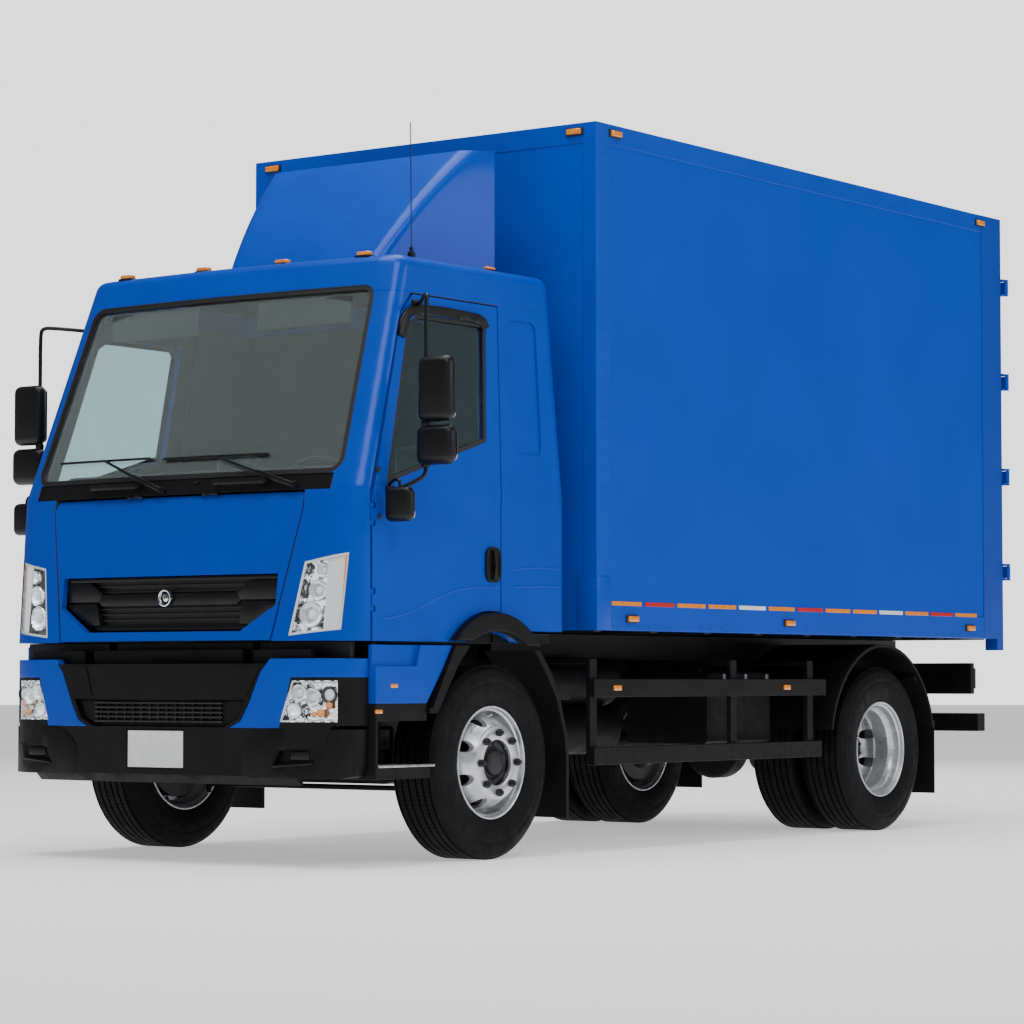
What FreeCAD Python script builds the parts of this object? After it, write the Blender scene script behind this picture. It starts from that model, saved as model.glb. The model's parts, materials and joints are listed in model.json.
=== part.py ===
import FreeCAD, Part
import os
import re
import Sketcher
from FreeCAD import Rotation, Vector

# Box truck: a cab over the front axle and a closed load body with two rear doors.
# Millimetres. The truck faces -Y, its left side is +X, it stands on Z = 0,
# and the origin is the middle of its outline on the ground.

SIZES = {
    # Whole vehicle
    "wheelbase": 3593, "front_overhang": 1120, "rear_overhang": 1469, "panel_gap": 8,
    "seat_gap": 0.3, "overrun": 60,
    # Wheels and tyres
    "tyre_radius": 447.5, "tyre_width": 270, "tyre_shoulder": 34, "tyre_bulge": 10,
    "tyre_shoulder_low": 51, "tyre_shoulder_soft": 11,
    "bead_radius": 248, "flange_radius": 262, "rim_width": 234, "rim_wall": 9,
    "well_radius": 214, "well_width": 90, "disc_wall": 14, "disc_offset": 158,
    "disc_face_radius": 169, "hand_hole_circle": 206, "hand_hole_radius": 29,
    "hand_hole_count": 8, "hub_radius": 104, "drum_radius": 190, "drum_width": 105,
    "front_wheel_x": 944, "rear_wheel_x": 945, "twin_spacing": 316,
    # Front axle, knuckles and steering
    "kingpin_x": 800, "kingpin_radius": 20, "kingpin_clearance": 0.4, "kingpin_boss_radius": 44,
    "kingpin_neck": 66, "kingpin_lug_out": 70, "kingpin_boss_height": 130,
    "knuckle_lug_height": 42, "knuckle_gap": 2, "axle_drop": 110, "axle_beam_height": 86,
    "axle_beam_depth": 84, "axle_pad_x": 470, "spindle_radius": 34, "steering_arm_length": 150,
    "steering_arm_inset": 0, "steering_arm_height": 30, "steering_arm_width": 36,
    "tie_rod_radius": 13, "tie_rod_pin_radius": 11, "tie_rod_clearance": 1.5,
    "tie_rod_drop": 70,
    # Leaf springs
    "spring_x": 387, "spring_width": 66, "spring_pack": 60, "spring_half": 560,
    "spring_camber": 60, "rear_spring_half": 640, "spring_eye_radius": 34, "spring_bracket": 60,
    # Rear axle
    "axle_tube_radius": 62, "axle_case_radius": 178, "axle_case_width": 190,
    "axle_tube_reach": 700, "shaft_radius": 42,
    # Chassis frame
    "frame_half": 425, "frame_web": 8, "frame_flange": 66, "frame_flange_thick": 9,
    "frame_height": 220, "frame_top": 930, "frame_front_lead": 900, "frame_trail": 1173,
    "member_height": 150, "member_thick": 50, "pivot_lead": 950, "pivot_height": 780,
    "pivot_lug_x": 440, "pivot_lug_width": 30, "pivot_lug_radius": 45, "pivot_pin_radius": 16,
    "pivot_pin_clearance": 0.4, "coupling_spacing_x": 140, "coupling_spacing_z": 80,
    "coupling_hole_radius": 8.5, "coupling_bore_in": 240, "pivot_ear_width": 30,
    "cab_rest_trail": 470, "cab_rest_depth": 70, "cab_rest_width": 90,
    # Engine, gearbox and radiator as plain masses
    "engine_half": 320, "engine_lead": 560, "engine_trail": 430, "engine_low": 470,
    "engine_high": 950, "mount_half": 60, "mount_thick": 70, "gearbox_half": 190,
    "gearbox_length": 620, "gearbox_high": 780, "gearbox_low": 480, "radiator_lead": 770,
    "radiator_depth": 90, "radiator_half": 340, "radiator_low": 560, "shaft_height": 500,
    # Tanks and boxes along the frame
    "tank_front": 950, "side_clear": 43, "tank_depth": 480, "tank_height": 440, "tank_low": 440,
    "tank_round": 90, "tank_strap": 50, "tank_strap_wall": 6, "battery_depth": 500,
    "air_tank_radius": 120, "silencer_radius": 150, "silencer_height": 640, "silencer_x": 690,
    "tailpipe_radius": 38,
    # Side guards
    "guard_front": 825, "guard_end_gap": 12, "guard_x": 1045, "guard_thick": 26,
    "guard_top": 832, "guard_rail": 88, "guard_low_top": 503, "guard_low_rail": 86,
    "guard_post": 60,
    # Front bumper
    "bumper_top": 900, "bumper_low": 362, "bumper_face_low": 402, "bumper_tuck": 40,
    "bumper_wall": 50, "bumper_bow": 42, "bumper_half": 1040, "bumper_return": 870,
    "bumper_turn": 250, "corner_top": 922, "corner_in_top": 655, "corner_in_upper": 602,
    "corner_upper": 862, "corner_in_middle": 541, "corner_middle": 725, "corner_in_lower": 495,
    "corner_lower": 646, "corner_in_foot": 430, "corner_foot": 614, "corner_band": 838,
    "beam_in_low": 706, "beam_low": 642, "beam_in_high": 768, "beam_high": 825, "beam_out": 974,
    "tuck_in": 794, "tuck_middle": 896, "tuck_middle_high": 442, "tuck_out": 952,
    "tuck_high": 626, "intake_top": 740, "intake_top_half": 520, "intake_middle": 656,
    "intake_middle_half": 478, "intake_low": 616, "intake_low_half": 400, "intake_depth": 30,
    "pocket_in_low": 680, "pocket_in_low_z": 454, "pocket_in_high": 709,
    "pocket_in_high_z": 516, "pocket_out_high": 925, "pocket_out_high_z": 540,
    "pocket_out_low": 885, "pocket_out_low_z": 469, "pocket_depth": 26, "closure_half": 850,
    "closure_front": 1040, "closure_rear": 1010, "closure_reach": 1095, "closure_low": 880,
    "closure_top": 962, "closure_slot": 14,
    # Steps and front mudguards
    "step_front": 868, "step_rear": 475, "step_out": 1078, "step_in": 830, "step_low": 388,
    "step_tread": 445, "step_panel_low": 722, "step_panel_top": 984, "step_panel_thick": 45,
    "step_skirt_low": 645, "step_well_wall": 16, "step_toe_rear": 530, "step_toe_slope": 45,
    "step_toe_low": 890, "guard_out": 1096, "guard_in": 800, "guard_wall": 22,
    "leg_front_low": 494, "leg_rear_low": 445, "leg_low": 678, "leg_front_middle": 374,
    "leg_middle": 878, "leg_rear_middle": 286, "leg_rear_middle_z": 901, "leg_front_high": 305,
    "leg_rear_high": 200, "leg_high": 984, "mud_top": 965, "mud_top_trail": 345,
    "mud_upper": 860, "mud_upper_trail": 435, "mud_mid": 735, "mud_mid_trail": 508,
    "mud_lower": 567, "mud_knee": 460, "mud_lower_trail": 562, "mud_low": 175,
    "mud_low_trail": 576,
    # Rear fenders, flaps, bumper and lamps
    "fender_radius": 560, "fender_wall": 16, "fender_low": 560, "fender_in": 470,
    "fender_out": 1090, "flap_thick": 10, "fender_stay": 40, "underrun_low": 530,
    "underrun_high": 634, "underrun_half": 1050, "underrun_depth": 90, "underrun_trail": 1252,
    "lamp_bar_low": 745, "lamp_bar_high": 926, "lamp_bar_half": 1000, "lamp_bar_depth": 46,
    "lamp_bar_trail": 1219, "tail_lamp_width": 330, "tail_lamp_height": 120,
    "tail_lamp_thick": 30, "underrun_post": 70,
    # Load body
    "body_front": 818, "body_rear_trail": 1412, "body_width": 2180, "body_top": 3542,
    "body_wall": 26, "rail_proud": 4, "rail_low": 1067, "rail_top": 1195, "top_rail": 102,
    "post_width": 120, "rear_post_width": 120, "rear_post_depth": 235, "rear_header": 122,
    "rear_sill_low": 1000, "floor_thick": 30, "floor_top": 1180, "bearer_width": 60,
    "bearer_count": 9, "sub_rail_height": 130, "sub_rail_half": 415, "sub_rail_width": 80,
    "corner_block_depth": 75, "roof_thick": 30,
    # Rear doors
    "door_thick": 36, "door_side_gap": 9, "door_mid_gap": 12, "door_end_gap": 8,
    "door_pin_out": 12, "door_pin_back": 44, "door_pin_radius": 7, "door_pin_clearance": 0.4,
    "door_knuckle_radius": 13, "door_knuckle_height": 70, "door_hinge_count": 4,
    "hinge_strap": 8, "lock_bar_radius": 14, "lock_bar_off": 26, "lock_handle_length": 300,
    "lock_handle_height": 1250, "lock_handle_width": 26, "lock_handle_thick": 10,
    "lock_guide_height": 60, "lock_guide_width": 56,

    # Cab shell
    "cab_low": 1000, "cab_belt": 1680, "cab_top": 2762, "cab_half": 1052, "cab_top_half": 952,
    "cab_front": 1100, "cab_belt_front": 1012, "cab_top_front": 600, "cab_rear": 630,
    "cab_wall": 50, "cab_corner_low": 245, "cab_corner_belt": 170, "cab_corner_top": 110,
    "cab_turn_low": 215, "cab_turn_belt": 140, "cab_turn_top": 90, "cab_bow": 42,
    "cab_rear_round": 80, "cab_roof_round": 60, "cab_floor_thick": 40, "cab_rear_low": 1056,
    "rear_seam": 560,
    # Windshield
    "glass_thick": 6, "glass_inset": 10, "screen_low": 1745, "screen_high": 2618,
    "screen_low_half": 940, "screen_high_half": 868, "screen_round": 70, "cowl_low": 1672,
    # Front flap and grille
    "flap_low_half": 637, "flap_high_half": 758, "flap_low": 1004, "flap_high": 1664,
    "flap_shoulder": 1590, "flap_skin": 30, "firewall_inset": 110, "firewall_wall": 26,
    "grille_high": 1300, "grille_high_half": 655, "grille_low": 1045, "grille_low_half": 470,
    "grille_bar": 46,
    # Headlamps
    "lamp_in_low_x": 735, "lamp_in_high_x": 792, "lamp_out_high_x": 1000, "lamp_out_low_x": 985,
    "lamp_in_low": 1022, "lamp_in_high": 1350, "lamp_out_high": 1390, "lamp_out_low": 1048,
    "lamp_rear_lead": 880,
    # Cab doors and windows
    "door_front": 860, "door_rear_low": 88, "door_rear_high": 170, "door_belt": 1640,
    "door_pillar": 560, "door_pillar_high": 2490, "door_head_front": 470, "door_high": 2578,
    "door_low": 1000, "front_gap": 13, "window_front": 762, "window_front_low": 1700,
    "window_rear_low": 8, "window_rear_low_z": 1930, "window_rear_high": 72,
    "window_high": 2490, "window_head_front": 440, "window_corner": 525,
    "window_corner_z": 2440, "hinge_inset": 12, "hinge_setback": 6, "handle_rear": 55,
    "handle_height": 1360, "handle_length": 150, "handle_depth": 22, "handle_width": 44,
    "handle_sink": 10,
    # Mirrors
    "mirror_x": 1255, "mirror_lead": 660, "mirror_width": 200, "mirror_depth": 85,
    "mirror_low": 2010, "mirror_high": 2270, "mirror_lower_low": 1790,
    "mirror_lower_high": 1985, "mirror_round": 28, "mirror_tube": 12, "mirror_tube_x": 1170,
    "mirror_arm_low": 1610, "mirror_arm_high": 2550, "mirror_foot": 60, "mirror_foot_thick": 20,
    # Roof fairing
    "fairing_front": 190, "fairing_rear": 530, "fairing_low_half": 440,
    "fairing_high_half": 690, "fairing_high": 3390, "fairing_wall": 30, "fairing_swell": 40,
    # Cab arch flares
    "flare_low": 1006, "flare_rear_low": 985, "flare_out": 1096, "flare_round": 10,
    "arch_radius": 447, "arch_trail": 20, "arch_height": 691, "arch_inner_radius": 467,
    "arch_inner_height": 583,
    # Recessed panels behind the doors
    "recess_depth": 8, "recess_front_low": 232, "recess_rear_low": 443, "recess_low": 1888,
    "recess_front_high": 249, "recess_rear_high": 472, "recess_high": 2528, "recess_round": 40,
    # Inside the cab
    "dash_low": 1400, "dash_high": 1790, "dash_half": 900, "seat_x": 560, "seat_width": 500,
    "seat_front_lead": 330, "seat_depth": 480, "seat_low": 1180, "seat_thick": 130,
    "seat_back_height": 640, "seat_back_thick": 120, "seat_base_inset": 70, "tunnel_half": 240,
    "tunnel_high": 1290, "wheel_rim_radius": 215, "wheel_grip_radius": 15, "wheel_lead": 500,
    "wheel_height": 1700, "wheel_lean": 38, "column_radius": 28, "wheel_hub_radius": 60,
    "wheel_hub_height": 50, "spoke_width": 34, "spoke_thick": 14, "column_gap": 50.3,
    "column_length": 420,
    # Lamps
    "marker_width": 90, "marker_height": 36, "marker_thick": 22,
    # Wheel centres and hubs
    "well_inset": 40, "pilot_radius": 110, "disc_edge": 95, "hub_flange": 34,
    "hub_flange_radius": 150, "drum_in": 0, "spindle_clearance": 0.05, "spindle_seat": 110,
    "stub_reach": 90, "hub_cap_radius": 62, "hub_cap_inset": 4, "rear_cap_radius": 86,
    "rear_cap_length": 95, "spindle_end_gap": 4,
    # Smaller sizes
    "bumper_horn_height": 100, "horn_drop": 150, "horn_lead": 30, "horn_post": 60,
    "cab_hinge_radius": 11, "cab_hinge_length": 100, "cab_hinge_end": 22, "cab_hinge_pin": 6,
    "cab_hinge_low": 1180, "cab_hinge_high": 1560, "cab_hinge_web": 6, "cab_hinge_room": 6,
    "flap_hinge_room": 3, "flap_hinge_radius": 7, "flap_hinge_length": 90, "flap_hinge_end": 20,
    "flap_hinge_pin": 3.5, "flap_hinge_x": 230, "flap_hinge_depth": 4, "step_arm_lead": 100,
    "turn_clear_radius": 545, "side_in": 860, "spring_leaf": 12, "spring_sink": 6,
    "axle_case_round": 50, "tie_rod_gap": 12, "battery_drop": 60, "battery_round": 20,
    "tailpipe_length": 90, "lamp_inset": 5, "step_toe_depth": 22, "step_arm_width": 60,
    "pivot_ear_trail": 120, "pivot_ear_knee": 60, "pivot_ear_inset": 40, "guard_leg_in": 1035,
    "mud_slant": 45, "rail_width": 55, "rail_depth": 36, "post_face": 80, "sill_depth": 80,
    "hinge_gap": 2, "hinge_lug": 12, "strap_foot": 90, "lock_handle_step": 160,
    "screen_reach": 400, "flap_reach": 880, "grille_mid": 1160, "cowl_half": 900,
    "pillar_depth": 40, "pillar_rise": 30, "pillar_in": 880, "firewall_half": 880, "firewall_rear": 800,
    "grille_back": 20, "grille_bar_inset": 3, "fairing_lip": 400, "fairing_corner": 60,
    "fairing_nose_high": 610, "dash_rear": 700, "mirror_top_x": 975, "flap_bottom": 190,
}

# Shares along a piece where its repeated details sit
MEMBER_SHARES = (0.005, 0.36, 0.5, 0.66, 0.84, 0.98)
LEAF_SHARE = 0.15
STRAP_SHARES = (0.15, 0.8)
AIR_TANK_SHARES = (0.3, 0.86)
POST_SHARES = (0, 0.58, 0.93)
SIDE_SHARES = {"tank": (0, 0.49), "battery": (0.54, 0.3), "silencer": (0.545, 0.31),
               "air_tank": (0, 0.34)}
STAY_SHARE = 0.7
BAR_SHARES = (0.2, 0.75)
GUIDE_SHARES = (0.06, 0.35, 0.65, 0.94)
GRILLE_SHARES = (0.28, 0.78)
SPOKE_TURNS = (0, 180, 270)

# Places worked out from the sizes
PLACES = {
    "overall_length": "front_overhang + wheelbase + rear_overhang",
    "axle_y": "front_overhang - (front_overhang + wheelbase + rear_overhang) / 2",
    "rear_axle_y": "wheelbase + front_overhang - (front_overhang + wheelbase + rear_overhang) / 2",
    "front_face_y": "0 - (front_overhang + wheelbase + rear_overhang) / 2",
    "body_half": "body_width / 2",
    "sub_low": "frame_top",
    "frame_low": "frame_top - frame_height",
    "knuckle_low_z": "tyre_radius - kingpin_boss_height / 2",
    "knuckle_high_z": "tyre_radius + kingpin_boss_height / 2",
    "body_length": "wheelbase + body_rear_trail - body_front",
    "frame_rear_trail": "wheelbase + frame_trail",
    "underrun_rear": "wheelbase + underrun_trail",
    "lamp_bar_rear": "wheelbase + lamp_bar_trail",
    "guard_rear": "wheelbase - fender_radius - fender_wall - guard_end_gap",
    "side_span": "wheelbase - tank_front - fender_radius - side_clear",
}
for PIECE, (START, LENGTH) in SIDE_SHARES.items():
    PLACES[PIECE + "_start"] = f"tank_front + {START} * side_span"
    PLACES[PIECE + "_length"] = f"{LENGTH} * side_span"

doc = FreeCAD.newDocument("box_truck")
nodes = {}


def make_sheet():
    """Write the driving sizes as plain numbers with aliases, and the places that follow."""
    sheet = doc.addObject("Spreadsheet::Sheet", "Sizes")
    for row, (name, value) in enumerate(SIZES.items(), start=1):
        sheet.set(f"A{row}", name)
        sheet.set(f"B{row}", str(value))
        sheet.setAlias(f"B{row}", name)
    doc.recompute()
    places = doc.addObject("App::VarSet", "Places")
    for name, text in PLACES.items():
        places.addProperty("App::PropertyFloat", name)
        places.setExpression(name, cells(text))
    doc.recompute()


def cells(text):
    """Point each name in an expression at its cell."""
    def cell(match):
        word = match.group()
        if word in SIZES:
            return "Sizes." + word
        if word in PLACES:
            return "Places." + word
        return word
    return re.sub(r"[a-z][a-z_]*", cell, text)


def size(name):
    """One size or place in millimetres."""
    if name in PLACES:
        return getattr(doc.getObject("Places"), name)
    return float(doc.getObject("Sizes").get(name))


def bind(item, **texts):
    """Bind properties to expressions; an underscore stands for the dot of a placement."""
    for name, text in texts.items():
        item.setExpression(name.replace("Base_", "Placement.Base."), cells(text))
    return item


def block(label, x, y, z):
    """A box from its low and high planes."""
    item = doc.addObject("Part::Box", label)
    return bind(item, Length=f"{x[1]} - ({x[0]})", Width=f"{y[1]} - ({y[0]})",
                Height=f"{z[1]} - ({z[0]})", Base_x=x[0], Base_y=y[0], Base_z=z[0])


TURNS = {"x": Rotation(Vector(0, 1, 0), 90), "y": Rotation(Vector(1, 0, 0), -90),
         "z": Rotation()}


def rod(label, along, start, length, radius):
    """A round bar that runs from its start along one axis."""
    item = doc.addObject("Part::Cylinder", label)
    item.Placement = FreeCAD.Placement(Vector(), TURNS[along])
    return bind(item, Radius=radius, Height=length, Base_x=start[0], Base_y=start[1],
                Base_z=start[2])


def draw(sketch, points):
    """A closed outline whose corners are bound to the sheet."""
    corners = len(points)
    seats = [Vector(index, index * index, 0) for index in range(corners)]
    for index in range(corners):
        sketch.addGeometry(Part.LineSegment(seats[index], seats[(index + 1) % corners]))
    for index in range(corners):
        following = (index + 1) % corners
        sketch.addConstraint(Sketcher.Constraint("Coincident", index, 2, following, 1))
    for index, point in enumerate(points):
        for kind, text in zip(("DistanceX", "DistanceY"), point):
            seat = seats[index].x if kind == "DistanceX" else seats[index].y
            number = sketch.addConstraint(
                Sketcher.Constraint(kind, -1, 1, index, 1, seat))
            sketch.setExpression(f"Constraints[{number}]", cells(text))


def sketched(label, plane, points, offset="0"):
    """A body with one sketched outline on one of its own origin planes."""
    body = doc.addObject("PartDesign::Body", label)
    sketch = body.newObject("Sketcher::SketchObject", label + "_outline")
    face = next(item for item in body.Origin.OriginFeatures if item.Role == plane)
    sketch.AttachmentSupport = [(face, "")]
    sketch.MapMode = "FlatFace"
    sketch.setExpression("AttachmentOffset.Base.z", cells(offset))
    draw(sketch, points)
    return body, sketch


def plate(label, plane, points, low, high):
    """An outline drawn in a plane and padded between two places across it."""
    offset = f"0 - ({high})" if plane == "XZ_Plane" else low
    body, sketch = sketched(label, plane, points, offset)
    pad = body.newObject("PartDesign::Pad", label + "_pad")
    pad.Profile = sketch
    pad.setExpression("Length", cells(f"{high} - ({low})"))
    return body


def turned(label, points, place):
    """A profile of distance along the axle and radius, turned about the axle."""
    body, sketch = sketched(label, "XY_Plane", points)
    turn = body.newObject("PartDesign::Revolution", label + "_turn")
    turn.Profile = sketch
    turn.ReferenceAxis = (sketch, ["H_Axis"])
    turn.Angle = 360
    return bind(body, Base_x=place[0], Base_y=place[1], Base_z=place[2])


def joined(label, pieces, kind="Part::MultiFuse"):
    item = doc.addObject(kind, label)
    item.Shapes = pieces
    if kind == "Part::MultiFuse":
        item.Refine = True
    return item


def gathered(label, pieces):
    """Separate solids that one node holds."""
    item = doc.addObject("Part::Compound", label)
    item.Links = pieces
    return item


def cut(label, base, tool):
    item = doc.addObject("Part::Cut", label)
    item.Base = base
    item.Tool = tool
    return item


def common(label, first, second):
    item = doc.addObject("Part::MultiCommon", label)
    item.Shapes = [first, second]
    return item


def mirrored(label, source):
    """The same piece on the other side of the truck."""
    item = doc.addObject("Part::Mirroring", label)
    item.Source = source
    item.Normal = Vector(1, 0, 0)
    return item


def both(label, source):
    """A piece and its mirror image as two solids of one node."""
    return gathered(label, [source, mirrored(label + "_right", source)])


def rounded(label, source, radius, pick):
    """Fillet the edges of a piece that the pick function chooses."""
    doc.recompute()
    chosen = [index for index, edge in enumerate(source.Shape.Edges, start=1) if pick(edge)]
    item = doc.addObject("Part::Fillet", label)
    item.Base = source
    item.Edges = [(index, size(radius), size(radius)) for index in chosen]
    return item


def straight_along(axis):
    """Pick the straight edges that run along one axis."""
    def pick(edge):
        if not isinstance(edge.Curve, Part.Line):
            return False
        return abs(abs(edge.Curve.Direction.dot(axis)) - 1) < 1e-6
    return pick


ALONG_X = straight_along(Vector(1, 0, 0))
ALONG_Y = straight_along(Vector(0, 1, 0))
ALONG_Z = straight_along(Vector(0, 0, 1))


def node(item, name):
    item.Label = name
    nodes[name] = item
    return item


# Chassis frame with its cross members, cab pivots and cab rests

def sides():
    """The left side and the right side, as a name and the sign of X."""
    return (("left", "1"), ("right", "0 - 1"))


def spanned(sign, inner, outer):
    """Low and high planes between two distances from the middle, on one side."""
    if sign == "1":
        return (inner, outer)
    return (f"0 - ({outer})", f"0 - ({inner})")


def chassis_frame():
    front = "axle_y - frame_front_lead"
    rear = "axle_y + frame_rear_trail"
    pieces = []
    for side, sign in sides():
        web = spanned(sign, "frame_half - frame_web", "frame_half")
        lip = spanned(sign, "frame_half - frame_flange", "frame_half")
        pieces.append(block(f"web_{side}", web, (front, rear), ("frame_low", "frame_top")))
        pieces.append(block(f"flange_low_{side}", lip, (front, rear),
                            ("frame_low", "frame_low + frame_flange_thick")))
        pieces.append(block(f"flange_top_{side}", lip, (front, rear),
                            ("frame_top - frame_flange_thick", "frame_top")))
        lug = spanned(sign, "pivot_lug_x", "pivot_lug_x + pivot_lug_width")
        arm = block(f"pivot_arm_{side}", spanned(sign, "frame_half - frame_web",
                    "pivot_lug_x + pivot_lug_width"),
                    ("axle_y - pivot_lead", "axle_y - frame_front_lead + pivot_lug_radius * 2"),
                    ("pivot_height - pivot_lug_radius", "pivot_height"))
        eye = rod(f"pivot_eye_{side}", "x", (lug[0], "axle_y - pivot_lead", "pivot_height"),
                  "pivot_lug_width", "pivot_lug_radius")
        bore = rod(f"pivot_bore_{side}", "x",
                   (f"{lug[0]} - overrun", "axle_y - pivot_lead", "pivot_height"),
                   "pivot_lug_width + 2 * overrun", "pivot_pin_radius + pivot_pin_clearance")
        bracket = joined(f"pivot_bracket_{side}", [arm, eye])
        pieces.append(cut(f"pivot_lug_{side}", bracket, bore))
        pieces.append(block(f"cab_rest_{side}", spanned(sign, "frame_half - cab_rest_width",
                            "frame_half"),
                            ("axle_y + cab_rest_trail",
                             "axle_y + cab_rest_trail + cab_rest_depth"),
                            ("frame_top", "cab_low - seat_gap")))
        pieces.append(block(f"bumper_horn_{side}", lip,
                            ("front_face_y + bumper_wall + horn_lead",
                             f"{front} + horn_post"),
                            ("frame_low - horn_drop",
                             "frame_low - horn_drop + bumper_horn_height")))
        pieces.append(block(f"bumper_horn_post_{side}", lip, (front, f"{front} + horn_post"),
                            ("frame_low - horn_drop", "frame_low + frame_flange_thick")))
    for index, share in enumerate(MEMBER_SHARES):
        place = f"axle_y - frame_front_lead + {share} * (frame_rear_trail + frame_front_lead)"
        pieces.append(block(f"cross_member_{index}",
                            ("0 - frame_half + frame_web", "frame_half - frame_web"),
                            (place, f"{place} + member_thick"),
                            ("frame_low + frame_flange_thick", "frame_low + member_height")))
    ladder = joined("frame_ladder", pieces)
    holes = []
    middle_z = "frame_low + member_height / 2 + frame_flange_thick / 2"
    for side, sign in sides():
        for level, sign_z in (("low", "-"), ("high", "+")):
            holes.append(rod(f"coupling_hole_{side}_{level}", "y",
                             (f"({sign}) * coupling_spacing_x / 2", f"{rear} - coupling_bore_in",
                              f"{middle_z} {sign_z} coupling_spacing_z / 2"),
                             "coupling_bore_in + overrun", "coupling_hole_radius"))
    return node(cut("chassis_frame", ladder, joined("coupling_holes", holes)),
                "chassis_frame")


# Engine, gearbox, radiator and propeller shaft

def engine_block():
    engine = block("engine", ("0 - engine_half", "engine_half"),
                   ("axle_y - engine_lead", "axle_y + engine_trail"),
                   ("engine_low", "engine_high"))
    pieces = [engine]
    for side, sign in sides():
        pieces.append(block(f"engine_mount_{side}",
                            spanned(sign, "engine_half", "frame_half - frame_web"),
                            ("axle_y - mount_half", "axle_y + mount_half"),
                            ("frame_top - frame_height / 2 - mount_thick / 2",
                             "frame_top - frame_height / 2 + mount_thick / 2")))
        pieces.append(block(f"radiator_mount_{side}",
                            spanned(sign, "radiator_half", "frame_half - frame_web"),
                            ("axle_y - radiator_lead", "axle_y - radiator_lead + radiator_depth"),
                            ("frame_top - frame_height / 2 - mount_thick / 2",
                             "frame_top - frame_height / 2 + mount_thick / 2")))
    pieces.append(block("radiator", ("0 - radiator_half", "radiator_half"),
                        ("axle_y - radiator_lead", "axle_y - radiator_lead + radiator_depth"),
                        ("radiator_low", "engine_high")))
    pieces.append(block("radiator_hose", ("0 - mount_half", "mount_half"),
                        ("axle_y - radiator_lead + radiator_depth", "axle_y - engine_lead"),
                        ("engine_high - mount_thick * 2", "engine_high - mount_thick")))
    pieces.append(block("gearbox", ("0 - gearbox_half", "gearbox_half"),
                        ("axle_y + engine_trail", "axle_y + engine_trail + gearbox_length"),
                        ("gearbox_low", "gearbox_high")))
    return node(joined("engine_block", pieces), "engine_block")


# Axles and springs

def spring(label, middle, half, sign, seat):
    """A leaf pack under the frame: cambered leaves, two eyes and their brackets."""
    x = spanned(sign, "spring_x - spring_width / 2", "spring_x + spring_width / 2")
    low = seat
    high = f"{seat} + spring_pack"
    points = [(f"{middle} - {half}", f"{high} + spring_camber - spring_leaf"),
              (f"{middle} - {half}", f"{high} + spring_camber"),
              (middle, high),
              (f"{middle} + {half}", f"{high} + spring_camber"),
              (f"{middle} + {half}", f"{high} + spring_camber - spring_leaf"),
              (f"{middle} + {half} * {LEAF_SHARE}", low),
              (f"{middle} - {half} * {LEAF_SHARE}", low)]
    pieces = [plate(label + "_leaves", "YZ_Plane", points, x[0], x[1])]
    for end, sign_y in (("front", "-"), ("rear", "+")):
        place = f"{middle} {sign_y} {half}"
        pieces.append(rod(f"{label}_eye_{end}", "x",
                          (x[0], place, f"{high} + spring_camber"),
                          "spring_width", "spring_eye_radius"))
        pieces.append(block(f"{label}_bracket_{end}", x,
                            (f"{place} - spring_bracket / 2", f"{place} + spring_bracket / 2"),
                            (f"{high} + spring_camber", "frame_low")))
    return pieces


def front_axle():
    beam_low = "tyre_radius - axle_drop"
    beam_high = "tyre_radius - axle_drop + axle_beam_height"
    boss_low = "tyre_radius - axle_beam_height / 2"
    boss_high = "tyre_radius + axle_beam_height / 2"
    neck = "kingpin_x - kingpin_neck"
    points = [("0 - kingpin_x", boss_low), (f"0 - ({neck})", boss_low),
              ("0 - axle_pad_x", beam_low), ("axle_pad_x", beam_low), (neck, boss_low),
              ("kingpin_x", boss_low), ("kingpin_x", boss_high), (neck, boss_high),
              ("axle_pad_x", beam_high), ("0 - axle_pad_x", beam_high),
              (f"0 - ({neck})", boss_high), ("0 - kingpin_x", boss_high)]
    beam = plate("axle_beam", "XZ_Plane", points, "axle_y - axle_beam_depth / 2",
                 "axle_y + axle_beam_depth / 2")
    pieces = [beam]
    bores = []
    for side, sign in sides():
        place = (f"{sign} * kingpin_x", "axle_y")
        pieces.append(rod(f"kingpin_boss_{side}", "z", (*place, "knuckle_low_z"),
                          "kingpin_boss_height", "kingpin_boss_radius"))
        bores.append(rod(f"kingpin_bore_{side}", "z", (*place, "knuckle_low_z - overrun"),
                         "kingpin_boss_height + 2 * overrun",
                         "kingpin_radius + kingpin_clearance"))
    bored = cut("axle_bored", joined("axle_joined", pieces), joined("kingpin_bores", bores))
    pieces = [bored]
    for side, sign in sides():
        pieces += spring(f"front_spring_{side}", "axle_y", "spring_half", sign, beam_high)
    return node(joined("front_axle", pieces), "front_axle")


def rear_axle():
    tube = rod("axle_tube", "x", ("0 - axle_tube_reach", "rear_axle_y", "tyre_radius"),
               "2 * axle_tube_reach", "axle_tube_radius")
    case = rod("axle_case", "y", ("0", "rear_axle_y - axle_case_width / 2", "tyre_radius"),
               "axle_case_width", "axle_case_radius")
    case = rounded("axle_case_rounded", case, "axle_case_round", lambda edge: edge.Closed)
    shaft = rod("propeller_shaft", "y",
                ("0", "axle_y + engine_trail + gearbox_length", "shaft_height"),
                "rear_axle_y - axle_y - engine_trail - gearbox_length", "shaft_radius")
    seat = "tyre_radius + axle_tube_radius - spring_sink"
    pieces = [tube, case, shaft]
    for side, sign in sides():
        pieces += spring(f"rear_spring_{side}", "rear_axle_y", "rear_spring_half", sign, seat)
    return node(joined("rear_axle", pieces), "rear_axle")


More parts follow.
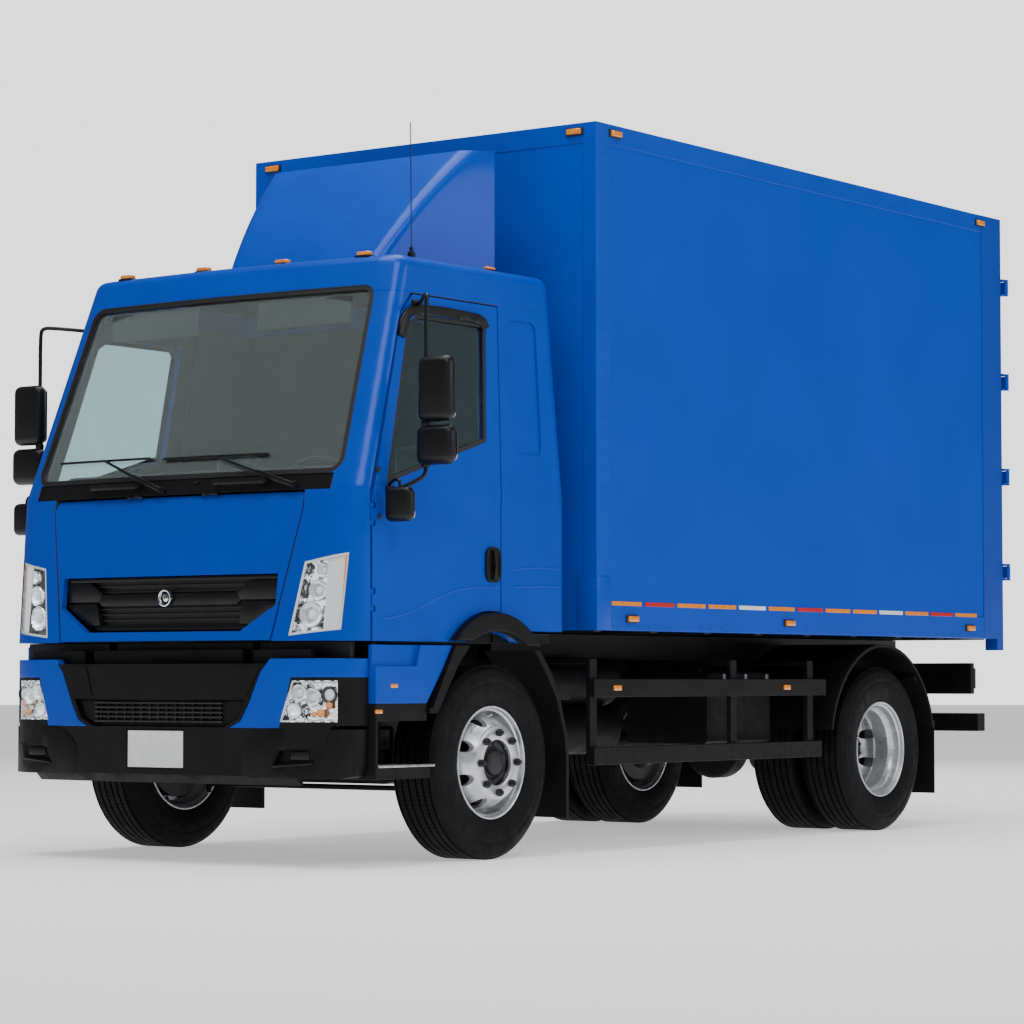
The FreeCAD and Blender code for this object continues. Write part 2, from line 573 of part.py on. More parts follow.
def knuckle():
    """The left knuckle: fork, kingpin, stub axle and steering arm."""
    lug_x = ("kingpin_x - kingpin_boss_radius", "kingpin_x + kingpin_lug_out")
    lug_y = ("axle_y - kingpin_boss_radius", "axle_y + kingpin_boss_radius")
    low_top = "knuckle_low_z - knuckle_gap"
    high_low = "knuckle_high_z + knuckle_gap"
    web_x = "kingpin_x + kingpin_boss_radius + knuckle_gap * 2"
    pieces = [
        block("fork_low", lug_x, lug_y, (f"{low_top} - knuckle_lug_height", low_top)),
        block("fork_high", lug_x, lug_y, (high_low, f"{high_low} + knuckle_lug_height")),
        block("fork_web", (web_x, lug_x[1]), lug_y, (low_top, high_low)),
        rod("kingpin", "z", ("kingpin_x", "axle_y", low_top),
            f"{high_low} - ({low_top})", "kingpin_radius"),
        rod("stub_axle", "x", (web_x, "axle_y", "tyre_radius"),
            f"front_wheel_x + stub_reach - ({web_x})", "spindle_radius"),
        plate("steering_arm", "XY_Plane",
              [("kingpin_x - kingpin_boss_radius", "axle_y"),
               ("kingpin_x + kingpin_boss_radius", "axle_y"),
               ("kingpin_x - steering_arm_inset + steering_arm_width / 2",
                "axle_y + steering_arm_length"),
               ("kingpin_x - steering_arm_inset - steering_arm_width / 2",
                "axle_y + steering_arm_length")],
              f"{low_top} - knuckle_lug_height", f"{low_top} - knuckle_lug_height"
              " + steering_arm_height"),
    ]
    arm_eye = ("kingpin_x - steering_arm_inset", "axle_y + steering_arm_length",
               f"{low_top} - knuckle_lug_height")
    pieces.append(rod("arm_eye", "z", arm_eye, "steering_arm_height",
                      "steering_arm_width / 2"))
    pieces.append(rod("arm_pin", "z",
                      (arm_eye[0], arm_eye[1], f"{arm_eye[2]} - tie_rod_drop"),
                      "tie_rod_drop", "tie_rod_pin_radius"))
    return joined("knuckle_left", pieces)


def tie_rod():
    """The rod between the two steering arms, open at its right pivot."""
    pin_y = "axle_y + steering_arm_length"
    eye_z = ("knuckle_low_z - knuckle_gap - knuckle_lug_height - tie_rod_gap"
             " - steering_arm_height")
    middle_z = f"{eye_z} + steering_arm_height / 2"
    reach = "kingpin_x - steering_arm_inset"
    pieces = [rod("tie_rod_tube", "x", (f"0 - ({reach})", pin_y, middle_z),
                  f"2 * ({reach})", "tie_rod_radius")]
    bores = []
    for side, sign, radius in (("left", "1", "tie_rod_pin_radius + kingpin_clearance"),
                               ("right", "0 - 1", "tie_rod_pin_radius + tie_rod_clearance")):
        place = (f"{sign} * ({reach})", pin_y)
        pieces.append(rod(f"tie_rod_eye_{side}", "z", (*place, eye_z),
                          "steering_arm_height", "steering_arm_width / 2"))
        bores.append(rod(f"tie_rod_bore_{side}", "z", (*place, f"{eye_z} - overrun"),
                         "steering_arm_height + 2 * overrun", radius))
    return node(cut("tie_rod", joined("tie_rod_whole", pieces),
                    joined("tie_rod_bores", bores)), "tie_rod")


# Wheels and tyres

def tyre(label, place):
    """A tyre section turned about the axle: beads, bulged sidewalls and a flat tread."""
    half = "tyre_width / 2"
    bead = "rim_width / 2 - rim_wall"
    points = [(f"0 - ({bead})", "bead_radius + seat_gap"),
              (f"0 - ({bead})", "flange_radius + tyre_bulge"),
              (f"0 - {half} + tyre_bulge", "flange_radius + tyre_bulge"),
              (f"0 - {half}", "(tyre_radius + flange_radius) / 2"),
              (f"0 - {half}", "tyre_radius - tyre_shoulder_low"),
              (f"0 - {half} + tyre_shoulder_soft", "tyre_radius - tyre_shoulder_soft"),
              (f"0 - {half} + tyre_shoulder", "tyre_radius"),
              (f"{half} - tyre_shoulder", "tyre_radius"),
              (f"{half} - tyre_shoulder_soft", "tyre_radius - tyre_shoulder_soft"),
              (half, "tyre_radius - tyre_shoulder_low"),
              (half, "(tyre_radius + flange_radius) / 2"),
              (f"{half} - tyre_bulge", "flange_radius + tyre_bulge"),
              (bead, "flange_radius + tyre_bulge"),
              (bead, "bead_radius + seat_gap")]
    return turned(label, points, place)


def rim(label, place, turn):
    """A wheel's rim and its dished disc with hand holes, facing outward before the turn."""
    half = "rim_width / 2"
    face = "disc_offset"
    back = "(disc_offset - disc_wall)"
    inside = "bead_radius - rim_wall"
    barrel = [(f"0 - {half}", "flange_radius"), (f"0 - {half} + rim_wall", "flange_radius"),
              (f"0 - {half} + rim_wall", "bead_radius"),
              (f"0 - {half} + well_inset", "bead_radius"),
              ("0 - well_width / 2", "well_radius"), ("well_width / 2", "well_radius"),
              (f"{half} - well_inset", "bead_radius"), (f"{half} - rim_wall", "bead_radius"),
              (f"{half} - rim_wall", "flange_radius"), (half, "flange_radius"),
              (half, inside), (f"{half} - well_inset", inside),
              ("well_width / 2", "well_radius - rim_wall"),
              ("0 - well_width / 2", "well_radius - rim_wall"),
              (f"0 - {half} + well_inset", inside), (f"0 - {half}", inside)]
    disc = [(back, "pilot_radius"), (face, "pilot_radius"), (face, "disc_face_radius"),
            ("disc_edge", "bead_radius - rim_wall / 2"),
            ("disc_edge - disc_wall * 2", "bead_radius - rim_wall / 2"),
            (back, "disc_face_radius - disc_wall")]
    dish = turned(label + "_disc", disc, place)
    hole = dish.newObject("Sketcher::SketchObject", label + "_hole_outline")
    side = next(item for item in dish.Origin.OriginFeatures if item.Role == "YZ_Plane")
    hole.AttachmentSupport = [(side, "")]
    hole.MapMode = "FlatFace"
    hole.addGeometry(Part.Circle(Vector(0, 1, 0), Vector(0, 0, 1), 1))
    hole.addConstraint(Sketcher.Constraint("Radius", 0, 1))
    hole.setExpression("Constraints[0]", cells("hand_hole_radius"))
    hole.addConstraint(Sketcher.Constraint("DistanceX", -1, 1, 0, 3, 0))
    hole.addConstraint(Sketcher.Constraint("DistanceY", -1, 1, 0, 3, 1))
    hole.setExpression("Constraints[2]", cells("hand_hole_circle"))
    pocket = dish.newObject("PartDesign::Pocket", label + "_hole")
    pocket.Profile = hole
    pocket.Type = "ThroughAll"
    pocket.Midplane = True
    ring = dish.newObject("PartDesign::PolarPattern", label + "_holes")
    ring.Originals = [pocket]
    ring.Axis = (hole, ["N_Axis"])
    ring.Angle = 360
    ring.setExpression("Occurrences", cells("hand_hole_count"))
    dish.Tip = ring
    pieces = [turned(label + "_barrel", barrel, place), dish]
    for piece in pieces:
        piece.Placement.Rotation = turn
    return pieces


def hub(label, place, turn, bore, bore_end, cap_radius, cap_out):
    """A hub with its brake drum and mounting flange, bored for its spindle."""
    flange_out = "disc_offset - disc_wall"
    flange_in = f"{flange_out} - hub_flange"
    points = [("drum_in", bore), ("drum_in", "drum_radius"),
              ("drum_in + drum_width", "drum_radius"),
              ("drum_in + drum_width", "hub_radius"), (flange_in, "hub_radius"),
              (flange_in, "hub_flange_radius"), (flange_out, "hub_flange_radius"),
              (flange_out, cap_radius), (cap_out, cap_radius), (cap_out, "0"),
              (bore_end, "0"), (bore_end, bore)]
    piece = turned(label, points, place)
    piece.Placement.Rotation = turn
    return piece


def wheels():
    """Two single front wheels and two pairs of twin rear wheels, each with its tyres."""
    inward = {"left": Rotation(Vector(0, 0, 1), 180), "right": Rotation()}
    outward = {"left": Rotation(), "right": Rotation(Vector(0, 0, 1), 180)}
    for name, sign in sides():
        centre = (f"({sign}) * front_wheel_x", "axle_y", "tyre_radius")
        node(tyre(f"tyre_front_{name}", centre), f"tyre_front_{name}")
        parts = rim(f"rim_front_{name}", centre, outward[name])
        parts.append(hub(f"hub_front_{name}", centre, outward[name],
                         "spindle_radius + spindle_clearance", "spindle_seat",
                         "hub_cap_radius", "disc_offset - hub_cap_inset"))
        node(joined(f"rim_front_{name}_whole", parts), f"rim_front_{name}")
        outer = (f"({sign}) * rear_wheel_x", "rear_axle_y", "tyre_radius")
        inner = (f"({sign}) * (rear_wheel_x - twin_spacing)", "rear_axle_y", "tyre_radius")
        pair = [tyre(f"tyre_outer_{name}", outer), tyre(f"tyre_inner_{name}", inner)]
        node(gathered(f"tyres_rear_{name}", pair), f"tyres_rear_{name}")
        parts = rim(f"rim_outer_{name}", outer, inward[name])
        parts += rim(f"rim_inner_{name}", inner, outward[name])
        parts.append(hub(f"hub_rear_{name}", inner, outward[name],
                         "axle_tube_radius + spindle_clearance",
                         "axle_tube_reach - rear_wheel_x + twin_spacing + spindle_end_gap",
                         "rear_cap_radius", "disc_offset + rear_cap_length"))
        node(joined(f"rims_rear_{name}_whole", parts), f"rims_rear_{name}")


# Tanks and boxes along the frame

def fuel_tank():
    """The tank on the right side with its straps."""
    x = spanned("0 - 1", "frame_half + seat_gap", "frame_half + tank_depth")
    y = ("axle_y + tank_front", "axle_y + tank_front + tank_length")
    shell = block("tank_block", x, y, ("tank_low", "tank_low + tank_height"))
    shell = rounded("tank_rounded", shell, "tank_round", ALONG_Y)
    straps = []
    for index, share in enumerate(STRAP_SHARES):
        place = f"axle_y + tank_front + {share} * tank_length"
        outer = block(f"tank_strap_{index}",
                      (f"{x[0]} - tank_strap_wall", x[1]),
                      (place, f"{place} + tank_strap"),
                      ("tank_low - tank_strap_wall", "tank_low + tank_height + tank_strap_wall"))
        straps.append(rounded(f"tank_strap_rounded_{index}", outer, "tank_round", ALONG_Y))
    return node(joined("fuel_tank", [shell] + straps), "fuel_tank")


def frame_boxes():
    """Battery box and air tanks on the left, silencer and tailpipe on the right."""
    x = ("frame_half + seat_gap", "frame_half + battery_depth")
    y = ("axle_y + battery_start", "axle_y + battery_start + battery_length")
    box = block("battery_case", x, y, ("tank_low + battery_drop", "frame_top - battery_drop"))
    box = rounded("battery_rounded", box, "battery_round", ALONG_Y)
    pieces = []
    for index, share in enumerate(AIR_TANK_SHARES):
        height = f"tank_low + {share} * tank_height"
        pieces.append(rod(f"air_tank_{index}", "y",
                          ("frame_half + air_tank_radius + seat_gap", "axle_y + tank_front",
                           height), "air_tank_length", "air_tank_radius"))
        place = f"axle_y + tank_front + {STRAP_SHARES[index]} * air_tank_length"
        pieces.append(block(f"air_tank_bracket_{index}",
                            ("frame_half + seat_gap", "frame_half + air_tank_radius"),
                            (place, f"{place} + tank_strap"),
                            (f"tank_low + {AIR_TANK_SHARES[0]} * tank_height",
                             "frame_top - battery_drop")))
    return node(gathered("frame_boxes", [box, joined("air_tanks", pieces)]), "frame_boxes")


def silencer():
    """The silencer behind the tank, hung on two brackets, and its tailpipe."""
    place = ("0 - silencer_x", "axle_y + silencer_start", "silencer_height")
    can = rod("silencer_can", "y", place, "silencer_length", "silencer_radius")
    pipe = rod("tailpipe", "y", ("0 - silencer_x", "axle_y + silencer_start + silencer_length",
                                 "silencer_height"), "tailpipe_length", "tailpipe_radius")
    pieces = [can, pipe]
    for index, share in enumerate(STRAP_SHARES):
        start = f"axle_y + silencer_start + {share} * silencer_length"
        pieces.append(block(f"silencer_bracket_{index}",
                            ("0 - silencer_x", "0 - frame_half"),
                            (start, f"{start} + tank_strap"),
                            ("silencer_height + silencer_radius - tank_strap",
                             "silencer_height + silencer_radius + tank_strap_wall")))
    return node(joined("silencer", pieces), "silencer")


# Side guards

def side_guards():
    x = ("guard_x", "guard_x + guard_thick")
    front = "axle_y + guard_front"
    rear = "axle_y + guard_rear"
    pieces = [
        block("guard_rail_high", x, (front, rear), ("guard_top - guard_rail", "guard_top")),
        block("guard_rail_low", x, (front, f"{rear} - guard_rail / 2"),
              ("guard_low_top - guard_low_rail", "guard_low_top")),
    ]
    for index, share in enumerate(POST_SHARES):
        place = f"{front} + {share} * (guard_rear - guard_front)"
        post = (place, f"{place} + guard_post")
        pieces.append(block(f"guard_post_{index}", ("guard_x - guard_thick", "guard_x"), post,
                            ("guard_low_top - guard_low_rail", "sub_low")))
        pieces.append(block(f"guard_arm_{index}", ("frame_half", "guard_x"), post,
                            ("sub_low - guard_thick", "sub_low")))
    return node(both("side_guards", joined("side_guard_left", pieces)), "side_guards")


# Shapes in plan that the cab and the bumper share

def plan(z, half, front, rear, bow, corner, turn, rear_round):
    """A closed outline in plan: bowed front, soft front corners and round rear corners."""
    inner = half - corner
    radius = (inner ** 2 + bow ** 2) / (2 * bow)
    slope = inner / (radius ** 2 - inner ** 2) ** 0.5
    left = [Vector(inner, front + bow, z), Vector(half, front + bow + corner * slope, z),
            Vector(half, front + bow + turn, z), Vector(half, rear - rear_round, z),
            Vector(half, rear, z), Vector(half - rear_round, rear, z)]
    right = [Vector(-point.x, point.y, z) for point in left]

    def bend(poles):
        curve = Part.BezierCurve()
        curve.setPoles(poles)
        return curve.toShape()

    nose = Part.Arc(right[0], Vector(0, front, z), left[0]).toShape()
    edges = [nose, bend(left[0:3]), Part.makeLine(left[2], left[3]), bend(left[3:6]),
             Part.makeLine(left[5], right[5]), bend(right[5:2:-1]),
             Part.makeLine(right[3], right[2]), bend(right[2::-1])]
    return Part.Wire(edges)


def cab_form(inset):
    """The cab's outer form, moved inward by an inset."""
    axle = size("axle_y")
    rear = axle + size("cab_rear") - inset
    wires = []
    for level, top in (("low", "low"), ("belt", "belt"), ("top", "top")):
        half = size("cab_top_half") if level == "top" else size("cab_half")
        front = {"low": "cab_front", "belt": "cab_belt_front", "top": "cab_top_front"}[level]
        z = size("cab_" + top) - (inset if level == "top" else 0)
        wires.append(plan(z, half - inset, axle - size(front) + inset, rear,
                          size("cab_bow"), size("cab_corner_" + level) - inset / 2,
                          size("cab_turn_" + level) - inset / 2,
                          size("cab_rear_round") - inset / 2))
    form = Part.makeLoft(wires, True, True)
    top_z = size("cab_top") - inset
    edges = [edge for edge in form.Edges
             if all(abs(vertex.Z - top_z) < 1e-3 for vertex in edge.Vertexes)]
    if inset > size("cab_wall") + size("panel_gap"):
        return form
    return form.makeFillet(size("cab_roof_round") - inset / 2, edges)


FORMS = {}


def cab_shell(outer, inner):
    """The layer of the cab between two insets."""
    for inset in (outer, inner):
        if inset not in FORMS:
            FORMS[inset] = cab_form(inset)
    return FORMS[outer].cut(FORMS[inner])


def side_prism(points, low, high):
    """An outline of places along the truck from the front axle and heights, across X."""
    axle = size("axle_y")
    corners = [Vector(low, axle + y, z) for y, z in points]
    face = Part.Face(Part.makePolygon(corners + corners[:1]))
    return face.extrude(Vector(high - low, 0, 0))


def front_prism(points, lead, trail):
    """An outline of X and heights, from a lead before the front axle to a trail behind."""
    axle = size("axle_y")
    corners = [Vector(x, axle - lead, z) for x, z in points]
    face = Part.Face(Part.makePolygon(corners + corners[:1]))
    return face.extrude(Vector(0, lead + trail, 0))


def slab(x, y, z):
    """A plain box between places measured from the front axle."""
    corner = Vector(x[0], size("axle_y") + y[0], z[0])
    return Part.makeBox(x[1] - x[0], y[1] - y[0], z[1] - z[0], corner)


def feature(name, shape):
    item = doc.addObject("Part::Feature", name)
    item.Shape = shape
    return node(item, name)


def turned_over(shape):
    """The same shape on the other side of the truck."""
    return shape.mirror(Vector(0, 0, 0), Vector(1, 0, 0))


# Front bumper with its grille, corners and lamps

def front_outline(*names):
    """Places on the front, each named by its X and its height."""
    return [(size(x), size(z)) for x, z in names]


def bumper():
    """The bumper with its air intake and pockets, its blue corners and its two lamps."""
    wall = size("bumper_wall")
    lead = size("front_overhang") + size("overrun")
    rear = -size("bumper_return")
    far = size("bumper_half") + size("overrun")

    def outline(z, inset):
        return plan(z, size("bumper_half") - inset, size("front_face_y") + inset,
                    size("axle_y"), size("bumper_bow"), size("bumper_turn") - inset / 2,
                    size("bumper_turn") - inset / 2, size("bumper_turn"))

    def form(inset):
        face_low = size("bumper_face_low")
        upper = Part.Face(outline(face_low, inset)).extrude(
            Vector(0, 0, size("closure_top") - face_low))
        tuck = max(inset, size("bumper_tuck"))
        lower = Part.makeLoft([outline(size("bumper_low"), tuck), outline(face_low, inset)],
                              True, True)
        return upper.fuse(lower)

    def through(*names):
        return front_prism(front_outline(*names), lead, rear)

    whole = form(0)
    keep = slab((-far, far), (-lead, rear), (size("bumper_low"), size("corner_top")))
    shell = whole.cut(form(wall)).common(keep)
    blue_room = through(("corner_in_top", "corner_top"), ("corner_in_upper", "corner_upper"),
                        ("corner_in_middle", "corner_middle"),
                        ("corner_in_lower", "corner_lower"), ("corner_in_foot", "corner_foot"),
                        ("beam_in_low", "corner_foot"), ("beam_in_high", "corner_band"),
                        ("cab_half", "corner_band"), ("cab_half", "corner_top"))
    lamp_hole = through(("beam_in_low", "beam_low"), ("beam_out", "beam_low"),
                        ("beam_out", "beam_high"), ("beam_in_high", "beam_high"))
    tuck = through(("tuck_in", "bumper_face_low"), ("tuck_middle", "tuck_middle_high"),
                   ("tuck_out", "tuck_high"), ("cab_half", "tuck_high"),
                   ("cab_half", "bumper_low"), ("tuck_in", "bumper_low"))
    pocket = through(("pocket_in_low", "pocket_in_low_z"), ("pocket_out_low", "pocket_out_low_z"),
                     ("pocket_out_high", "pocket_out_high_z"),
                     ("pocket_in_high", "pocket_in_high_z"))
    pocket = pocket.cut(form(size("pocket_depth")))
    corners = [(x, z) for x, z in front_outline(("intake_top_half", "intake_top"),
                                                ("intake_middle_half", "intake_middle"),
                                                ("intake_low_half", "intake_low"))]
    corners += [(-x, z) for x, z in corners[::-1]]
    intake = front_prism(corners, lead, rear).cut(form(size("intake_depth")))
    black = shell.common(slab((-far, far), (-lead, rear),
                              (size("bumper_low"), size("bumper_top"))))
    pieces = []
    horn_low = size("frame_low") - size("horn_drop")
    horn_in = size("frame_half") - size("frame_flange")
    for horn_x in ((horn_in, size("frame_half")), (-size("frame_half"), -horn_in)):
        pad = slab(horn_x, (-size("front_overhang") + wall / 2,
                            -size("front_overhang") + wall + size("horn_lead")),
                   (horn_low, horn_low + size("bumper_horn_height")))
        pieces.append(pad.common(whole))
    closure_half = size("closure_half")
    across = (-closure_half, closure_half)
    closure = slab(across, (-size("closure_reach"), -size("closure_rear")),
                   (size("closure_low"), size("bumper_top")))
    closure = closure.fuse(slab(across, (-size("closure_front"), -size("closure_rear")),
                                (size("closure_low"), size("closure_top"))))
    closure = closure.common(form(wall / 2))
    slot_in = size("pivot_lug_x") + size("pivot_lug_width") - size("closure_slot")
    slot_out = slot_in + size("pivot_ear_width") + 2 * size("closure_slot")
    for slot_x in ((slot_in, slot_out), (-slot_out, -slot_in)):
        closure = closure.cut(slab(slot_x, (-lead, rear),
                                   (size("closure_low"), size("closure_top"))))
    black = black.multiFuse(pieces + [closure])
    for tool in (blue_room, lamp_hole, tuck, pocket):
        black = black.cut([tool, turned_over(tool)])
    feature("front_bumper", black.cut(intake).removeSplitter())
    blue = shell.common(blue_room).cut(lamp_hole)
    feature("bumper_corners", Part.makeCompound([blue, turned_over(blue)]))
    return form(size("lamp_inset")).cut(form(wall)).common(lamp_hole)


# Steps under the doors and the mudguards of the front wheels

def steps():
    front = "axle_y - step_front"
    rear = "axle_y - step_rear"
    panel_x = ("step_out - step_panel_thick", "step_out")
    arch_high = "axle_y - leg_front_high - panel_gap"
    arch_middle = "axle_y - leg_front_middle - panel_gap"
    arch_low = "axle_y - leg_front_low - panel_gap"
    panel = plate("step_panel", "YZ_Plane",
                  [(front, "step_panel_low"), (arch_low, "step_panel_low"),
                   (arch_middle, "leg_middle"), (arch_high, "step_panel_top"),
                   (front, "step_panel_top")], *panel_x)
    toe = plate("step_toe", "YZ_Plane",
                [(front, "step_toe_low"), ("axle_y - step_toe_rear - step_toe_slope",
                                           "step_toe_low"),
                 ("axle_y - step_toe_rear", "step_panel_top + overrun"),
                 (front, "step_panel_top + overrun")],
                "step_out - step_toe_depth", "step_out + overrun")
    panel = cut("step_panel_cut", panel, toe)
    node(both("step_panels", panel), "step_panels")
    inner = ("step_in", "step_out - step_panel_thick")
    pieces = [
        block("step_box_top", inner, (front, rear), ("step_panel_low", "step_toe_low")),
        block("step_skirt", ("step_out - 2 * step_panel_thick", "step_out"), (front, arch_low),
              ("step_skirt_low", "step_panel_low")),
        block("step_back", ("step_in", "step_in + step_well_wall"), (front, rear),
              ("step_low", "step_panel_low")),
        block("step_tread_plate", ("step_in", "step_out"), (front, rear),
              ("step_low", "step_tread")),
        block("step_front_wall", ("step_in", "step_out"), (front, f"{front} + step_well_wall"),
              ("step_tread", "step_panel_low")),
        block("step_arm", ("frame_half", "step_in"),
              (f"{front} + step_arm_lead", f"{front} + step_arm_lead + step_arm_width"),
              ("frame_low + step_well_wall", "frame_low + step_arm_width")),
    ]
    sweep = rod("step_turn_sweep", "z", ("kingpin_x", "axle_y", "step_low - overrun"),
                "step_panel_low - step_low + overrun", "turn_clear_radius")
    left = cut("step_left", joined("step_whole", pieces), sweep)
    return node(both("steps", left), "steps")


def mudguards():
    """Front wheel legs and guards, rear fenders and flaps."""
    leg = plate("front_leg", "YZ_Plane",
                [("axle_y - leg_front_low", "leg_low"), ("axle_y - leg_rear_low", "leg_low"),
                 ("axle_y - leg_rear_middle", "leg_rear_middle_z"),
                 ("axle_y - leg_rear_high", "leg_high"),
                 ("axle_y - leg_front_high", "leg_high"),
                 ("axle_y - leg_front_middle", "leg_middle")], "guard_leg_in", "guard_out")
    brace = block("front_leg_brace", ("step_out - step_panel_thick", "guard_out"),
                  ("axle_y - leg_front_low - panel_gap", "axle_y - leg_rear_low"),
                  ("leg_low", "leg_low + guard_wall"))
    rear = plate("front_guard", "YZ_Plane",
                 [("axle_y + mud_top_trail - mud_slant", "mud_top"),
                  ("axle_y + mud_upper_trail - mud_slant", "mud_upper"),
                  ("axle_y + mud_mid_trail - guard_wall - panel_gap", "mud_mid"),
                  ("axle_y + mud_lower_trail - guard_wall", "mud_lower"),
                  ("axle_y + mud_low_trail - guard_wall", "mud_knee"),
                  ("axle_y + mud_low_trail - guard_wall", "mud_low"),
                  ("axle_y + mud_low_trail", "mud_low"),
                  ("axle_y + mud_low_trail", "mud_knee"),
                  ("axle_y + mud_lower_trail", "mud_lower"),
                  ("axle_y + mud_mid_trail", "mud_mid"),
                  ("axle_y + mud_upper_trail", "mud_upper"),
                  ("axle_y + mud_top_trail", "mud_top")], "guard_in", "guard_out")
    stay = block("front_guard_stay", ("frame_half", "guard_out - guard_wall"),
                 ("axle_y + mud_low_trail", "axle_y + mud_low_trail + fender_stay"),
                 ("frame_low + guard_wall", "frame_low + guard_wall + fender_stay"))
    web = block("front_guard_web", ("guard_in", "guard_out - guard_wall"),
                ("axle_y + mud_mid_trail - guard_wall / 2",
                 "axle_y + mud_low_trail + guard_wall"),
                ("frame_low + guard_wall", "frame_low + guard_wall + fender_stay"))
    front = joined("front_guard_left", [rear, stay, web])
    outer = rod("fender_outer", "x", ("fender_in", "rear_axle_y", "tyre_radius"),
                "fender_out - fender_in", "fender_radius + fender_wall")
    inner = rod("fender_inner", "x", ("fender_in - overrun", "rear_axle_y", "tyre_radius"),
                "fender_out - fender_in + 2 * overrun", "fender_radius")
    ring = cut("fender_ring", outer, inner)
    keep = block("fender_keep", ("fender_in", "fender_out"),
                 ("rear_axle_y - 2 * fender_radius", "rear_axle_y + 2 * fender_radius"),
                 ("fender_low", "tyre_radius + 2 * fender_radius"))
    arch = common("fender_arch", ring, keep)
    flap = block("mud_flap", ("fender_in", "fender_out"),
                 ("rear_axle_y + fender_radius", "rear_axle_y + fender_radius + flap_thick"),
                 ("flap_bottom", "fender_low + fender_stay"))
    pieces = [arch, flap]
    for index, sign_y in enumerate(("-", "+")):
        pieces.append(rod(f"fender_stay_{index}", "x",
                          ("frame_half", f"rear_axle_y {sign_y} fender_radius * {STAY_SHARE}",
                           f"tyre_radius + fender_radius * {STAY_SHARE}"),
                          "fender_out - frame_half - fender_wall", "fender_stay / 2"))
    rear_left = joined("fender_left", pieces)
    node(both("rear_fenders", rear_left), "rear_fenders")
    solids = []
    for label, piece in (("front_guards", front),
                         ("front_legs", joined("front_leg_left", [leg, brace]))):
        solids += [piece, mirrored(label + "_right", piece)]
    return node(gathered("front_mudguards", solids), "front_mudguards")


# Rear underrun bar, lamp bar and lamps

def underrun():
    y = ("axle_y + underrun_rear - underrun_depth", "axle_y + underrun_rear")
    lamp_y = ("axle_y + lamp_bar_rear - lamp_bar_depth", "axle_y + lamp_bar_rear")
    pieces = [
        block("underrun_beam", ("0 - underrun_half", "underrun_half"), y,
              ("underrun_low", "underrun_high")),
        block("lamp_beam", ("0 - lamp_bar_half", "lamp_bar_half"), lamp_y,
              ("lamp_bar_low", "lamp_bar_high")),
    ]
    for side, sign in sides():
        pieces.append(block(f"underrun_post_{side}",
                            spanned(sign, "frame_half - underrun_post", "frame_half"),
                            (f"{lamp_y[0]} - underrun_post", lamp_y[0]),
                            ("underrun_low", "frame_low")))
        pieces.append(block(f"underrun_web_{side}",
                            spanned(sign, "frame_half - underrun_post", "frame_half"),
                            (lamp_y[0], lamp_y[1]), ("underrun_low", "lamp_bar_low")))
    return node(joined("underrun_bar", pieces), "underrun_bar")


# Load body

def body_floor():
    """Long rails on the frame, cross bearers and the floor that they carry."""
    front = "axle_y + body_front"
    rear = "axle_y + body_front + body_length"
    inner = "body_half - rail_width"
    pieces = [block("floor_plate", (f"0 - ({inner})", inner),
                    (f"{front} + rail_depth", f"{rear} - sill_depth"),
                    ("floor_top - floor_thick", "floor_top"))]
    for side, sign in sides():
        pieces.append(block(f"long_rail_{side}",
                            spanned(sign, "sub_rail_half - sub_rail_width", "sub_rail_half"),
                            (f"{front} + rail_width", f"{rear} - sill_depth"),
                            ("frame_top", "frame_top + sub_rail_height")))
    count = int(size("bearer_count"))
    for index in range(count):
        place = (f"{front} + rail_width + {index} / {count - 1}"
                 " * (body_length - rail_width * 2 - sill_depth - bearer_width)")
        pieces.append(block(f"bearer_{index}", (f"0 - ({inner})", inner),
                            (place, f"{place} + bearer_width"),
                            ("frame_top + sub_rail_height", "floor_top - floor_thick")))
    return node(joined("body_floor", pieces), "body_floor")


def body_walls():
    front = "axle_y + body_front"
    rear = "axle_y + body_front + body_length"
    wall = block("side_wall", ("body_half - body_wall - rail_proud", "body_half - rail_proud"),
                 (f"{front} + post_width", f"{rear} - rear_post_depth"),
                 ("rail_top", "body_top - top_rail"))
    node(both("body_side_walls", wall), "body_side_walls")
    inner = "body_half - post_face"
    node(block("body_front_wall", (f"0 - ({inner})", inner),
               (f"{front} + rail_proud", f"{front} + rail_proud + body_wall"),
               ("rail_low", "body_top - top_rail")), "body_front_wall")
    inner = "body_half - rail_width"
    node(block("body_roof", (f"0 - ({inner})", inner),
               (f"{front} + rail_depth", f"{rear} - sill_depth"),
               ("body_top - rail_proud - roof_thick", "body_top - rail_proud")), "body_roof")
    post = plate("front_post", "XY_Plane",
                 [("body_half - post_face", front), ("body_half", front),
                  ("body_half", f"{front} + post_width"),
                  ("body_half - rail_width", f"{front} + post_width"),
                  ("body_half - rail_width", f"{front} + rail_depth"),
                  ("body_half - post_face", f"{front} + rail_depth")], "rail_low", "body_top")
    y = (f"{front} + post_width", f"{rear} - rear_post_depth")
    top = block("top_rail_side", ("body_half - rail_width", "body_half"), y,
                ("body_top - top_rail", "body_top"))
    low = block("low_rail_side", ("body_half - rail_width", "body_half"), y,
                ("rail_low", "rail_top"))
    left = joined("rails_left", [post, top, low])
    cross = block("top_rail_front", ("0 - (body_half - post_face)", "body_half - post_face"),
                  (front, f"{front} + rail_depth"), ("body_top - top_rail", "body_top"))
    return node(joined("body_rails", [left, mirrored("rails_right", left), cross]), "body_rails")


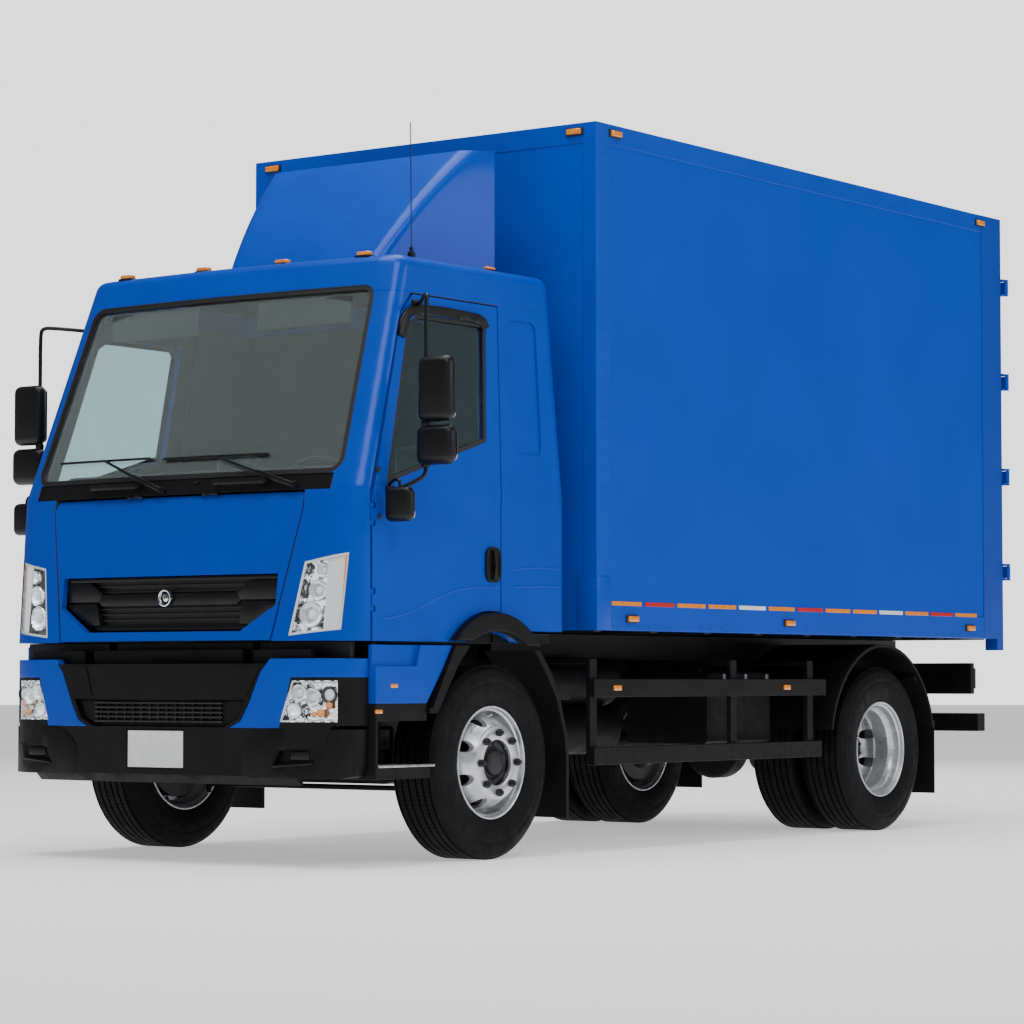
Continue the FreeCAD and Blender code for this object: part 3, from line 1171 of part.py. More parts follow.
def rear_frame():
    rear = "axle_y + body_front + body_length"
    inner = "body_half - rear_post_width"
    post = plate("rear_post", "XY_Plane",
                 [("body_half - rail_width", f"{rear} - rear_post_depth"),
                  ("body_half", f"{rear} - rear_post_depth"), ("body_half", rear),
                  (inner, rear), (inner, f"{rear} - sill_depth"),
                  ("body_half - rail_width", f"{rear} - sill_depth")], "rail_low", "body_top")
    foot = block("rear_post_foot", ("body_half - post_face", "body_half"),
                 (f"{rear} - corner_block_depth", rear), ("rear_sill_low", "rail_low"))
    pieces = [post, foot]
    pins = []
    for index in range(int(size("door_hinge_count"))):
        middle = hinge_height(index)
        low = f"{middle} - door_knuckle_height / 2"
        high = f"{middle} + door_knuckle_height / 2"
        pin_x = "body_half + door_pin_out"
        pin_y = f"{rear} + door_pin_back"
        for end, z in (("low", (f"{low} - hinge_gap - hinge_lug", f"{low} - hinge_gap")),
                       ("high", (f"{high} + hinge_gap", f"{high} + hinge_gap + hinge_lug"))):
            pieces.append(block(f"hinge_lug_{end}_{index}",
                                ("body_half - post_face / 2", pin_x),
                                (rear, pin_y), z))
            pieces.append(rod(f"hinge_boss_{end}_{index}", "z", (pin_x, pin_y, z[0]),
                              "hinge_lug", "door_knuckle_radius"))
        pieces.append(rod(f"hinge_pin_{index}", "z",
                          (pin_x, pin_y, f"{low} - hinge_gap - hinge_lug"),
                          "door_knuckle_height + 2 * hinge_gap + 2 * hinge_lug",
                          "door_pin_radius"))
    left = joined("rear_post_left", pieces)
    header = block("rear_header_beam", (f"0 - ({inner})", inner),
                   (f"{rear} - sill_depth", rear), ("body_top - rear_header", "body_top"))
    sill = block("rear_sill", (f"0 - ({inner})", inner), (f"{rear} - sill_depth", rear),
                 ("rail_low", "floor_top"))
    return node(joined("rear_frame", [left, mirrored("rear_post_right", left), header, sill]),
                "rear_frame")


def hinge_height(index):
    """The middle height of one rear door hinge."""
    count = int(size("door_hinge_count"))
    share = (2 * index + 1) / (2 * count)
    return (f"(floor_top + {share} * (body_top - rear_header - floor_top))")


def rear_door():
    """The left door leaf with its lock bars, guides, cams, handles and hinge straps."""
    rear = "axle_y + body_front + body_length"
    x = ("door_mid_gap / 2", "body_half - rear_post_width - door_side_gap")
    z = ("floor_top + door_end_gap", "body_top - rear_header - door_end_gap")
    pieces = [block("leaf", x, (f"{rear} - door_thick", rear), z)]
    for index in range(int(size("door_hinge_count"))):
        middle = hinge_height(index)
        height = (f"{middle} - door_knuckle_height / 2", f"{middle} + door_knuckle_height / 2")
        pin_x = "body_half + door_pin_out"
        pin_y = f"{rear} + door_pin_back"
        strap = block(f"strap_{index}", (f"{x[1]} - strap_foot", pin_x),
                      (f"{pin_y} - hinge_strap / 2", f"{pin_y} + hinge_strap / 2"), height)
        foot = block(f"strap_foot_{index}", (f"{x[1]} - strap_foot", x[1]),
                     (rear, f"{pin_y} + hinge_strap / 2"), height)
        knuckle = rod(f"knuckle_{index}", "z", (pin_x, pin_y, height[0]),
                      "door_knuckle_height", "door_knuckle_radius")
        bore = rod(f"knuckle_bore_{index}", "z", (pin_x, pin_y, f"{height[0]} - overrun"),
                   "door_knuckle_height + 2 * overrun", "door_pin_radius + door_pin_clearance")
        pieces.append(cut(f"strap_bored_{index}",
                          joined(f"strap_whole_{index}", [strap, foot, knuckle]), bore))
    for bar, share in enumerate(BAR_SHARES):
        middle = f"({x[0]} + {share} * ({x[1]} - ({x[0]})))"
        bar_y = f"{rear} + lock_bar_off"
        pieces.append(rod(f"lock_bar_{bar}", "z", (middle, bar_y, f"{z[0]} + door_end_gap"),
                          f"{z[1]} - ({z[0]}) - 2 * door_end_gap", "lock_bar_radius"))
        for index, height_share in enumerate(GUIDE_SHARES):
            height = f"({z[0]} + {height_share} * ({z[1]} - ({z[0]})))"
            pieces.append(block(f"guide_{bar}_{index}",
                                (f"{middle} - lock_guide_width / 2",
                                 f"{middle} + lock_guide_width / 2"),
                                (rear, f"{rear} + lock_bar_off + lock_bar_radius"),
                                (f"{height} - lock_guide_height / 2",
                                 f"{height} + lock_guide_height / 2")))
        pieces.append(block(f"lock_handle_{bar}", (middle, f"{middle} + lock_handle_length"),
                            (f"{rear} + lock_bar_off", f"{rear} + lock_bar_off"
                             " + lock_handle_thick"),
                            (f"floor_top + lock_handle_height - {bar} * lock_handle_step",
                             f"floor_top + lock_handle_height - {bar} * lock_handle_step"
                             " + lock_handle_width")))
    return joined("rear_door_left", pieces)


# Cab shell, split where its real panels meet

def arch_disc(grow):
    """The round that the outer edge of the front wheel arch follows."""
    return Part.makeCylinder(size("arch_radius") + grow, size("flare_out"),
                             Vector(0, size("axle_y") + size("arch_trail"),
                                    size("arch_height")), Vector(1, 0, 0))


def arch_hole():
    """The round that the inner edge of the front wheel arch follows."""
    return Part.makeCylinder(size("arch_inner_radius"), size("flare_out"),
                             Vector(0, size("axle_y") + size("arch_trail"),
                                    size("arch_inner_height")), Vector(1, 0, 0))


def door_outline():
    """The door's outline before its arch is cut."""
    front = -size("door_front")
    return [(front, size("door_low")), (front, size("door_belt")),
            (-size("door_pillar"), size("door_pillar_high")),
            (-size("door_head_front"), size("door_high")),
            (size("door_rear_high"), size("door_high")),
            (size("door_rear_low"), size("door_belt")),
            (size("door_rear_low"), size("door_low"))]


def window_outline():
    return [(-size("window_front"), size("window_front_low")),
            (size("window_rear_low"), size("window_rear_low_z")),
            (size("window_rear_high"), size("window_high")),
            (-size("window_head_front"), size("window_high")),
            (-size("window_corner"), size("window_corner_z"))]


def screen_prism():
    low = size("screen_low_half")
    high = size("screen_high_half")
    outline = [(-low, size("screen_low")), (low, size("screen_low")),
               (high, size("screen_high")), (-high, size("screen_high"))]
    prism = front_prism(outline, size("front_overhang"), -size("screen_reach"))
    edges = [edge for edge in prism.Edges if ALONG_Y(edge)]
    return prism.makeFillet(size("screen_round"), edges)


def flap_prism(gap):
    low = size("flap_low_half") + gap
    high = size("flap_high_half") + gap
    shoulder = size("flap_shoulder")
    outline = [(-low, size("flap_low") - 2 * gap), (low, size("flap_low") - 2 * gap),
               (high, shoulder), (high, size("flap_high") + gap),
               (-high, size("flap_high") + gap), (-high, shoulder)]
    return front_prism(outline, size("front_overhang"), -size("flap_reach"))


def grille_prism():
    low = size("grille_low_half")
    high = size("grille_high_half")
    outline = [(-low, size("grille_low")), (low, size("grille_low")),
               (high, size("grille_mid")), (high, size("grille_high")),
               (-high, size("grille_high")), (-high, size("grille_mid"))]
    return front_prism(outline, size("front_overhang"), -size("flap_reach"))


def headlamp_prism():
    outline = [(size("lamp_in_low_x"), size("lamp_in_low")),
               (size("lamp_out_low_x"), size("lamp_out_low")),
               (size("lamp_out_high_x"), size("lamp_out_high")),
               (size("lamp_in_high_x"), size("lamp_in_high"))]
    return front_prism(outline, size("front_overhang"), -size("lamp_rear_lead"))


def hinge(centre, along, kind):
    """A pin hinge: fixed ends with their pin, moving barrel, and room for each in the other."""
    radius = size(kind + "_radius")
    length = size(kind + "_length")
    end = size(kind + "_end")
    pin = size(kind + "_pin")
    gap = size("hinge_gap")
    room = size(kind + "_room")
    start = centre - along * (length / 2)

    def barrel(begin, finish, wide):
        return Part.makeCylinder(wide, finish - begin, start + along * begin, along)

    fixed = barrel(0, length, pin).multiFuse([barrel(0, end, radius),
                                              barrel(length - end, length, radius)])
    moving = barrel(end + gap, length - end - gap, radius)
    moving = moving.cut(barrel(0, length, pin + size("kingpin_clearance")))
    room_for_fixed = barrel(0, length, pin + size("kingpin_clearance")).multiFuse([
        barrel(-gap, end + gap, radius + room),
        barrel(length - end - gap, length + gap, radius + room)])
    room_for_moving = barrel(end, length - end, radius + gap)
    return fixed, moving, room_for_fixed, room_for_moving


def cab_door_hinges():
    """The left door's two hinges, each with a web to the front pillar."""
    hinges = []
    for level in ("cab_hinge_low", "cab_hinge_high"):
        centre = Vector(size("cab_half") - size("hinge_inset"),
                        size("axle_y") - size("door_front") + size("hinge_setback"),
                        size(level))
        fixed, moving, room, free = hinge(centre, Vector(0, 0, 1), "cab_hinge")
        web = size("cab_hinge_web")
        reach = size("front_gap") + size("hinge_setback") + web
        half = size("cab_hinge_length") / 2
        for low, high in ((-half, -half + size("cab_hinge_end")),
                          (half - size("cab_hinge_end"), half)):
            fixed = fixed.fuse(Part.makeBox(2 * web, reach, high - low,
                                            centre + Vector(-web, -reach, low)))
        hinges.append((fixed, moving, room, free))
    return hinges


def flap_hinges():
    """The front flap's two hinges at its top edge."""
    front = size("cab_front") + ((size("cab_belt_front") - size("cab_front"))
                                 * (size("flap_high") - size("cab_low"))
                                 / (size("cab_belt") - size("cab_low")))
    centre = Vector(size("flap_hinge_x"), size("axle_y") - front + size("flap_hinge_depth"),
                    size("flap_high") + size("panel_gap") / 2)
    left = hinge(centre, Vector(1, 0, 0), "flap_hinge")
    return [left, [turned_over(piece) for piece in left]]


def cab_shell_nodes():
    wall = size("cab_wall")
    gap = size("panel_gap")
    far = size("cab_half") + size("overrun")
    seam = size("door_high") + gap
    low = size("cab_low") - size("overrun")
    high = size("cab_top") + size("overrun")
    lead = -size("front_overhang")
    back = size("cab_rear") + size("overrun")
    shell = cab_shell(0, wall)
    screen = screen_prism()
    half = size("side_in")

    roof = shell.common(slab((-far, far), (lead, back), (seam, high))).cut(screen)
    feature("cab_roof", roof)

    rear = shell.common(slab((-far, far), (size("rear_seam"), back),
                             (size("cab_rear_low"), seam)))
    feature("cab_rear_wall", rear)

    side = [(size("door_rear_low") + gap, size("cab_rear_low")),
            (size("door_rear_low") + gap, size("door_belt")),
            (size("door_rear_high") + gap, size("door_high") + gap),
            (size("rear_seam"), seam), (size("rear_seam"), size("cab_rear_low"))]
    arch = arch_disc(0).common(slab((half, far), (lead, back), (size("cab_low"), seam)))
    room = side_prism(side, half, far).fuse(arch).cut(arch_hole())
    left = shell.common(room)
    recess = side_prism([(size("recess_front_low"), size("recess_low")),
                         (size("recess_rear_low"), size("recess_low")),
                         (size("recess_rear_high"), size("recess_high")),
                         (size("recess_front_high"), size("recess_high"))], half, far)
    recess = recess.makeFillet(size("recess_round"),
                               [edge for edge in recess.Edges if ALONG_X(edge)])
    left = left.cut(recess.cut(cab_form(size("recess_depth"))))
    feature("cab_sides", Part.makeCompound([left, turned_over(left)]))

    door_left = shell.common(side_prism(door_outline(), half, far)).cut(screen)
    door_left = door_left.cut(arch_disc(gap))
    window = side_prism(window_outline(), half, far)
    door_left = door_left.cut(window).fuse(handle_shape())
    hinges = cab_door_hinges()
    for fixed, moving, room, free in hinges:
        door_left = door_left.cut(room).fuse(moving)
    feature("door_left", door_left)
    feature("door_right", turned_over(door_left))
    glass = cab_shell(size("glass_inset"), size("glass_inset") + size("glass_thick"))
    pane = glass.common(window)
    feature("door_glass_left", pane)
    feature("door_glass_right", turned_over(pane))

    feature("windshield", glass.common(screen))

    front = [(lead, size("cab_low")), (-size("door_front") - size("front_gap"), size("cab_low")),
             (-size("door_front") - size("front_gap"),
              size("door_belt") + size("pillar_rise")),
             (-size("door_pillar") - size("front_gap"), size("door_pillar_high")),
             (-size("door_head_front") - size("front_gap"), seam), (lead, seam)]
    corner = shell.common(side_prism(front, 0, far)).cut(screen).cut(flap_prism(gap))
    corner = corner.cut(headlamp_prism())
    cowl_box = slab((-size("cowl_half"), size("cowl_half")), (lead, -size("lamp_rear_lead")),
                    (size("flap_high") + gap, size("screen_low")))
    corner = corner.cut(cowl_box)
    pillar = cab_form(wall - gap).common(side_prism(
        [(-size("door_front") - size("front_gap") - size("pillar_depth"), size("cab_low")),
         (-size("door_front") - size("front_gap"), size("cab_low")),
         (-size("door_front") - size("front_gap"), size("door_belt")),
         (-size("door_front") - size("front_gap") - size("pillar_depth"),
          size("door_belt"))], size("pillar_in"), far))
    corner = corner.fuse(pillar.cut(headlamp_prism()))
    corner = corner.multiFuse([fixed for fixed, moving, room, free in hinges])
    feature("cab_corners", Part.makeCompound([corner, turned_over(corner)]))

    lamp = cab_shell(size("lamp_inset"), wall).common(headlamp_prism())
    feature("headlamps", Part.makeCompound([lamp, turned_over(lamp)]))

    cowl = cab_shell(size("lamp_inset"), wall).common(cowl_box)
    for fixed, moving, room, free in flap_hinges():
        cowl = cowl.cut(free).fuse(fixed)
    feature("cowl", cowl)

    firewall = cab_shell(size("firewall_inset"), size("firewall_inset")
                         + size("firewall_wall"))
    wall_x = size("firewall_half")
    firewall = firewall.common(slab((-wall_x, wall_x), (lead, -size("firewall_rear")),
                                    (size("cab_low") + size("cab_floor_thick"),
                                     size("screen_low"))))
    shelf = cab_form(wall).common(slab((-wall_x, wall_x),
                                       (lead, -size("firewall_rear")),
                                       (size("cowl_low"), size("cowl_low") + gap)))
    firewall = firewall.fuse(shelf.cut(cab_form(size("firewall_inset"))))
    feature("cab_firewall", firewall)

    floor_z = (size("cab_low"), size("cab_low") + size("cab_floor_thick"))
    narrow = cab_form(wall + gap)
    wide = cab_form(wall)
    pillar_in = size("pillar_in")
    front_part = wide.common(slab((-pillar_in, pillar_in),
                                  (lead, -size("door_front") - size("front_gap")), floor_z))
    rear_part = wide.common(slab((-far, far), (size("door_rear_low") + gap, back), floor_z))
    floor = narrow.common(slab((-far, far), (-size("door_front") - size("front_gap"), back),
                               floor_z))
    floor = floor.fuse([front_part, rear_part])
    rear_cut = slab((-far, far), (size("rear_seam"), back), (low, size("cab_rear_low")))
    lamp_room = headlamp_prism()
    floor = floor.cut([rear_cut, lamp_room, turned_over(lamp_room)])
    ears = []
    for sign in (-1, 1):
        inner = size("pivot_lug_x") + size("pivot_lug_width") + size("knuckle_gap")
        x = sorted((sign * inner, sign * (inner + size("pivot_ear_width"))))
        knee = size("pivot_height") + size("pivot_ear_knee")
        ear_rear = -size("pivot_lead") + size("pivot_ear_trail")
        ear = slab(x, (-size("pivot_lead"), ear_rear),
                   (size("pivot_height") - size("pivot_lug_radius"), knee))
        ear = ear.fuse(slab(x, (-size("pivot_lead") + size("pivot_ear_inset"), ear_rear),
                            (knee, floor_z[1])))
        middle = Vector(x[0], size("axle_y") - size("pivot_lead"), size("pivot_height"))
        boss = Part.makeCylinder(size("pivot_lug_radius"), x[1] - x[0], middle, Vector(1, 0, 0))
        pin_from = Vector(sorted((sign * size("pivot_lug_x"), x[0], x[1]))[0],
                          middle.y, middle.z)
        pin = Part.makeCylinder(size("pivot_pin_radius"),
                                size("pivot_lug_width") + size("knuckle_gap")
                                + size("pivot_ear_width"), pin_from, Vector(1, 0, 0))
        ears += [ear, boss, pin]
    floor = floor.fuse(ears)
    feature("cab_floor", floor.removeSplitter())
    return shell


def handle_shape():
    """A recessed pull near the rear edge of the door."""
    x = size("cab_half")
    return slab((x - size("handle_sink"), x + size("handle_depth")),
                (size("handle_rear") - size("handle_length"), size("handle_rear")),
                (size("handle_height") - size("handle_width") / 2,
                 size("handle_height") + size("handle_width") / 2))


def flap_nodes():
    skin = cab_shell(0, size("flap_skin")).common(flap_prism(0))
    grille = grille_prism()
    skin = skin.cut(grille)
    for fixed, moving, room, free in flap_hinges():
        skin = skin.cut(room).fuse(moving)
    feature("front_flap", skin)
    back = cab_shell(size("grille_back"), size("flap_skin")).common(grille)
    bars = []
    bar_layer = cab_shell(size("grille_bar_inset"), size("grille_back")).common(grille)
    far = size("cab_half")
    for share in GRILLE_SHARES:
        middle = size("grille_low") + share * (size("grille_high") - size("grille_low"))
        bars.append(bar_layer.common(slab((-far, far), (-size("front_overhang"), 0),
                                          (middle - size("grille_bar") / 2,
                                           middle + size("grille_bar") / 2))))
    feature("upper_grille", back.multiFuse(bars))


def flares():
    """Arch trims that the cab carries over its front wheels."""
    far = size("flare_out")
    keep = slab((size("cab_half"), far), (-size("front_overhang"), 0),
                (size("flare_low"), size("cab_belt")))
    keep = keep.fuse(slab((size("cab_half"), far), (0, size("body_front")),
                          (size("flare_rear_low"), size("cab_belt"))))
    left = arch_disc(0).cut(arch_hole()).common(keep)
    left = left.makeFillet(size("flare_round"), [
        edge for edge in left.Edges
        if all(abs(vertex.X - far) < 1e-6 for vertex in edge.Vertexes)])
    feature("arch_flares", Part.makeCompound([left, turned_over(left)]))


def fairing():
    """The air deflector on the roof: a scooped front sheet and two side wings."""
    axle = size("axle_y")
    corner = size("fairing_corner")

    def section(z, nose, front, inset):
        tail = size("fairing_high_half") - inset
        nose = nose - inset
        front = axle + front + inset
        rear = axle + size("fairing_rear") + 2 * inset
        run = corner / (rear - front)
        start = Vector(nose - corner, front, z)
        knee = Vector(nose, front, z)
        end = Vector(nose + (tail - nose) * run, front + corner, z)
        back = Vector(tail, rear, z)
        left = [start, knee, end, back]
        right = [Vector(-point.x, point.y, z) for point in left]

        def bend(poles):
            curve = Part.BezierCurve()
            curve.setPoles(poles)
            return curve.toShape()

        return Part.Wire([Part.makeLine(right[0], left[0]), bend(left[:3]),
                          Part.makeLine(left[2], left[3]), Part.makeLine(left[3], right[3]),
                          Part.makeLine(right[3], right[2]), bend(right[2::-1])])

    def form(inset):
        low = size("cab_top") - size("cab_roof_round")
        top = size("fairing_high") - inset
        middle = (low + top) / 2
        half = (size("fairing_low_half") + size("fairing_nose_high")) / 2
        front = (size("fairing_lip") - size("fairing_front")) / 2
        return Part.makeLoft([section(low, size("fairing_low_half"),
                                      -size("fairing_front"), inset),
                              section(middle, half, front - size("fairing_swell"), inset),
                              section(top, size("fairing_nose_high"), size("fairing_lip"),
                                      inset)], True, False)

    shell = form(0).cut(form(size("fairing_wall")))
    feature("roof_fairing", shell.cut(cab_form(0)))


def inside():
    """Dashboard, seats and steering column seen through the glass."""
    dash_form = cab_form(size("firewall_inset") + size("firewall_wall"))
    dash = dash_form.common(slab((-size("dash_half"), size("dash_half")),
                                 (-size("front_overhang"), -size("dash_rear")),
                                 (size("dash_low"), size("dash_high"))))
    column_top = wheel_centre()
    axis = wheel_axis()
    foot = column_top - axis * (size("column_gap") + size("column_length"))
    column = Part.makeCylinder(size("column_radius"), size("column_length"), foot, axis)
    feature("dashboard", dash.fuse(column))
    seats = []
    for sign in (-1, 1):
        x = (sign * size("seat_x") - size("seat_width") / 2,
             sign * size("seat_x") + size("seat_width") / 2)
        y = (-size("seat_front_lead"), -size("seat_front_lead") + size("seat_depth"))
        base = slab((x[0] + size("seat_base_inset"), x[1] - size("seat_base_inset")),
                    (y[0] + size("seat_base_inset"), y[1]),
                    (size("cab_low") + size("cab_floor_thick"), size("seat_low")))
        cushion = slab(x, y, (size("seat_low"), size("seat_low") + size("seat_thick")))
        back = slab(x, (y[1] - size("seat_back_thick"), y[1]),
                    (size("seat_low") + size("seat_thick"),
                     size("seat_low") + size("seat_thick") + size("seat_back_height")))
        seats.append(base.fuse([cushion, back]))
    tunnel = slab((-size("tunnel_half"), size("tunnel_half")),
                  (-size("dash_rear"), size("rear_seam") - size("overrun")),
                  (size("cab_low") + size("cab_floor_thick"), size("tunnel_high")))
    feature("seats", Part.makeCompound(seats + [tunnel]))


def wheel_axis():
    """The steering column's direction, from the floor up to the wheel."""
    lean = Rotation(Vector(1, 0, 0), -size("wheel_lean"))
    return lean.multVec(Vector(0, 0, 1))


def wheel_centre():
    return Vector(size("seat_x"), size("axle_y") - size("wheel_lead"), size("wheel_height"))


def steering_wheel():
    centre = wheel_centre()
    axis = wheel_axis()
    rim_ring = Part.makeTorus(size("wheel_rim_radius"), size("wheel_grip_radius"), centre, axis)
    hub_piece = Part.makeCylinder(size("wheel_hub_radius"), size("wheel_hub_height"),
                                  centre - axis * (size("wheel_hub_height") / 2), axis)
    pieces = [hub_piece]
    across = Vector(1, 0, 0)
    for turn in SPOKE_TURNS:
        way = Rotation(axis, turn).multVec(across)
        spoke = Part.makeBox(size("wheel_rim_radius"), size("spoke_width"), size("spoke_thick"),
                             Vector(0, -size("spoke_width") / 2, -size("spoke_thick") / 2))
        frame = Rotation(way, axis.cross(way), axis, "XZY")
        spoke.Placement = FreeCAD.Placement(centre, frame).multiply(spoke.Placement)
        pieces.append(spoke)
    neck = Part.makeCylinder(size("column_radius"), size("wheel_hub_height"),
                             centre - axis * size("wheel_hub_height"), axis)
    pieces.append(neck)
    feature("steering_wheel", rim_ring.multiFuse(pieces))


def mirror():
    """The left mirror: two heads on a bent tube that the door carries."""
    axle = size("axle_y")
    x = size("mirror_x")
    y = axle - size("mirror_lead")
    heads = []
    for low, high in (("mirror_low", "mirror_high"), ("mirror_lower_low", "mirror_lower_high")):
        head = Part.makeBox(size("mirror_width"), size("mirror_depth"), size(high) - size(low),
                            Vector(x - size("mirror_width") / 2, y - size("mirror_depth") / 2,
                                   size(low)))
        heads.append(head.makeFillet(size("mirror_round"), head.Edges))
    tube_x = size("mirror_tube_x")
    radius = size("mirror_tube")
    side_low = size("cab_half")
    points = [Vector(side_low - radius, y, size("mirror_arm_low")),
              Vector(tube_x, y, size("mirror_arm_low")),
              Vector(tube_x, y, size("mirror_arm_high")),
              Vector(size("mirror_top_x"), y, size("mirror_arm_high"))]
    arms = []
    for start, end in zip(points, points[1:]):
        arms.append(Part.makeCylinder(radius, (end - start).Length, start, end - start))
        arms.append(Part.makeSphere(radius, end))
    foot = Part.makeBox(size("mirror_foot_thick"), size("mirror_foot"), size("mirror_foot"),
                        Vector(side_low, y - size("mirror_foot") / 2,
                               size("mirror_arm_low") - size("mirror_foot") / 2))
    whole = heads[0].multiFuse([heads[1], foot] + arms)
    return whole.cut(cab_form(0))


def lamps(bumper_glass):
    """Bumper lamps, tail lamps and marker lamps on the load body."""
    axle = size("axle_y")
    solids = [bumper_glass, turned_over(bumper_glass)]
    rear = size("lamp_bar_rear")
    middle = (size("lamp_bar_low") + size("lamp_bar_high")) / 2
    tail = slab((size("lamp_bar_half") - size("tail_lamp_width"), size("lamp_bar_half")),
                (rear, rear + size("tail_lamp_thick")),
                (middle - size("tail_lamp_height") / 2, middle + size("tail_lamp_height") / 2))
    solids += [tail, turned_over(tail)]
    front = size("body_front")
    marker = slab((size("body_half") - size("marker_width") - size("post_face") / 2,
                   size("body_half") - size("post_face") / 2),
                  (front - size("marker_thick"), front),
                  (size("body_top") - size("top_rail") / 2 - size("marker_height") / 2,
                   size("body_top") - size("top_rail") / 2 + size("marker_height") / 2))
    solids += [marker, turned_over(marker)]
    feature("lamps", Part.makeCompound(solids))


def check_document():
    """Stop if any object failed or any node has no sound solid."""
    for item in doc.Objects:
        if "Invalid" in item.State or "Error" in item.State:
            raise RuntimeError(f"{item.Label} failed: {item.State}")
    for name, item in nodes.items():
        shape = item.Shape
        if shape.isNull() or not shape.isValid() or not shape.Solids:
            raise RuntimeError(f"{name} has no sound solid")


def write_parts():
    os.makedirs("parts", exist_ok=True)
    for name, item in nodes.items():
        item.Shape.exportStep(os.path.join("parts", name + ".step"))


def main():
    make_sheet()
    chassis_frame()
    engine_block()
    front_axle()
    rear_axle()
    left = knuckle()
    node(left, "knuckle_left")
    node(mirrored("knuckle_right", left), "knuckle_right")
    tie_rod()
    wheels()
    fuel_tank()
    frame_boxes()
    silencer()
    side_guards()
    glass = bumper()
    steps()
    mudguards()
    underrun()
    body_floor()
    body_walls()
    rear_frame()
    left = rear_door()
    node(left, "rear_door_left")
    node(mirrored("rear_door_right", left), "rear_door_right")
    cab_shell_nodes()
    flap_nodes()
    flares()
    fairing()
    inside()
    steering_wheel()
    left = mirror()
    feature("mirror_left", left)
    feature("mirror_right", turned_over(left))
    lamps(glass)
    doc.recompute()
    check_document()
    write_parts()


main()
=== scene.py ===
import json
import math

import bmesh
import bpy
from bpy.props import FloatProperty, FloatVectorProperty, IntProperty, PointerProperty
from mathutils import Matrix, Vector
from mathutils.bvhtree import BVHTree


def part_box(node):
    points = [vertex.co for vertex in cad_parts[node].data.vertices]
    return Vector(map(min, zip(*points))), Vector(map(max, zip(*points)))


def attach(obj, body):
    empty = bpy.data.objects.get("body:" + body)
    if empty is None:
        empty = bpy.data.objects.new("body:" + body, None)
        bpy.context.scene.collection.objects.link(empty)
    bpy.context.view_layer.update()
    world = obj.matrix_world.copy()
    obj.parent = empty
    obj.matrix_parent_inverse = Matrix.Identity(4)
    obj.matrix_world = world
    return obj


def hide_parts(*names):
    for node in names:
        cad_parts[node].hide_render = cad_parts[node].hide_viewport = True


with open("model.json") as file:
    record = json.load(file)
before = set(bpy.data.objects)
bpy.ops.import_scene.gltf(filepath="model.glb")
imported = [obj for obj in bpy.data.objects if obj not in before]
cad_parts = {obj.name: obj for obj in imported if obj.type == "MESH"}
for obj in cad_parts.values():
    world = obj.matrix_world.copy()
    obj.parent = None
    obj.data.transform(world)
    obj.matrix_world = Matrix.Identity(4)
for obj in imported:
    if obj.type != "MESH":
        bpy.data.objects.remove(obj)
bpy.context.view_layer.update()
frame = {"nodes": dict(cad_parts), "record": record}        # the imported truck, in metres; it faces -Y and its left side is +X

bl_info = {
    "name": "Box Truck",
    "version": (1, 0, 0),
    "blender": (4, 5, 0),
    "location": "View3D > Sidebar > Box Truck",
    "description": "Dresses a box truck: paint, glass, wheels, lamps, trim and cab interior",
    "category": "Object",
}

AXLE = {"front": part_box("tyre_front_left"), "rear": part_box("tyres_rear_left")}
TYRE_RADIUS = (AXLE["front"][1].z - AXLE["front"][0].z) / 2
FRONT_AXLE = (AXLE["front"][0].y + AXLE["front"][1].y) / 2
REAR_AXLE = (AXLE["rear"][0].y + AXLE["rear"][1].y) / 2
SIDES = (("left", 1), ("right", -1))


# Sizes and colours that a user would change

class TruckSizes(bpy.types.PropertyGroup):
    tread_depth: FloatProperty(name="Tread depth", description="Depth of the tyre grooves",
                               default=0.012, unit="LENGTH")
    tread_blocks: IntProperty(name="Tread steps", description="Steps round each tyre",
                              default=132, min=48, max=180)
    nut_circle: FloatProperty(name="Nut circle", description="Radius of the wheel nut circle",
                              default=0.1375, unit="LENGTH")
    nut_count: IntProperty(name="Wheel nuts", description="Nuts on each wheel", default=8)
    wiper_length: FloatProperty(name="Wiper length", description="Length of a wiper blade",
                                default=0.62, unit="LENGTH")
    tape_height: FloatProperty(name="Tape height", description="Height of the reflective tape",
                               default=0.021, unit="LENGTH")


class TruckColours(bpy.types.PropertyGroup):
    paint: FloatVectorProperty(name="Paint", description="Blue of the cab and the body",
                               subtype="COLOR", size=3, default=(0.0, 0.055, 0.45))
    rubber: FloatVectorProperty(name="Rubber", description="Black of the tyres",
                                subtype="COLOR", size=3, default=(0.0055, 0.0055, 0.006))
    plastic: FloatVectorProperty(name="Plastic", description="Black of the plastic trim",
                                 subtype="COLOR", size=3, default=(0.007, 0.007, 0.0075))
    steel: FloatVectorProperty(name="Wheel silver", description="Silver of the wheels",
                               subtype="COLOR", size=3, default=(0.62, 0.63, 0.65))
    amber: FloatVectorProperty(name="Amber", description="Amber of the marker lamps",
                               subtype="COLOR", size=3, default=(0.85, 0.26, 0.01))
    red: FloatVectorProperty(name="Red", description="Red of the tail lamps",
                             subtype="COLOR", size=3, default=(0.55, 0.01, 0.01))
    floor: FloatVectorProperty(name="Floor", description="Colour of the studio floor",
                               subtype="COLOR", size=3, default=(0.86, 0.86, 0.86))


# Materials

MATERIALS = {}


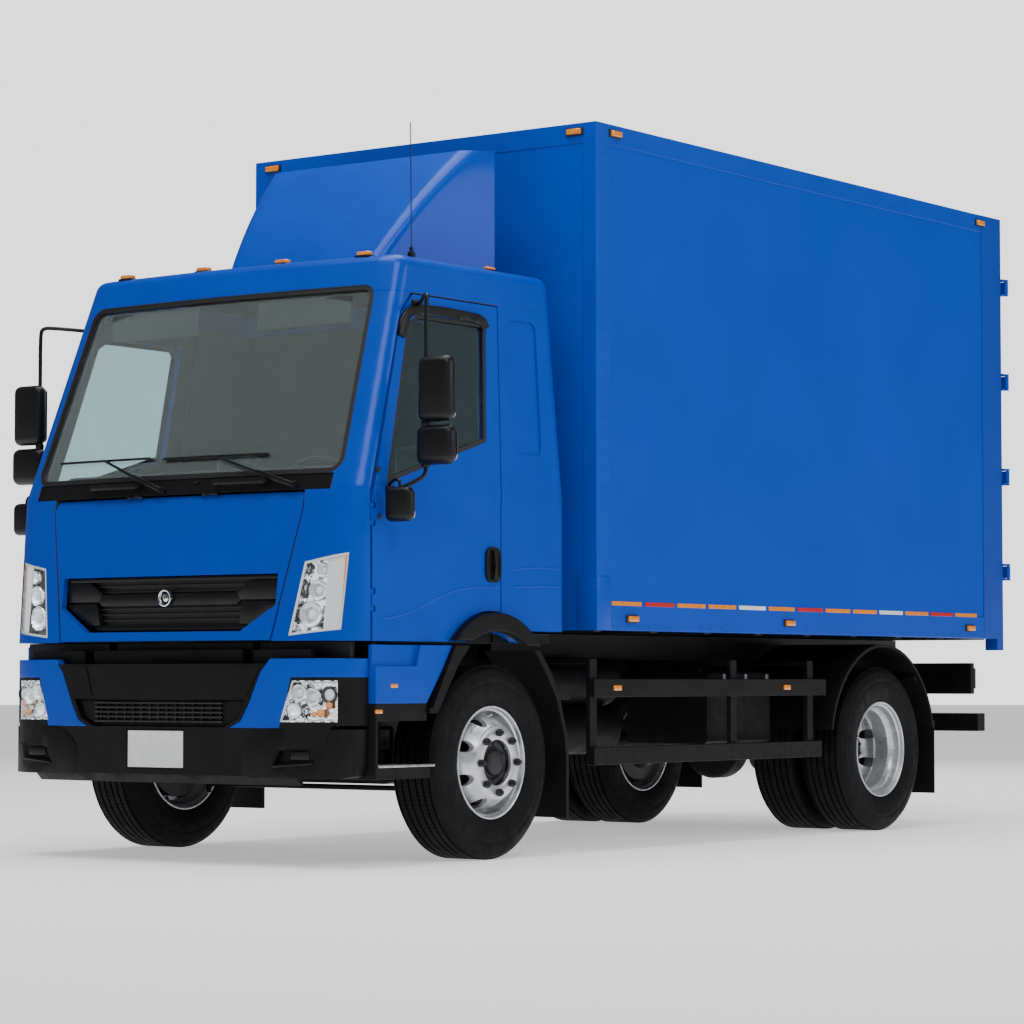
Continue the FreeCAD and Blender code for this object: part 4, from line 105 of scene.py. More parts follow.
class Finish:
    """A node material with a Principled shader and patterns on the piece's own coordinates."""

    def __init__(self, name, colour, rough, metallic, sockets):
        self.material = bpy.data.materials.new(name)
        self.material.use_nodes = True
        self.tree = self.material.node_tree
        self.shader = self.tree.nodes["Principled BSDF"]
        self.coords = self.tree.nodes.new("ShaderNodeTexCoord")
        self.shader.inputs["Base Color"].default_value = (*colour, 1)
        self.shader.inputs["Roughness"].default_value = rough
        self.shader.inputs["Metallic"].default_value = metallic
        for socket, value in sockets.items():
            self.shader.inputs[socket].default_value = value
        self.colour = colour
        MATERIALS[name] = self.material

    def node(self, kind, links=(), **values):
        made = self.tree.nodes.new(kind)
        for name, value in values.items():
            if name in made.inputs:
                made.inputs[name].default_value = value
            else:
                setattr(made, name, value)
        for socket, source in links:
            self.tree.links.new(source, made.inputs[socket])
        return made

    def place(self, scale=(1, 1, 1)):
        mapping = self.node("ShaderNodeMapping", [("Vector", self.coords.outputs["Object"])])
        mapping.inputs["Scale"].default_value = scale
        return mapping.outputs["Vector"]

    def noise(self, scale, detail, stretch=(1, 1, 1)):
        made = self.node("ShaderNodeTexNoise", [("Vector", self.place(stretch))],
                         Scale=scale, Detail=detail)
        return made.outputs["Fac"]

    def height(self):
        split = self.node("ShaderNodeSeparateXYZ",
                          [("Vector", self.coords.outputs["Object"])])
        return split.outputs["Z"]

    def ramp(self, source, low, high, first=0.0, last=1.0):
        """Spread a pattern between two values."""
        made = self.node("ShaderNodeMapRange", [("Value", source)])
        for socket, value in (("From Min", low), ("From Max", high), ("To Min", first),
                              ("To Max", last)):
            made.inputs[socket].default_value = value
        return made.outputs["Result"]

    def mix(self, factor, first, second):
        made = self.node("ShaderNodeMix", data_type="RGBA")
        for socket, value in ((6, first), (7, second)):
            if isinstance(value, tuple):
                made.inputs[socket].default_value = (*value, 1)
            else:
                self.tree.links.new(value, made.inputs[socket])
        self.tree.links.new(factor, made.inputs[0])
        return made.outputs[2]

    def use(self, socket, source):
        self.tree.links.new(source, self.shader.inputs[socket])

    def wander(self, scale, detail, *ends):
        """A slow noise spread between two values."""
        return self.ramp(self.noise(scale, detail), 0.3, 0.7, *ends)

    def tone(self, scale, amount):
        """Let the colour wander a little over the surface."""
        light = tuple(min(1.0, part) for part in shaded(self.colour, 1 + amount))
        dark = shaded(self.colour, 1 - amount)
        self.use("Base Color", self.mix(self.wander(scale, 3.0), dark, light))

    def dust(self, height, colour, amount):
        """Settle road dust on what is near the ground."""
        low = self.ramp(self.height(), height, 0.0)
        cloud = self.ramp(self.noise(7.0, 5.0), 0.35, 0.7)
        share = self.node("ShaderNodeMath", [(0, low), (1, cloud)], operation="MULTIPLY")
        part = self.node("ShaderNodeMath", [(0, share.outputs[0])], operation="MULTIPLY")
        part.inputs[1].default_value = amount
        first = self.shader.inputs["Base Color"].links[0].from_socket
        self.use("Base Color", self.mix(part.outputs[0], first, colour))

    def below(self, height, colour):
        """Paint what lies under a height in another colour."""
        high = self.ramp(self.height(), height - 0.001, height)
        first = self.shader.inputs["Base Color"].links[0].from_socket
        self.use("Base Color", self.mix(high, colour, first))

    def bump(self, source, strength, depth):
        made = self.node("ShaderNodeBump", [("Height", source)], Strength=strength,
                         Distance=depth)
        normal = self.shader.inputs["Normal"]
        if normal.links:
            self.tree.links.new(normal.links[0].from_socket, made.inputs["Normal"])
        self.use("Normal", made.outputs["Normal"])

    def pattern(self, kind, output, strength, depth, **values):
        """Press a regular texture into the surface."""
        made = self.node("ShaderNodeTex" + kind, [("Vector", self.place())], **values)
        self.bump(made.outputs[output], strength, depth)

    def gloss(self, scale, low, high):
        """Let the roughness vary over the surface."""
        self.use("Roughness", self.wander(scale, 4.0, low, high))


def lacquer(coat, rough, specular):
    return {"Coat Weight": coat, "Coat Roughness": rough, "Specular IOR Level": specular}


def dull(specular):
    return {"Specular IOR Level": specular}


def clear(share, index):
    return {"Transmission Weight": share, "IOR": index}


def shaded(colour, share):
    return tuple(part * share for part in colour)


COATED = {"Coat Weight": 1.0}
# The black of the chassis paint, also used as painted shade on the load body floor
CHASSIS_BLACK_AND_SHADE = (0.006, 0.006, 0.007)
ALONG = (1, 0.02, 1)             # a pattern drawn out along the truck
GRAIN = (4, 0.3, 1)


def finish_table(colours):
    """Rows of name, colour, roughness, metal, sockets, tone, bumps and gloss.

    A tone is its scale and share, a bump the scale, detail, strength, depth and stretch of its
    noise, and a gloss its scale and the least and greatest roughness.
    """
    blue, plastic = tuple(colours.paint), tuple(colours.plastic)
    return (
        ("cab_paint", blue, 0.34, 0.1, lacquer(0.16, 0.12, 0.18), (5.0, 0.05),
         ((900.0, 1.0, 0.04, 0.0004), (38.0, 1.0, 0.03, 0.001)), ()),
        ("body_panel", blue, 0.5, 0.0, lacquer(0.06, 0.2, 0.12), (1.6, 0.05),
         ((1.7, 2.0, 0.05, 0.02), (260.0, 1.0, 0.05, 0.0004)), ()),
        ("body_rail", blue, 0.45, 0.05, lacquer(0.1, 0.2, 0.18), (3.0, 0.06),
         ((180.0, 2.0, 0.05, 0.0005),), ()),
        ("body_rear_paint", shaded(blue, 0.92), 0.4, 0.15, lacquer(0.2, 0.2, 0.3), (3.0, 0.08),
         ((120.0, 2.0, 0.06, 0.0006),), ()),
        ("black_plastic", plastic, 0.5, 0.0, dull(0.14), (6.0, 0.2),
         ((950.0, 3.0, 0.22, 0.0006),), (30.0, 0.42, 0.58)),
        ("mirror_housing", shaded(plastic, 0.9), 0.36, 0.0, dull(0.3), (8.0, 0.15),
         ((1300.0, 3.0, 0.15, 0.0004),), ()),
        ("chassis_paint", CHASSIS_BLACK_AND_SHADE, 0.5, 0.0, dull(0.12), (9.0, 0.3),
         ((70.0, 5.0, 0.16, 0.0015),), (14.0, 0.35, 0.6)),
        ("engine_iron", (0.06, 0.06, 0.062), 0.6, 0.3, {}, (12.0, 0.35),
         ((160.0, 6.0, 0.4, 0.002),), ()),
        ("tank_metal", (0.52, 0.53, 0.55), 0.34, 0.9, {}, (10.0, 0.1),
         ((240.0, 2.0, 0.12, 0.0004, ALONG),), (18.0, 0.28, 0.45)),
        ("silencer_steel", (0.30, 0.28, 0.26), 0.5, 0.8, {}, (14.0, 0.3),
         ((150.0, 5.0, 0.2, 0.001),), ()),
        ("seat_fabric", (0.055, 0.058, 0.066), 0.85, 0.0, {"Sheen Weight": 0.4}, (20.0, 0.2),
         (), ()),
        ("lining_grey", (0.045, 0.048, 0.048), 0.75, 0.0, dull(0.2), (6.0, 0.12),
         ((420.0, 3.0, 0.3, 0.0008),), ()),
        ("dash_plastic", (0.035, 0.036, 0.039), 0.6, 0.0, dull(0.3), (5.0, 0.15),
         ((600.0, 3.0, 0.25, 0.0007),), ()),
        ("floor_board", (0.26, 0.17, 0.10), 0.5, 0.0, {}, (2.0, 0.1),
         ((40.0, 6.0, 0.3, 0.001, GRAIN),), ()),
        ("window_glass", (0.28, 0.41, 0.44), 0.015, 0.0, clear(1.0, 1.45), (1.0, 0.02), (), ()),
        ("screen_glass", (0.66, 0.76, 0.75), 0.015, 0.0, clear(0.975, 1.45), (1.0, 0.02), (), ()),
        ("lamp_lens", (0.93, 0.95, 0.97), 0.02, 0.0, clear(1.0, 1.35), (3.0, 0.02), (), ()),
        ("tyre", tuple(colours.rubber), 0.62, 0.0, dull(0.12), (9.0, 0.25),
         ((420.0, 4.0, 0.2, 0.0007),), (22.0, 0.5, 0.72)),
        ("wheel_steel", tuple(colours.steel), 0.32, 0.75, {}, (18.0, 0.12),
         ((210.0, 3.0, 0.07, 0.0005),), (30.0, 0.24, 0.42)),
        ("hub_iron", (0.03, 0.03, 0.032), 0.45, 0.5, {}, (22.0, 0.3),
         ((180.0, 5.0, 0.25, 0.001),), ()),
        ("chrome", (0.78, 0.79, 0.81), 0.09, 1.0, {}, (12.0, 0.04), (), (60.0, 0.06, 0.13)),
        ("mirror_glass", (0.75, 0.78, 0.8), 0.02, 1.0, {}, (5.0, 0.03), (), ()),
        ("amber_lens", tuple(colours.amber), 0.12, 0.0, COATED, (60.0, 0.15),
         ((500.0, 1.0, 0.2, 0.0006),), ()),
        ("red_lens", tuple(colours.red), 0.14, 0.0, COATED, (60.0, 0.15),
         ((500.0, 1.0, 0.2, 0.0006),), ()),
        ("white_lens", (0.82, 0.83, 0.84), 0.15, 0.0, COATED, (60.0, 0.06),
         ((500.0, 1.0, 0.2, 0.0006),), ()),
        ("tread_metal", (0.45, 0.45, 0.46), 0.38, 0.9, {}, (30.0, 0.25),
         ((260.0, 4.0, 0.2, 0.0008),), (40.0, 0.28, 0.5)),
        ("frosted_lens", (0.70, 0.71, 0.72), 0.22, 0.0, COATED, (9.0, 0.06), (), ()),
        ("plate_white", (0.72, 0.73, 0.74), 0.35, 0.1, {}, (20.0, 0.05),
         ((300.0, 2.0, 0.05, 0.0004),), ()),
        ("gasket_rubber", (0.01, 0.01, 0.011), 0.55, 0.0, {}, (30.0, 0.2),
         ((700.0, 2.0, 0.15, 0.0004),), ()),
        ("reflector", (0.86, 0.87, 0.88), 0.08, 1.0, {}, (30.0, 0.05), (), ()),
        ("studio_floor", tuple(colours.floor), 0.9, 0.0,
         {"Specular IOR Level": 0.1, "Emission Strength": 0.5, "Emission Color": (1, 1, 1, 1)},
         (0.4, 0.01), (), ()))


def make_materials():
    made = {}
    for name, colour, rough, metal, sockets, tone, bumps, gloss in finish_table(
            bpy.context.scene.truck_colours):
        finish = made[name] = Finish(name, colour, rough, metal, sockets)
        finish.tone(*tone)
        for scale, detail, strength, depth, *stretch in bumps:
            finish.bump(finish.noise(scale, detail, *stretch), strength, depth)
        if gloss:
            finish.gloss(*gloss)
    made["chassis_paint"].dust(0.9, (0.05, 0.045, 0.04), 0.10)
    made["tyre"].dust(0.5, (0.02, 0.019, 0.018), 0.18)
    # Painted shade: the wood floor is near-black below its top, so its edges and underside look shaded
    made["floor_board"].below(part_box("body_floor")[1].z - 0.004, CHASSIS_BLACK_AND_SHADE)
    made["seat_fabric"].pattern("Wave", "Fac", 0.3, 0.001, Scale=260.0, Distortion=1.5,
                                Detail=1.0)
    made["frosted_lens"].pattern("Wave", "Fac", 0.35, 0.001, Scale=55.0, bands_direction="X")
    made["reflector"].pattern("Voronoi", "Distance", 0.35, 0.002, Scale=70.0)


# Shapes

WELD = 1e-5                 # points closer than this are one
CRISP = 0.6                 # edges that turn more than this stay sharp, in radians
CORNER = 0.9                # edges that turn more than this are a plate's own, in radians
FRONT = (0, -1, 0)
REAR = (0, 1, 0)
UP = (0, 0, 1)
DOWN = (0, 0, -1)
FAR_FRONT = -3.4            # a place in front of the whole truck
FAR_OUT = 1.5               # a place beside the whole truck


def straightened(bm):
    """Merge doubles, point the faces outwards and keep sharp edges crisp."""
    bmesh.ops.remove_doubles(bm, verts=bm.verts, dist=WELD)
    bmesh.ops.recalc_face_normals(bm, faces=bm.faces)
    if bm.calc_volume(signed=True) < 0:
        bmesh.ops.reverse_faces(bm, faces=bm.faces)
    for face in bm.faces:
        face.smooth = True
    for edge in bm.edges:
        edge.smooth = edge.calc_face_angle(math.pi) < CRISP if edge.is_manifold else False


def piece(name, bm, finish, body, replaces=()):
    """Turn a bmesh into a finished piece that rides on a body."""
    straightened(bm)
    mesh = bpy.data.meshes.new(name)
    bm.to_mesh(mesh)
    bm.free()
    made = bpy.data.objects.new(name, mesh)
    bpy.context.scene.collection.objects.link(made)
    mesh.materials.append(MATERIALS[finish])
    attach(made, body)
    if replaces:
        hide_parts(*replaces)
    return made


def block(bm, low, high, round_by=0.0, segments=2):
    """A box between two corners with bevelled edges."""
    low, high = Vector(low), Vector(high)
    size = high - low
    made = bmesh.ops.create_cube(bm, size=1.0, matrix=Matrix.Translation((low + high) / 2)
                                 @ Matrix.Diagonal((*size, 1)))
    if round_by:
        edges = {edge for vert in made["verts"] for edge in vert.link_edges}
        bevelled(bm, edges, round_by, segments)


def softer(bm, least, width, segments=2):
    """Round over the edges that turn more than an angle."""
    edges = [edge for edge in bm.edges if edge.is_manifold and edge.calc_face_angle(0) > least]
    bevelled(bm, edges, width, segments)


def bevelled(bm, edges, width, segments=2):
    bmesh.ops.bevel(bm, geom=list(edges), offset=width, offset_type="OFFSET", affect="EDGES",
                    segments=segments, profile=0.5, material=-1, clamp_overlap=True)


def spun(bm, profile, centre, axis, steps, around=None):
    """Turn a profile of distance along the axis and radius about the axis."""
    axis = Vector(axis).normalized()
    across = Vector(around) if around else axis.orthogonal().normalized()
    centre = Vector(centre)
    verts = [bm.verts.new(centre + axis * along + across * radius)
             for along, radius in profile]
    edges = [bm.edges.new(pair) for pair in zip(verts, verts[1:])]
    bmesh.ops.spin(bm, geom=verts + edges, cent=centre, axis=axis, angle=2 * math.pi,
                   steps=steps, use_merge=True, use_duplicate=False)


def disc(bm, centre, axis, radius, depth, sides=24, round_by=0.0):
    """A short round bar along an axis, closed at both ends."""
    turn = Vector(axis).to_track_quat("Z", "Y").to_matrix().to_4x4()
    made = bmesh.ops.create_cone(bm, cap_ends=True, segments=sides, radius1=radius,
                                 radius2=radius, depth=depth,
                                 matrix=Matrix.Translation(Vector(centre)) @ turn)
    if round_by:
        caps = [edge for vert in made["verts"] for edge in vert.link_edges
                if len(edge.link_faces) == 2
                and sum(len(face.verts) == sides for face in edge.link_faces) == 1]
        bevelled(bm, set(caps), round_by)


def tube(name, points, radius, finish, body):
    """A bent bar along points, made a mesh."""
    curve = bpy.data.curves.new(name, "CURVE")
    curve.dimensions = "3D"
    curve.bevel_depth = radius
    curve.bevel_resolution = 6
    curve.use_fill_caps = True
    spline = curve.splines.new("NURBS")
    spline.points.add(len(points) - 1)
    for point, place in zip(spline.points, points):
        point.co = (*place, 1)
    spline.order_u = 3
    spline.use_endpoint_u = True
    spline.resolution_u = 8
    holder = bpy.data.objects.new(name + "_path", curve)
    bpy.context.scene.collection.objects.link(holder)
    mesh = bpy.data.meshes.new_from_object(holder.evaluated_get(
        bpy.context.evaluated_depsgraph_get()))
    bpy.data.objects.remove(holder)
    bpy.data.curves.remove(curve)
    bm = bmesh.new()
    bm.from_mesh(mesh)
    bpy.data.meshes.remove(mesh)
    return piece(name, bm, finish, body)


def carved(bm, cutter, operation="DIFFERENCE"):
    """Cut one shape out of another, or keep what both fill."""
    holders = []
    for name, shape in (("carve_base", bm), ("carve_tool", cutter)):
        mesh = bpy.data.meshes.new(name)
        shape.to_mesh(mesh)
        shape.free()
        holder = bpy.data.objects.new(name, mesh)
        bpy.context.scene.collection.objects.link(holder)
        holders.append(holder)
    base, tool = holders
    change = base.modifiers.new("carve", "BOOLEAN")
    change.object = tool
    change.operation = operation
    change.solver = "EXACT"
    bpy.context.view_layer.update()
    mesh = bpy.data.meshes.new_from_object(base.evaluated_get(
        bpy.context.evaluated_depsgraph_get()))
    out = bmesh.new()
    out.from_mesh(mesh)
    bpy.data.meshes.remove(mesh)
    for holder in holders:
        data = holder.data
        bpy.data.objects.remove(holder)
        bpy.data.meshes.remove(data)
    return out


def copied(node):
    """A merged copy of a CAD node's mesh."""
    bm = bmesh.new()
    bm.from_mesh(frame["nodes"][node].data)
    bmesh.ops.remove_doubles(bm, verts=bm.verts, dist=WELD)
    return bm


def joined(bm, other):
    """Add one bmesh to another."""
    mesh = bpy.data.meshes.new("joined_part")
    other.to_mesh(mesh)
    other.free()
    bm.from_mesh(mesh)
    bpy.data.meshes.remove(mesh)


def flattened(bm, angle=0.003):
    """Join the triangles of each flat face."""
    bmesh.ops.dissolve_limit(bm, angle_limit=angle, verts=bm.verts, edges=bm.edges)


def softened(node, name, finish, body, width=0.004, segments=2, least=0.6, shape=None):
    """A CAD panel with its corners rounded over, as pressed or moulded panels are."""
    bm = copied(node)
    flattened(bm)
    if shape:
        bm = shape(bm)
    corners = [edge for edge in bm.edges
               if edge.is_manifold and edge.calc_face_angle(0) > least
               and edge.calc_length() > width]
    bevelled(bm, corners, width, segments)
    return even_shaded(piece(name, bm, finish, body, replaces=[node]))


def even_shaded(made):
    """Let the large faces of a panel lead its shading."""
    weighted = made.modifiers.new("even_shading", "WEIGHTED_NORMAL")
    weighted.keep_sharp = True
    weighted.weight = 60
    return made


def patch(node, facing, least=0.35, keep=None):
    """The faces of a CAD node that look one way, as an open sheet."""
    bm = copied(node)
    facing = Vector(facing)
    hidden = [face for face in bm.faces if face.normal.dot(facing) < least
              or keep and not keep(face.calc_center_median())]
    bmesh.ops.delete(bm, geom=hidden, context="FACES")
    flattened(bm, 0.002)
    return bm


def edging(name, node, facing, width, thick, finish, body, least=0.35, rise=0.0):
    """A strip round the edge of a pane, standing out from it."""
    bm = patch(node, facing, least)
    made = bmesh.ops.inset_region(bm, faces=bm.faces, thickness=width, use_boundary=True,
                                  use_even_offset=True)
    strip = set(made["faces"])
    bmesh.ops.delete(bm, geom=[face for face in bm.faces if face not in strip],
                     context="FACES")
    bmesh.ops.translate(bm, verts=bm.verts, vec=Vector(facing) * rise)
    thickened(bm, Vector(facing) * thick)
    piece(name, bm, finish, body)


def thickened(bm, step):
    """Close an open sheet into a plate by a straight move."""
    sheet = list(bm.faces)
    made = bmesh.ops.extrude_face_region(bm, geom=sheet, use_keep_orig=True)
    moved = [item for item in made["geom"] if isinstance(item, bmesh.types.BMVert)]
    bmesh.ops.translate(bm, verts=moved, vec=step)


def plate(bm, outline, step):
    """A flat plate between an outline and its copy moved by a step."""
    face = bm.faces.new([bm.verts.new(point) for point in outline])
    made = bmesh.ops.extrude_face_region(bm, geom=[face], use_keep_orig=True)
    moved = [item for item in made["geom"] if isinstance(item, bmesh.types.BMVert)]
    bmesh.ops.translate(bm, verts=moved, vec=step)


def bar(bm, start, end, width, depth):
    """A flat bar between two points with soft edges, wide upwards and deep along the truck."""
    start, end = Vector(start), Vector(end)
    along = end - start
    ahead = Vector(REAR) if abs(along.normalized().y) < 0.9 else Vector(UP)
    side = along.cross(ahead).normalized()
    ahead = side.cross(along).normalized()
    turn = Matrix((along.normalized(), side, ahead)).transposed().to_4x4()
    made = bmesh.ops.create_cube(bm, size=1.0, matrix=Matrix.Translation((start + end) / 2)
                                 @ turn @ Matrix.Diagonal((along.length + depth * 0.3, width,
                                                           depth, 1)))
    edges = {edge for vert in made["verts"] for edge in vert.link_edges}
    bevelled(bm, edges, min(width, depth) * 0.25, 2)


SKINS = {}


def touch(nodes, point, way, needed=True):
    """The place where a line from a point first meets one or more CAD nodes."""
    nodes = (nodes,) if isinstance(nodes, str) else nodes
    point, way = Vector(point), Vector(way)
    met = []
    for node in nodes:
        if node not in SKINS:
            bm = copied(node)
            SKINS[node] = BVHTree.FromBMesh(bm)
            bm.free()
        place = SKINS[node].ray_cast(point, way)[0]
        if place is not None:
            met.append(place)
    if not met and needed:
        raise ValueError(f"nothing of {nodes} lies that way from {tuple(point)}")
    return min(met, key=lambda place: (place - point).length, default=None)


def ahead_of(nodes, wide, high):
    """The place that a line from in front of the truck meets."""
    return touch(nodes, (wide, FAR_FRONT, high), REAR)


def beside_of(nodes, side, along, high):
    """The place that a line from beside the truck meets."""
    return touch(nodes, (side * FAR_OUT, along, high), (-side, 0, 0))


def laid(bm, node, outline, way, lift, thick, cuts=6):
    """A plate that follows the surface of a CAD node: its outline is cast along a way."""
    way = Vector(way)
    sheet = bmesh.new()
    face = sheet.faces.new([sheet.verts.new(point) for point in outline])
    bmesh.ops.triangulate(sheet, faces=[face])
    for _ in range(cuts):
        long = [edge for edge in sheet.edges if edge.calc_length() > 0.06]
        if long:
            bmesh.ops.subdivide_edges(sheet, edges=long, cuts=1, use_grid_fill=False)
            bmesh.ops.triangulate(sheet, faces=sheet.faces)
    places = {vert: touch(node, vert.co, way, False) for vert in sheet.verts}
    for vert, place in places.items():
        if place is None:
            near = min((other for other in places if places[other] is not None),
                       key=lambda other: (other.co - vert.co).length)
            places[vert] = vert.co + way * way.dot(places[near] - vert.co)
    for vert, place in places.items():
        vert.co = place - way * lift
    thickened(sheet, -way * thick)
    joined(bm, sheet)


def ribbon(points, width):
    """The outline of a band of one width along points in a plane seen from the front or side."""
    points = [Vector(point) for point in points]
    flat = 0 if abs(points[0].x - points[-1].x) + abs(points[0].x - points[1].x) < 1e-6 else 1
    axis = Vector((1, 0, 0)) if flat == 0 else Vector(REAR)
    left, right = [], []
    for index, point in enumerate(points):
        ahead = points[min(index + 1, len(points) - 1)] - points[max(index - 1, 0)]
        across = ahead.cross(axis).normalized() * width / 2
        left.append(point + across)
        right.append(point - across)
    return left + right[::-1]


def on_side(side, low, high):
    """The corners of a box given for the left side, on either side."""
    first, last = sorted((side * low[0], side * high[0]))
    return (first, *low[1:]), (last, *high[1:])


def rounded_block(bm, low, high, radius):
    """A soft moulded block: all edges well rounded."""
    size = min(b - a for a, b in zip(low, high))
    block(bm, low, high, min(radius, size * 0.49), 3)


def soft_pad(bm, place, low, high, radius):
    """A soft block between two offsets from a place."""
    rounded_block(bm, place + Vector(low), place + Vector(high), radius)


def hexagon_nut(bm, centre, axis, across, height):
    """A chamfered nut with the end of its stud."""
    axis = Vector(axis)
    centre = Vector(centre)
    disc(bm, centre + axis * height / 2, axis, across / 2, height, 6, across * 0.05)
    disc(bm, centre + axis * height * 0.7, axis, across * 0.26, height * 1.4, 12, 0.0008)


# Operators

# Painted shade: the cab floor and the firewall are finished black instead of the cab's blue paint, so
# the gaps behind and under the front flap look dark
OWN_FINISH = {"windshield": "screen_glass", "cab_floor": "black_plastic",
              "cab_firewall": "black_plastic"}


class TRUCK_OT_materials(bpy.types.Operator):
    """Make the finishes and give every CAD node its own"""
    bl_idname = "truck.materials"
    bl_label = "Finishes"

    def execute(self, context):
        make_materials()
        for row in frame["record"]["subparts"]:
            data = frame["nodes"][row["node"]].data
            finish = MATERIALS[OWN_FINISH.get(row["node"], row["material_slot"])]
            if data.materials:
                data.materials[0] = finish
            else:
                data.materials.append(finish)
        return {"FINISHED"}


SKY_COLOUR = (0.95, 0.97, 1.0)
GLOSS_COLOUR = (0.85, 0.92, 1.0)
LAMPS = (("key", (8.5, -7.5, 9.5), 430, 5.0, 4.5), ("top", (0.0, -1.0, 10.0), 1050, 6.0, 12.0),
         ("side", (12.5, 4.0, 5.5), 330, 8.0, 4.0), ("back", (-5.0, 12.0, 7.0), 420, 8.0, 5.0))
AIM = Vector((0, 0, 1.4))
CAMERA = {"place": (9.92107, FRONT_AXLE - 11.91589, 0.82862), "lens": 112.93,
          "tilt": 92.98777, "turn": 36.2523}


class TRUCK_OT_stage(bpy.types.Operator):
    """Set the floor, the lights and the camera"""
    bl_idname = "truck.stage"
    bl_label = "Stage"

    def execute(self, context):
        bm = bmesh.new()
        bmesh.ops.create_circle(bm, cap_ends=True, segments=96, radius=90.0)
        mesh = bpy.data.meshes.new("studio_floor")
        bm.to_mesh(mesh)
        bm.free()
        floor = bpy.data.objects.new("studio_floor", mesh)
        mesh.materials.append(MATERIALS["studio_floor"])
        context.scene.collection.objects.link(floor)
        world = bpy.data.worlds.new("studio")
        world.use_nodes = True
        nodes, links = world.node_tree.nodes, world.node_tree.links
        nodes.remove(nodes["Background"])

        def glow(colour, strength):
            made = nodes.new("ShaderNodeBackground")
            made.inputs["Color"].default_value = (*colour, 1)
            made.inputs["Strength"].default_value = strength
            return made.outputs["Background"]

        def chosen(share, first, second):
            made = nodes.new("ShaderNodeMixShader")
            for socket, source in zip(made.inputs, (share, first, second)):
                links.new(source, socket)
            return made.outputs["Shader"]

        rays = nodes.new("ShaderNodeLightPath").outputs
        seen = nodes.new("ShaderNodeMath")
        seen.operation = "MAXIMUM"
        links.new(rays["Is Camera Ray"], seen.inputs[0])
        links.new(rays["Is Transmission Ray"], seen.inputs[1])
        dim = chosen(rays["Is Glossy Ray"], glow(SKY_COLOUR, 0.34), glow(GLOSS_COLOUR, 0.14))
        sky = chosen(seen.outputs[0], dim, glow((1, 1, 1), 2.0))
        links.new(sky, nodes["World Output"].inputs["Surface"])
        context.scene.world = world
        for name, place, energy, width, height in LAMPS:
            light = bpy.data.lights.new(name + "_light", "AREA")
            light.shape = "RECTANGLE"
            light.size = width
            light.size_y = height
            light.energy = energy
            lamp = bpy.data.objects.new(name + "_light", light)
            lamp.location = place
            lamp.rotation_euler = (AIM - Vector(place)).to_track_quat("-Z", "Y").to_euler()
            context.scene.collection.objects.link(lamp)
        lens = bpy.data.cameras.new("camera")
        lens.lens = CAMERA["lens"]
        lens.sensor_width = 36
        lens.sensor_fit = "HORIZONTAL"
        lens.clip_end = 300
        camera = bpy.data.objects.new("camera", lens)
        camera.location = CAMERA["place"]
        camera.rotation_euler = (math.radians(CAMERA["tilt"]), 0, math.radians(CAMERA["turn"]))
        context.scene.collection.objects.link(camera)
        context.scene.camera = camera
        return {"FINISHED"}


TYRE_HALF = 0.135


def front_places(name):
    low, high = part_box(f"tyre_front_{name}")
    return [((low.x + high.x) / 2, FRONT_AXLE, TYRE_RADIUS)]


def rear_places(name, side):
    """The middles of the outer and the inner tyre."""
    low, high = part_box(f"tyres_rear_{name}")
    near, far = sorted((abs(low.x), abs(high.x)))
    return [(side * (far - TYRE_HALF), REAR_AXLE, TYRE_RADIUS),
            (side * (near + TYRE_HALF), REAR_AXLE, TYRE_RADIUS)]


def tyre_shape(bm, centre, sizes):
    """A radial tyre: beads, sidewall rings, shoulder blocks and ribs between grooves."""
    radius = TYRE_RADIUS
    depth = sizes.tread_depth
    lift = 0.004
    half = TYRE_HALF
    groove = 0.0045
    side = [(0.106, 0.249), (0.113, 0.262), (0.121, 0.268), (0.1235, 0.276), (0.1265, 0.282),
            (0.1265, 0.288), (0.131, 0.300), (half - 0.0005, 0.338), (half, 0.352),
            (half, 0.366), (half - 0.0015, 0.370), (half - 0.0015, 0.374),
            (half - 0.0002, 0.378), (half - 0.003, 0.396), (half - 0.006, 0.404),
            (half - 0.010, 0.420), (half - 0.015, radius - 0.018)]
    ribs = [0.0, 0.021, 0.058, 0.096]
    right = [(half - 0.024, radius - 0.008 - lift), (half - 0.034, radius - lift)]
    for place in ribs[:0:-1]:
        right += [(place + groove, radius - lift), (place + groove - 0.001, radius - depth),
                  (place - groove + 0.001, radius - depth), (place - groove, radius - lift)]
    outline = side + right
    profile = [(-along, wide) for along, wide in outline] + outline[::-1]
    spun(bm, profile + profile[:1], centre, (1, 0, 0), sizes.tread_blocks, UP)
    bmesh.ops.remove_doubles(bm, verts=bm.verts, dist=WELD)
    bmesh.ops.recalc_face_normals(bm, faces=bm.faces)
    crown = []
    for face in bm.faces:
        middle = face.calc_center_median()
        out = Vector((0, middle.y - centre[1], middle.z - centre[2])).length
        across = abs(middle.x - centre[0])
        if out > radius - lift - 0.0035 and across < half - 0.02:
            crown.append(face)
    bmesh.ops.inset_individual(bm, faces=crown, thickness=0.0013, depth=lift - 0.0002)


class TRUCK_OT_tyres(bpy.types.Operator):
    """Model the tyres with their grooves, shoulder blocks and sidewall rings"""
    bl_idname = "truck.tyres"
    bl_label = "Tyres"

    def execute(self, context):
        sizes = context.scene.truck_sizes
        for name, side in SIDES:
            for end, node, places in (("front_tyre", "tyre_front", front_places(name)),
                                      ("rear_tyres", "tyres_rear", rear_places(name, side))):
                bm = bmesh.new()
                for centre in sorted(places):
                    other = bmesh.new()
                    tyre_shape(other, centre, sizes)
                    joined(bm, other)
                body = node.replace("tyre", "wheel")
                piece(f"{end}_{name}", bm, "tyre", f"{body}_{name}",
                      replaces=[f"{node}_{name}"])
        return {"FINISHED"}


# Wheels

def around(count, circle, turned=0.0):
    """Places on a circle about a wheel's axis, the first one upwards."""
    for step in range(count):
        angle = 2 * math.pi * (step + turned) / count
        yield Vector((0, math.sin(angle), math.cos(angle))) * circle


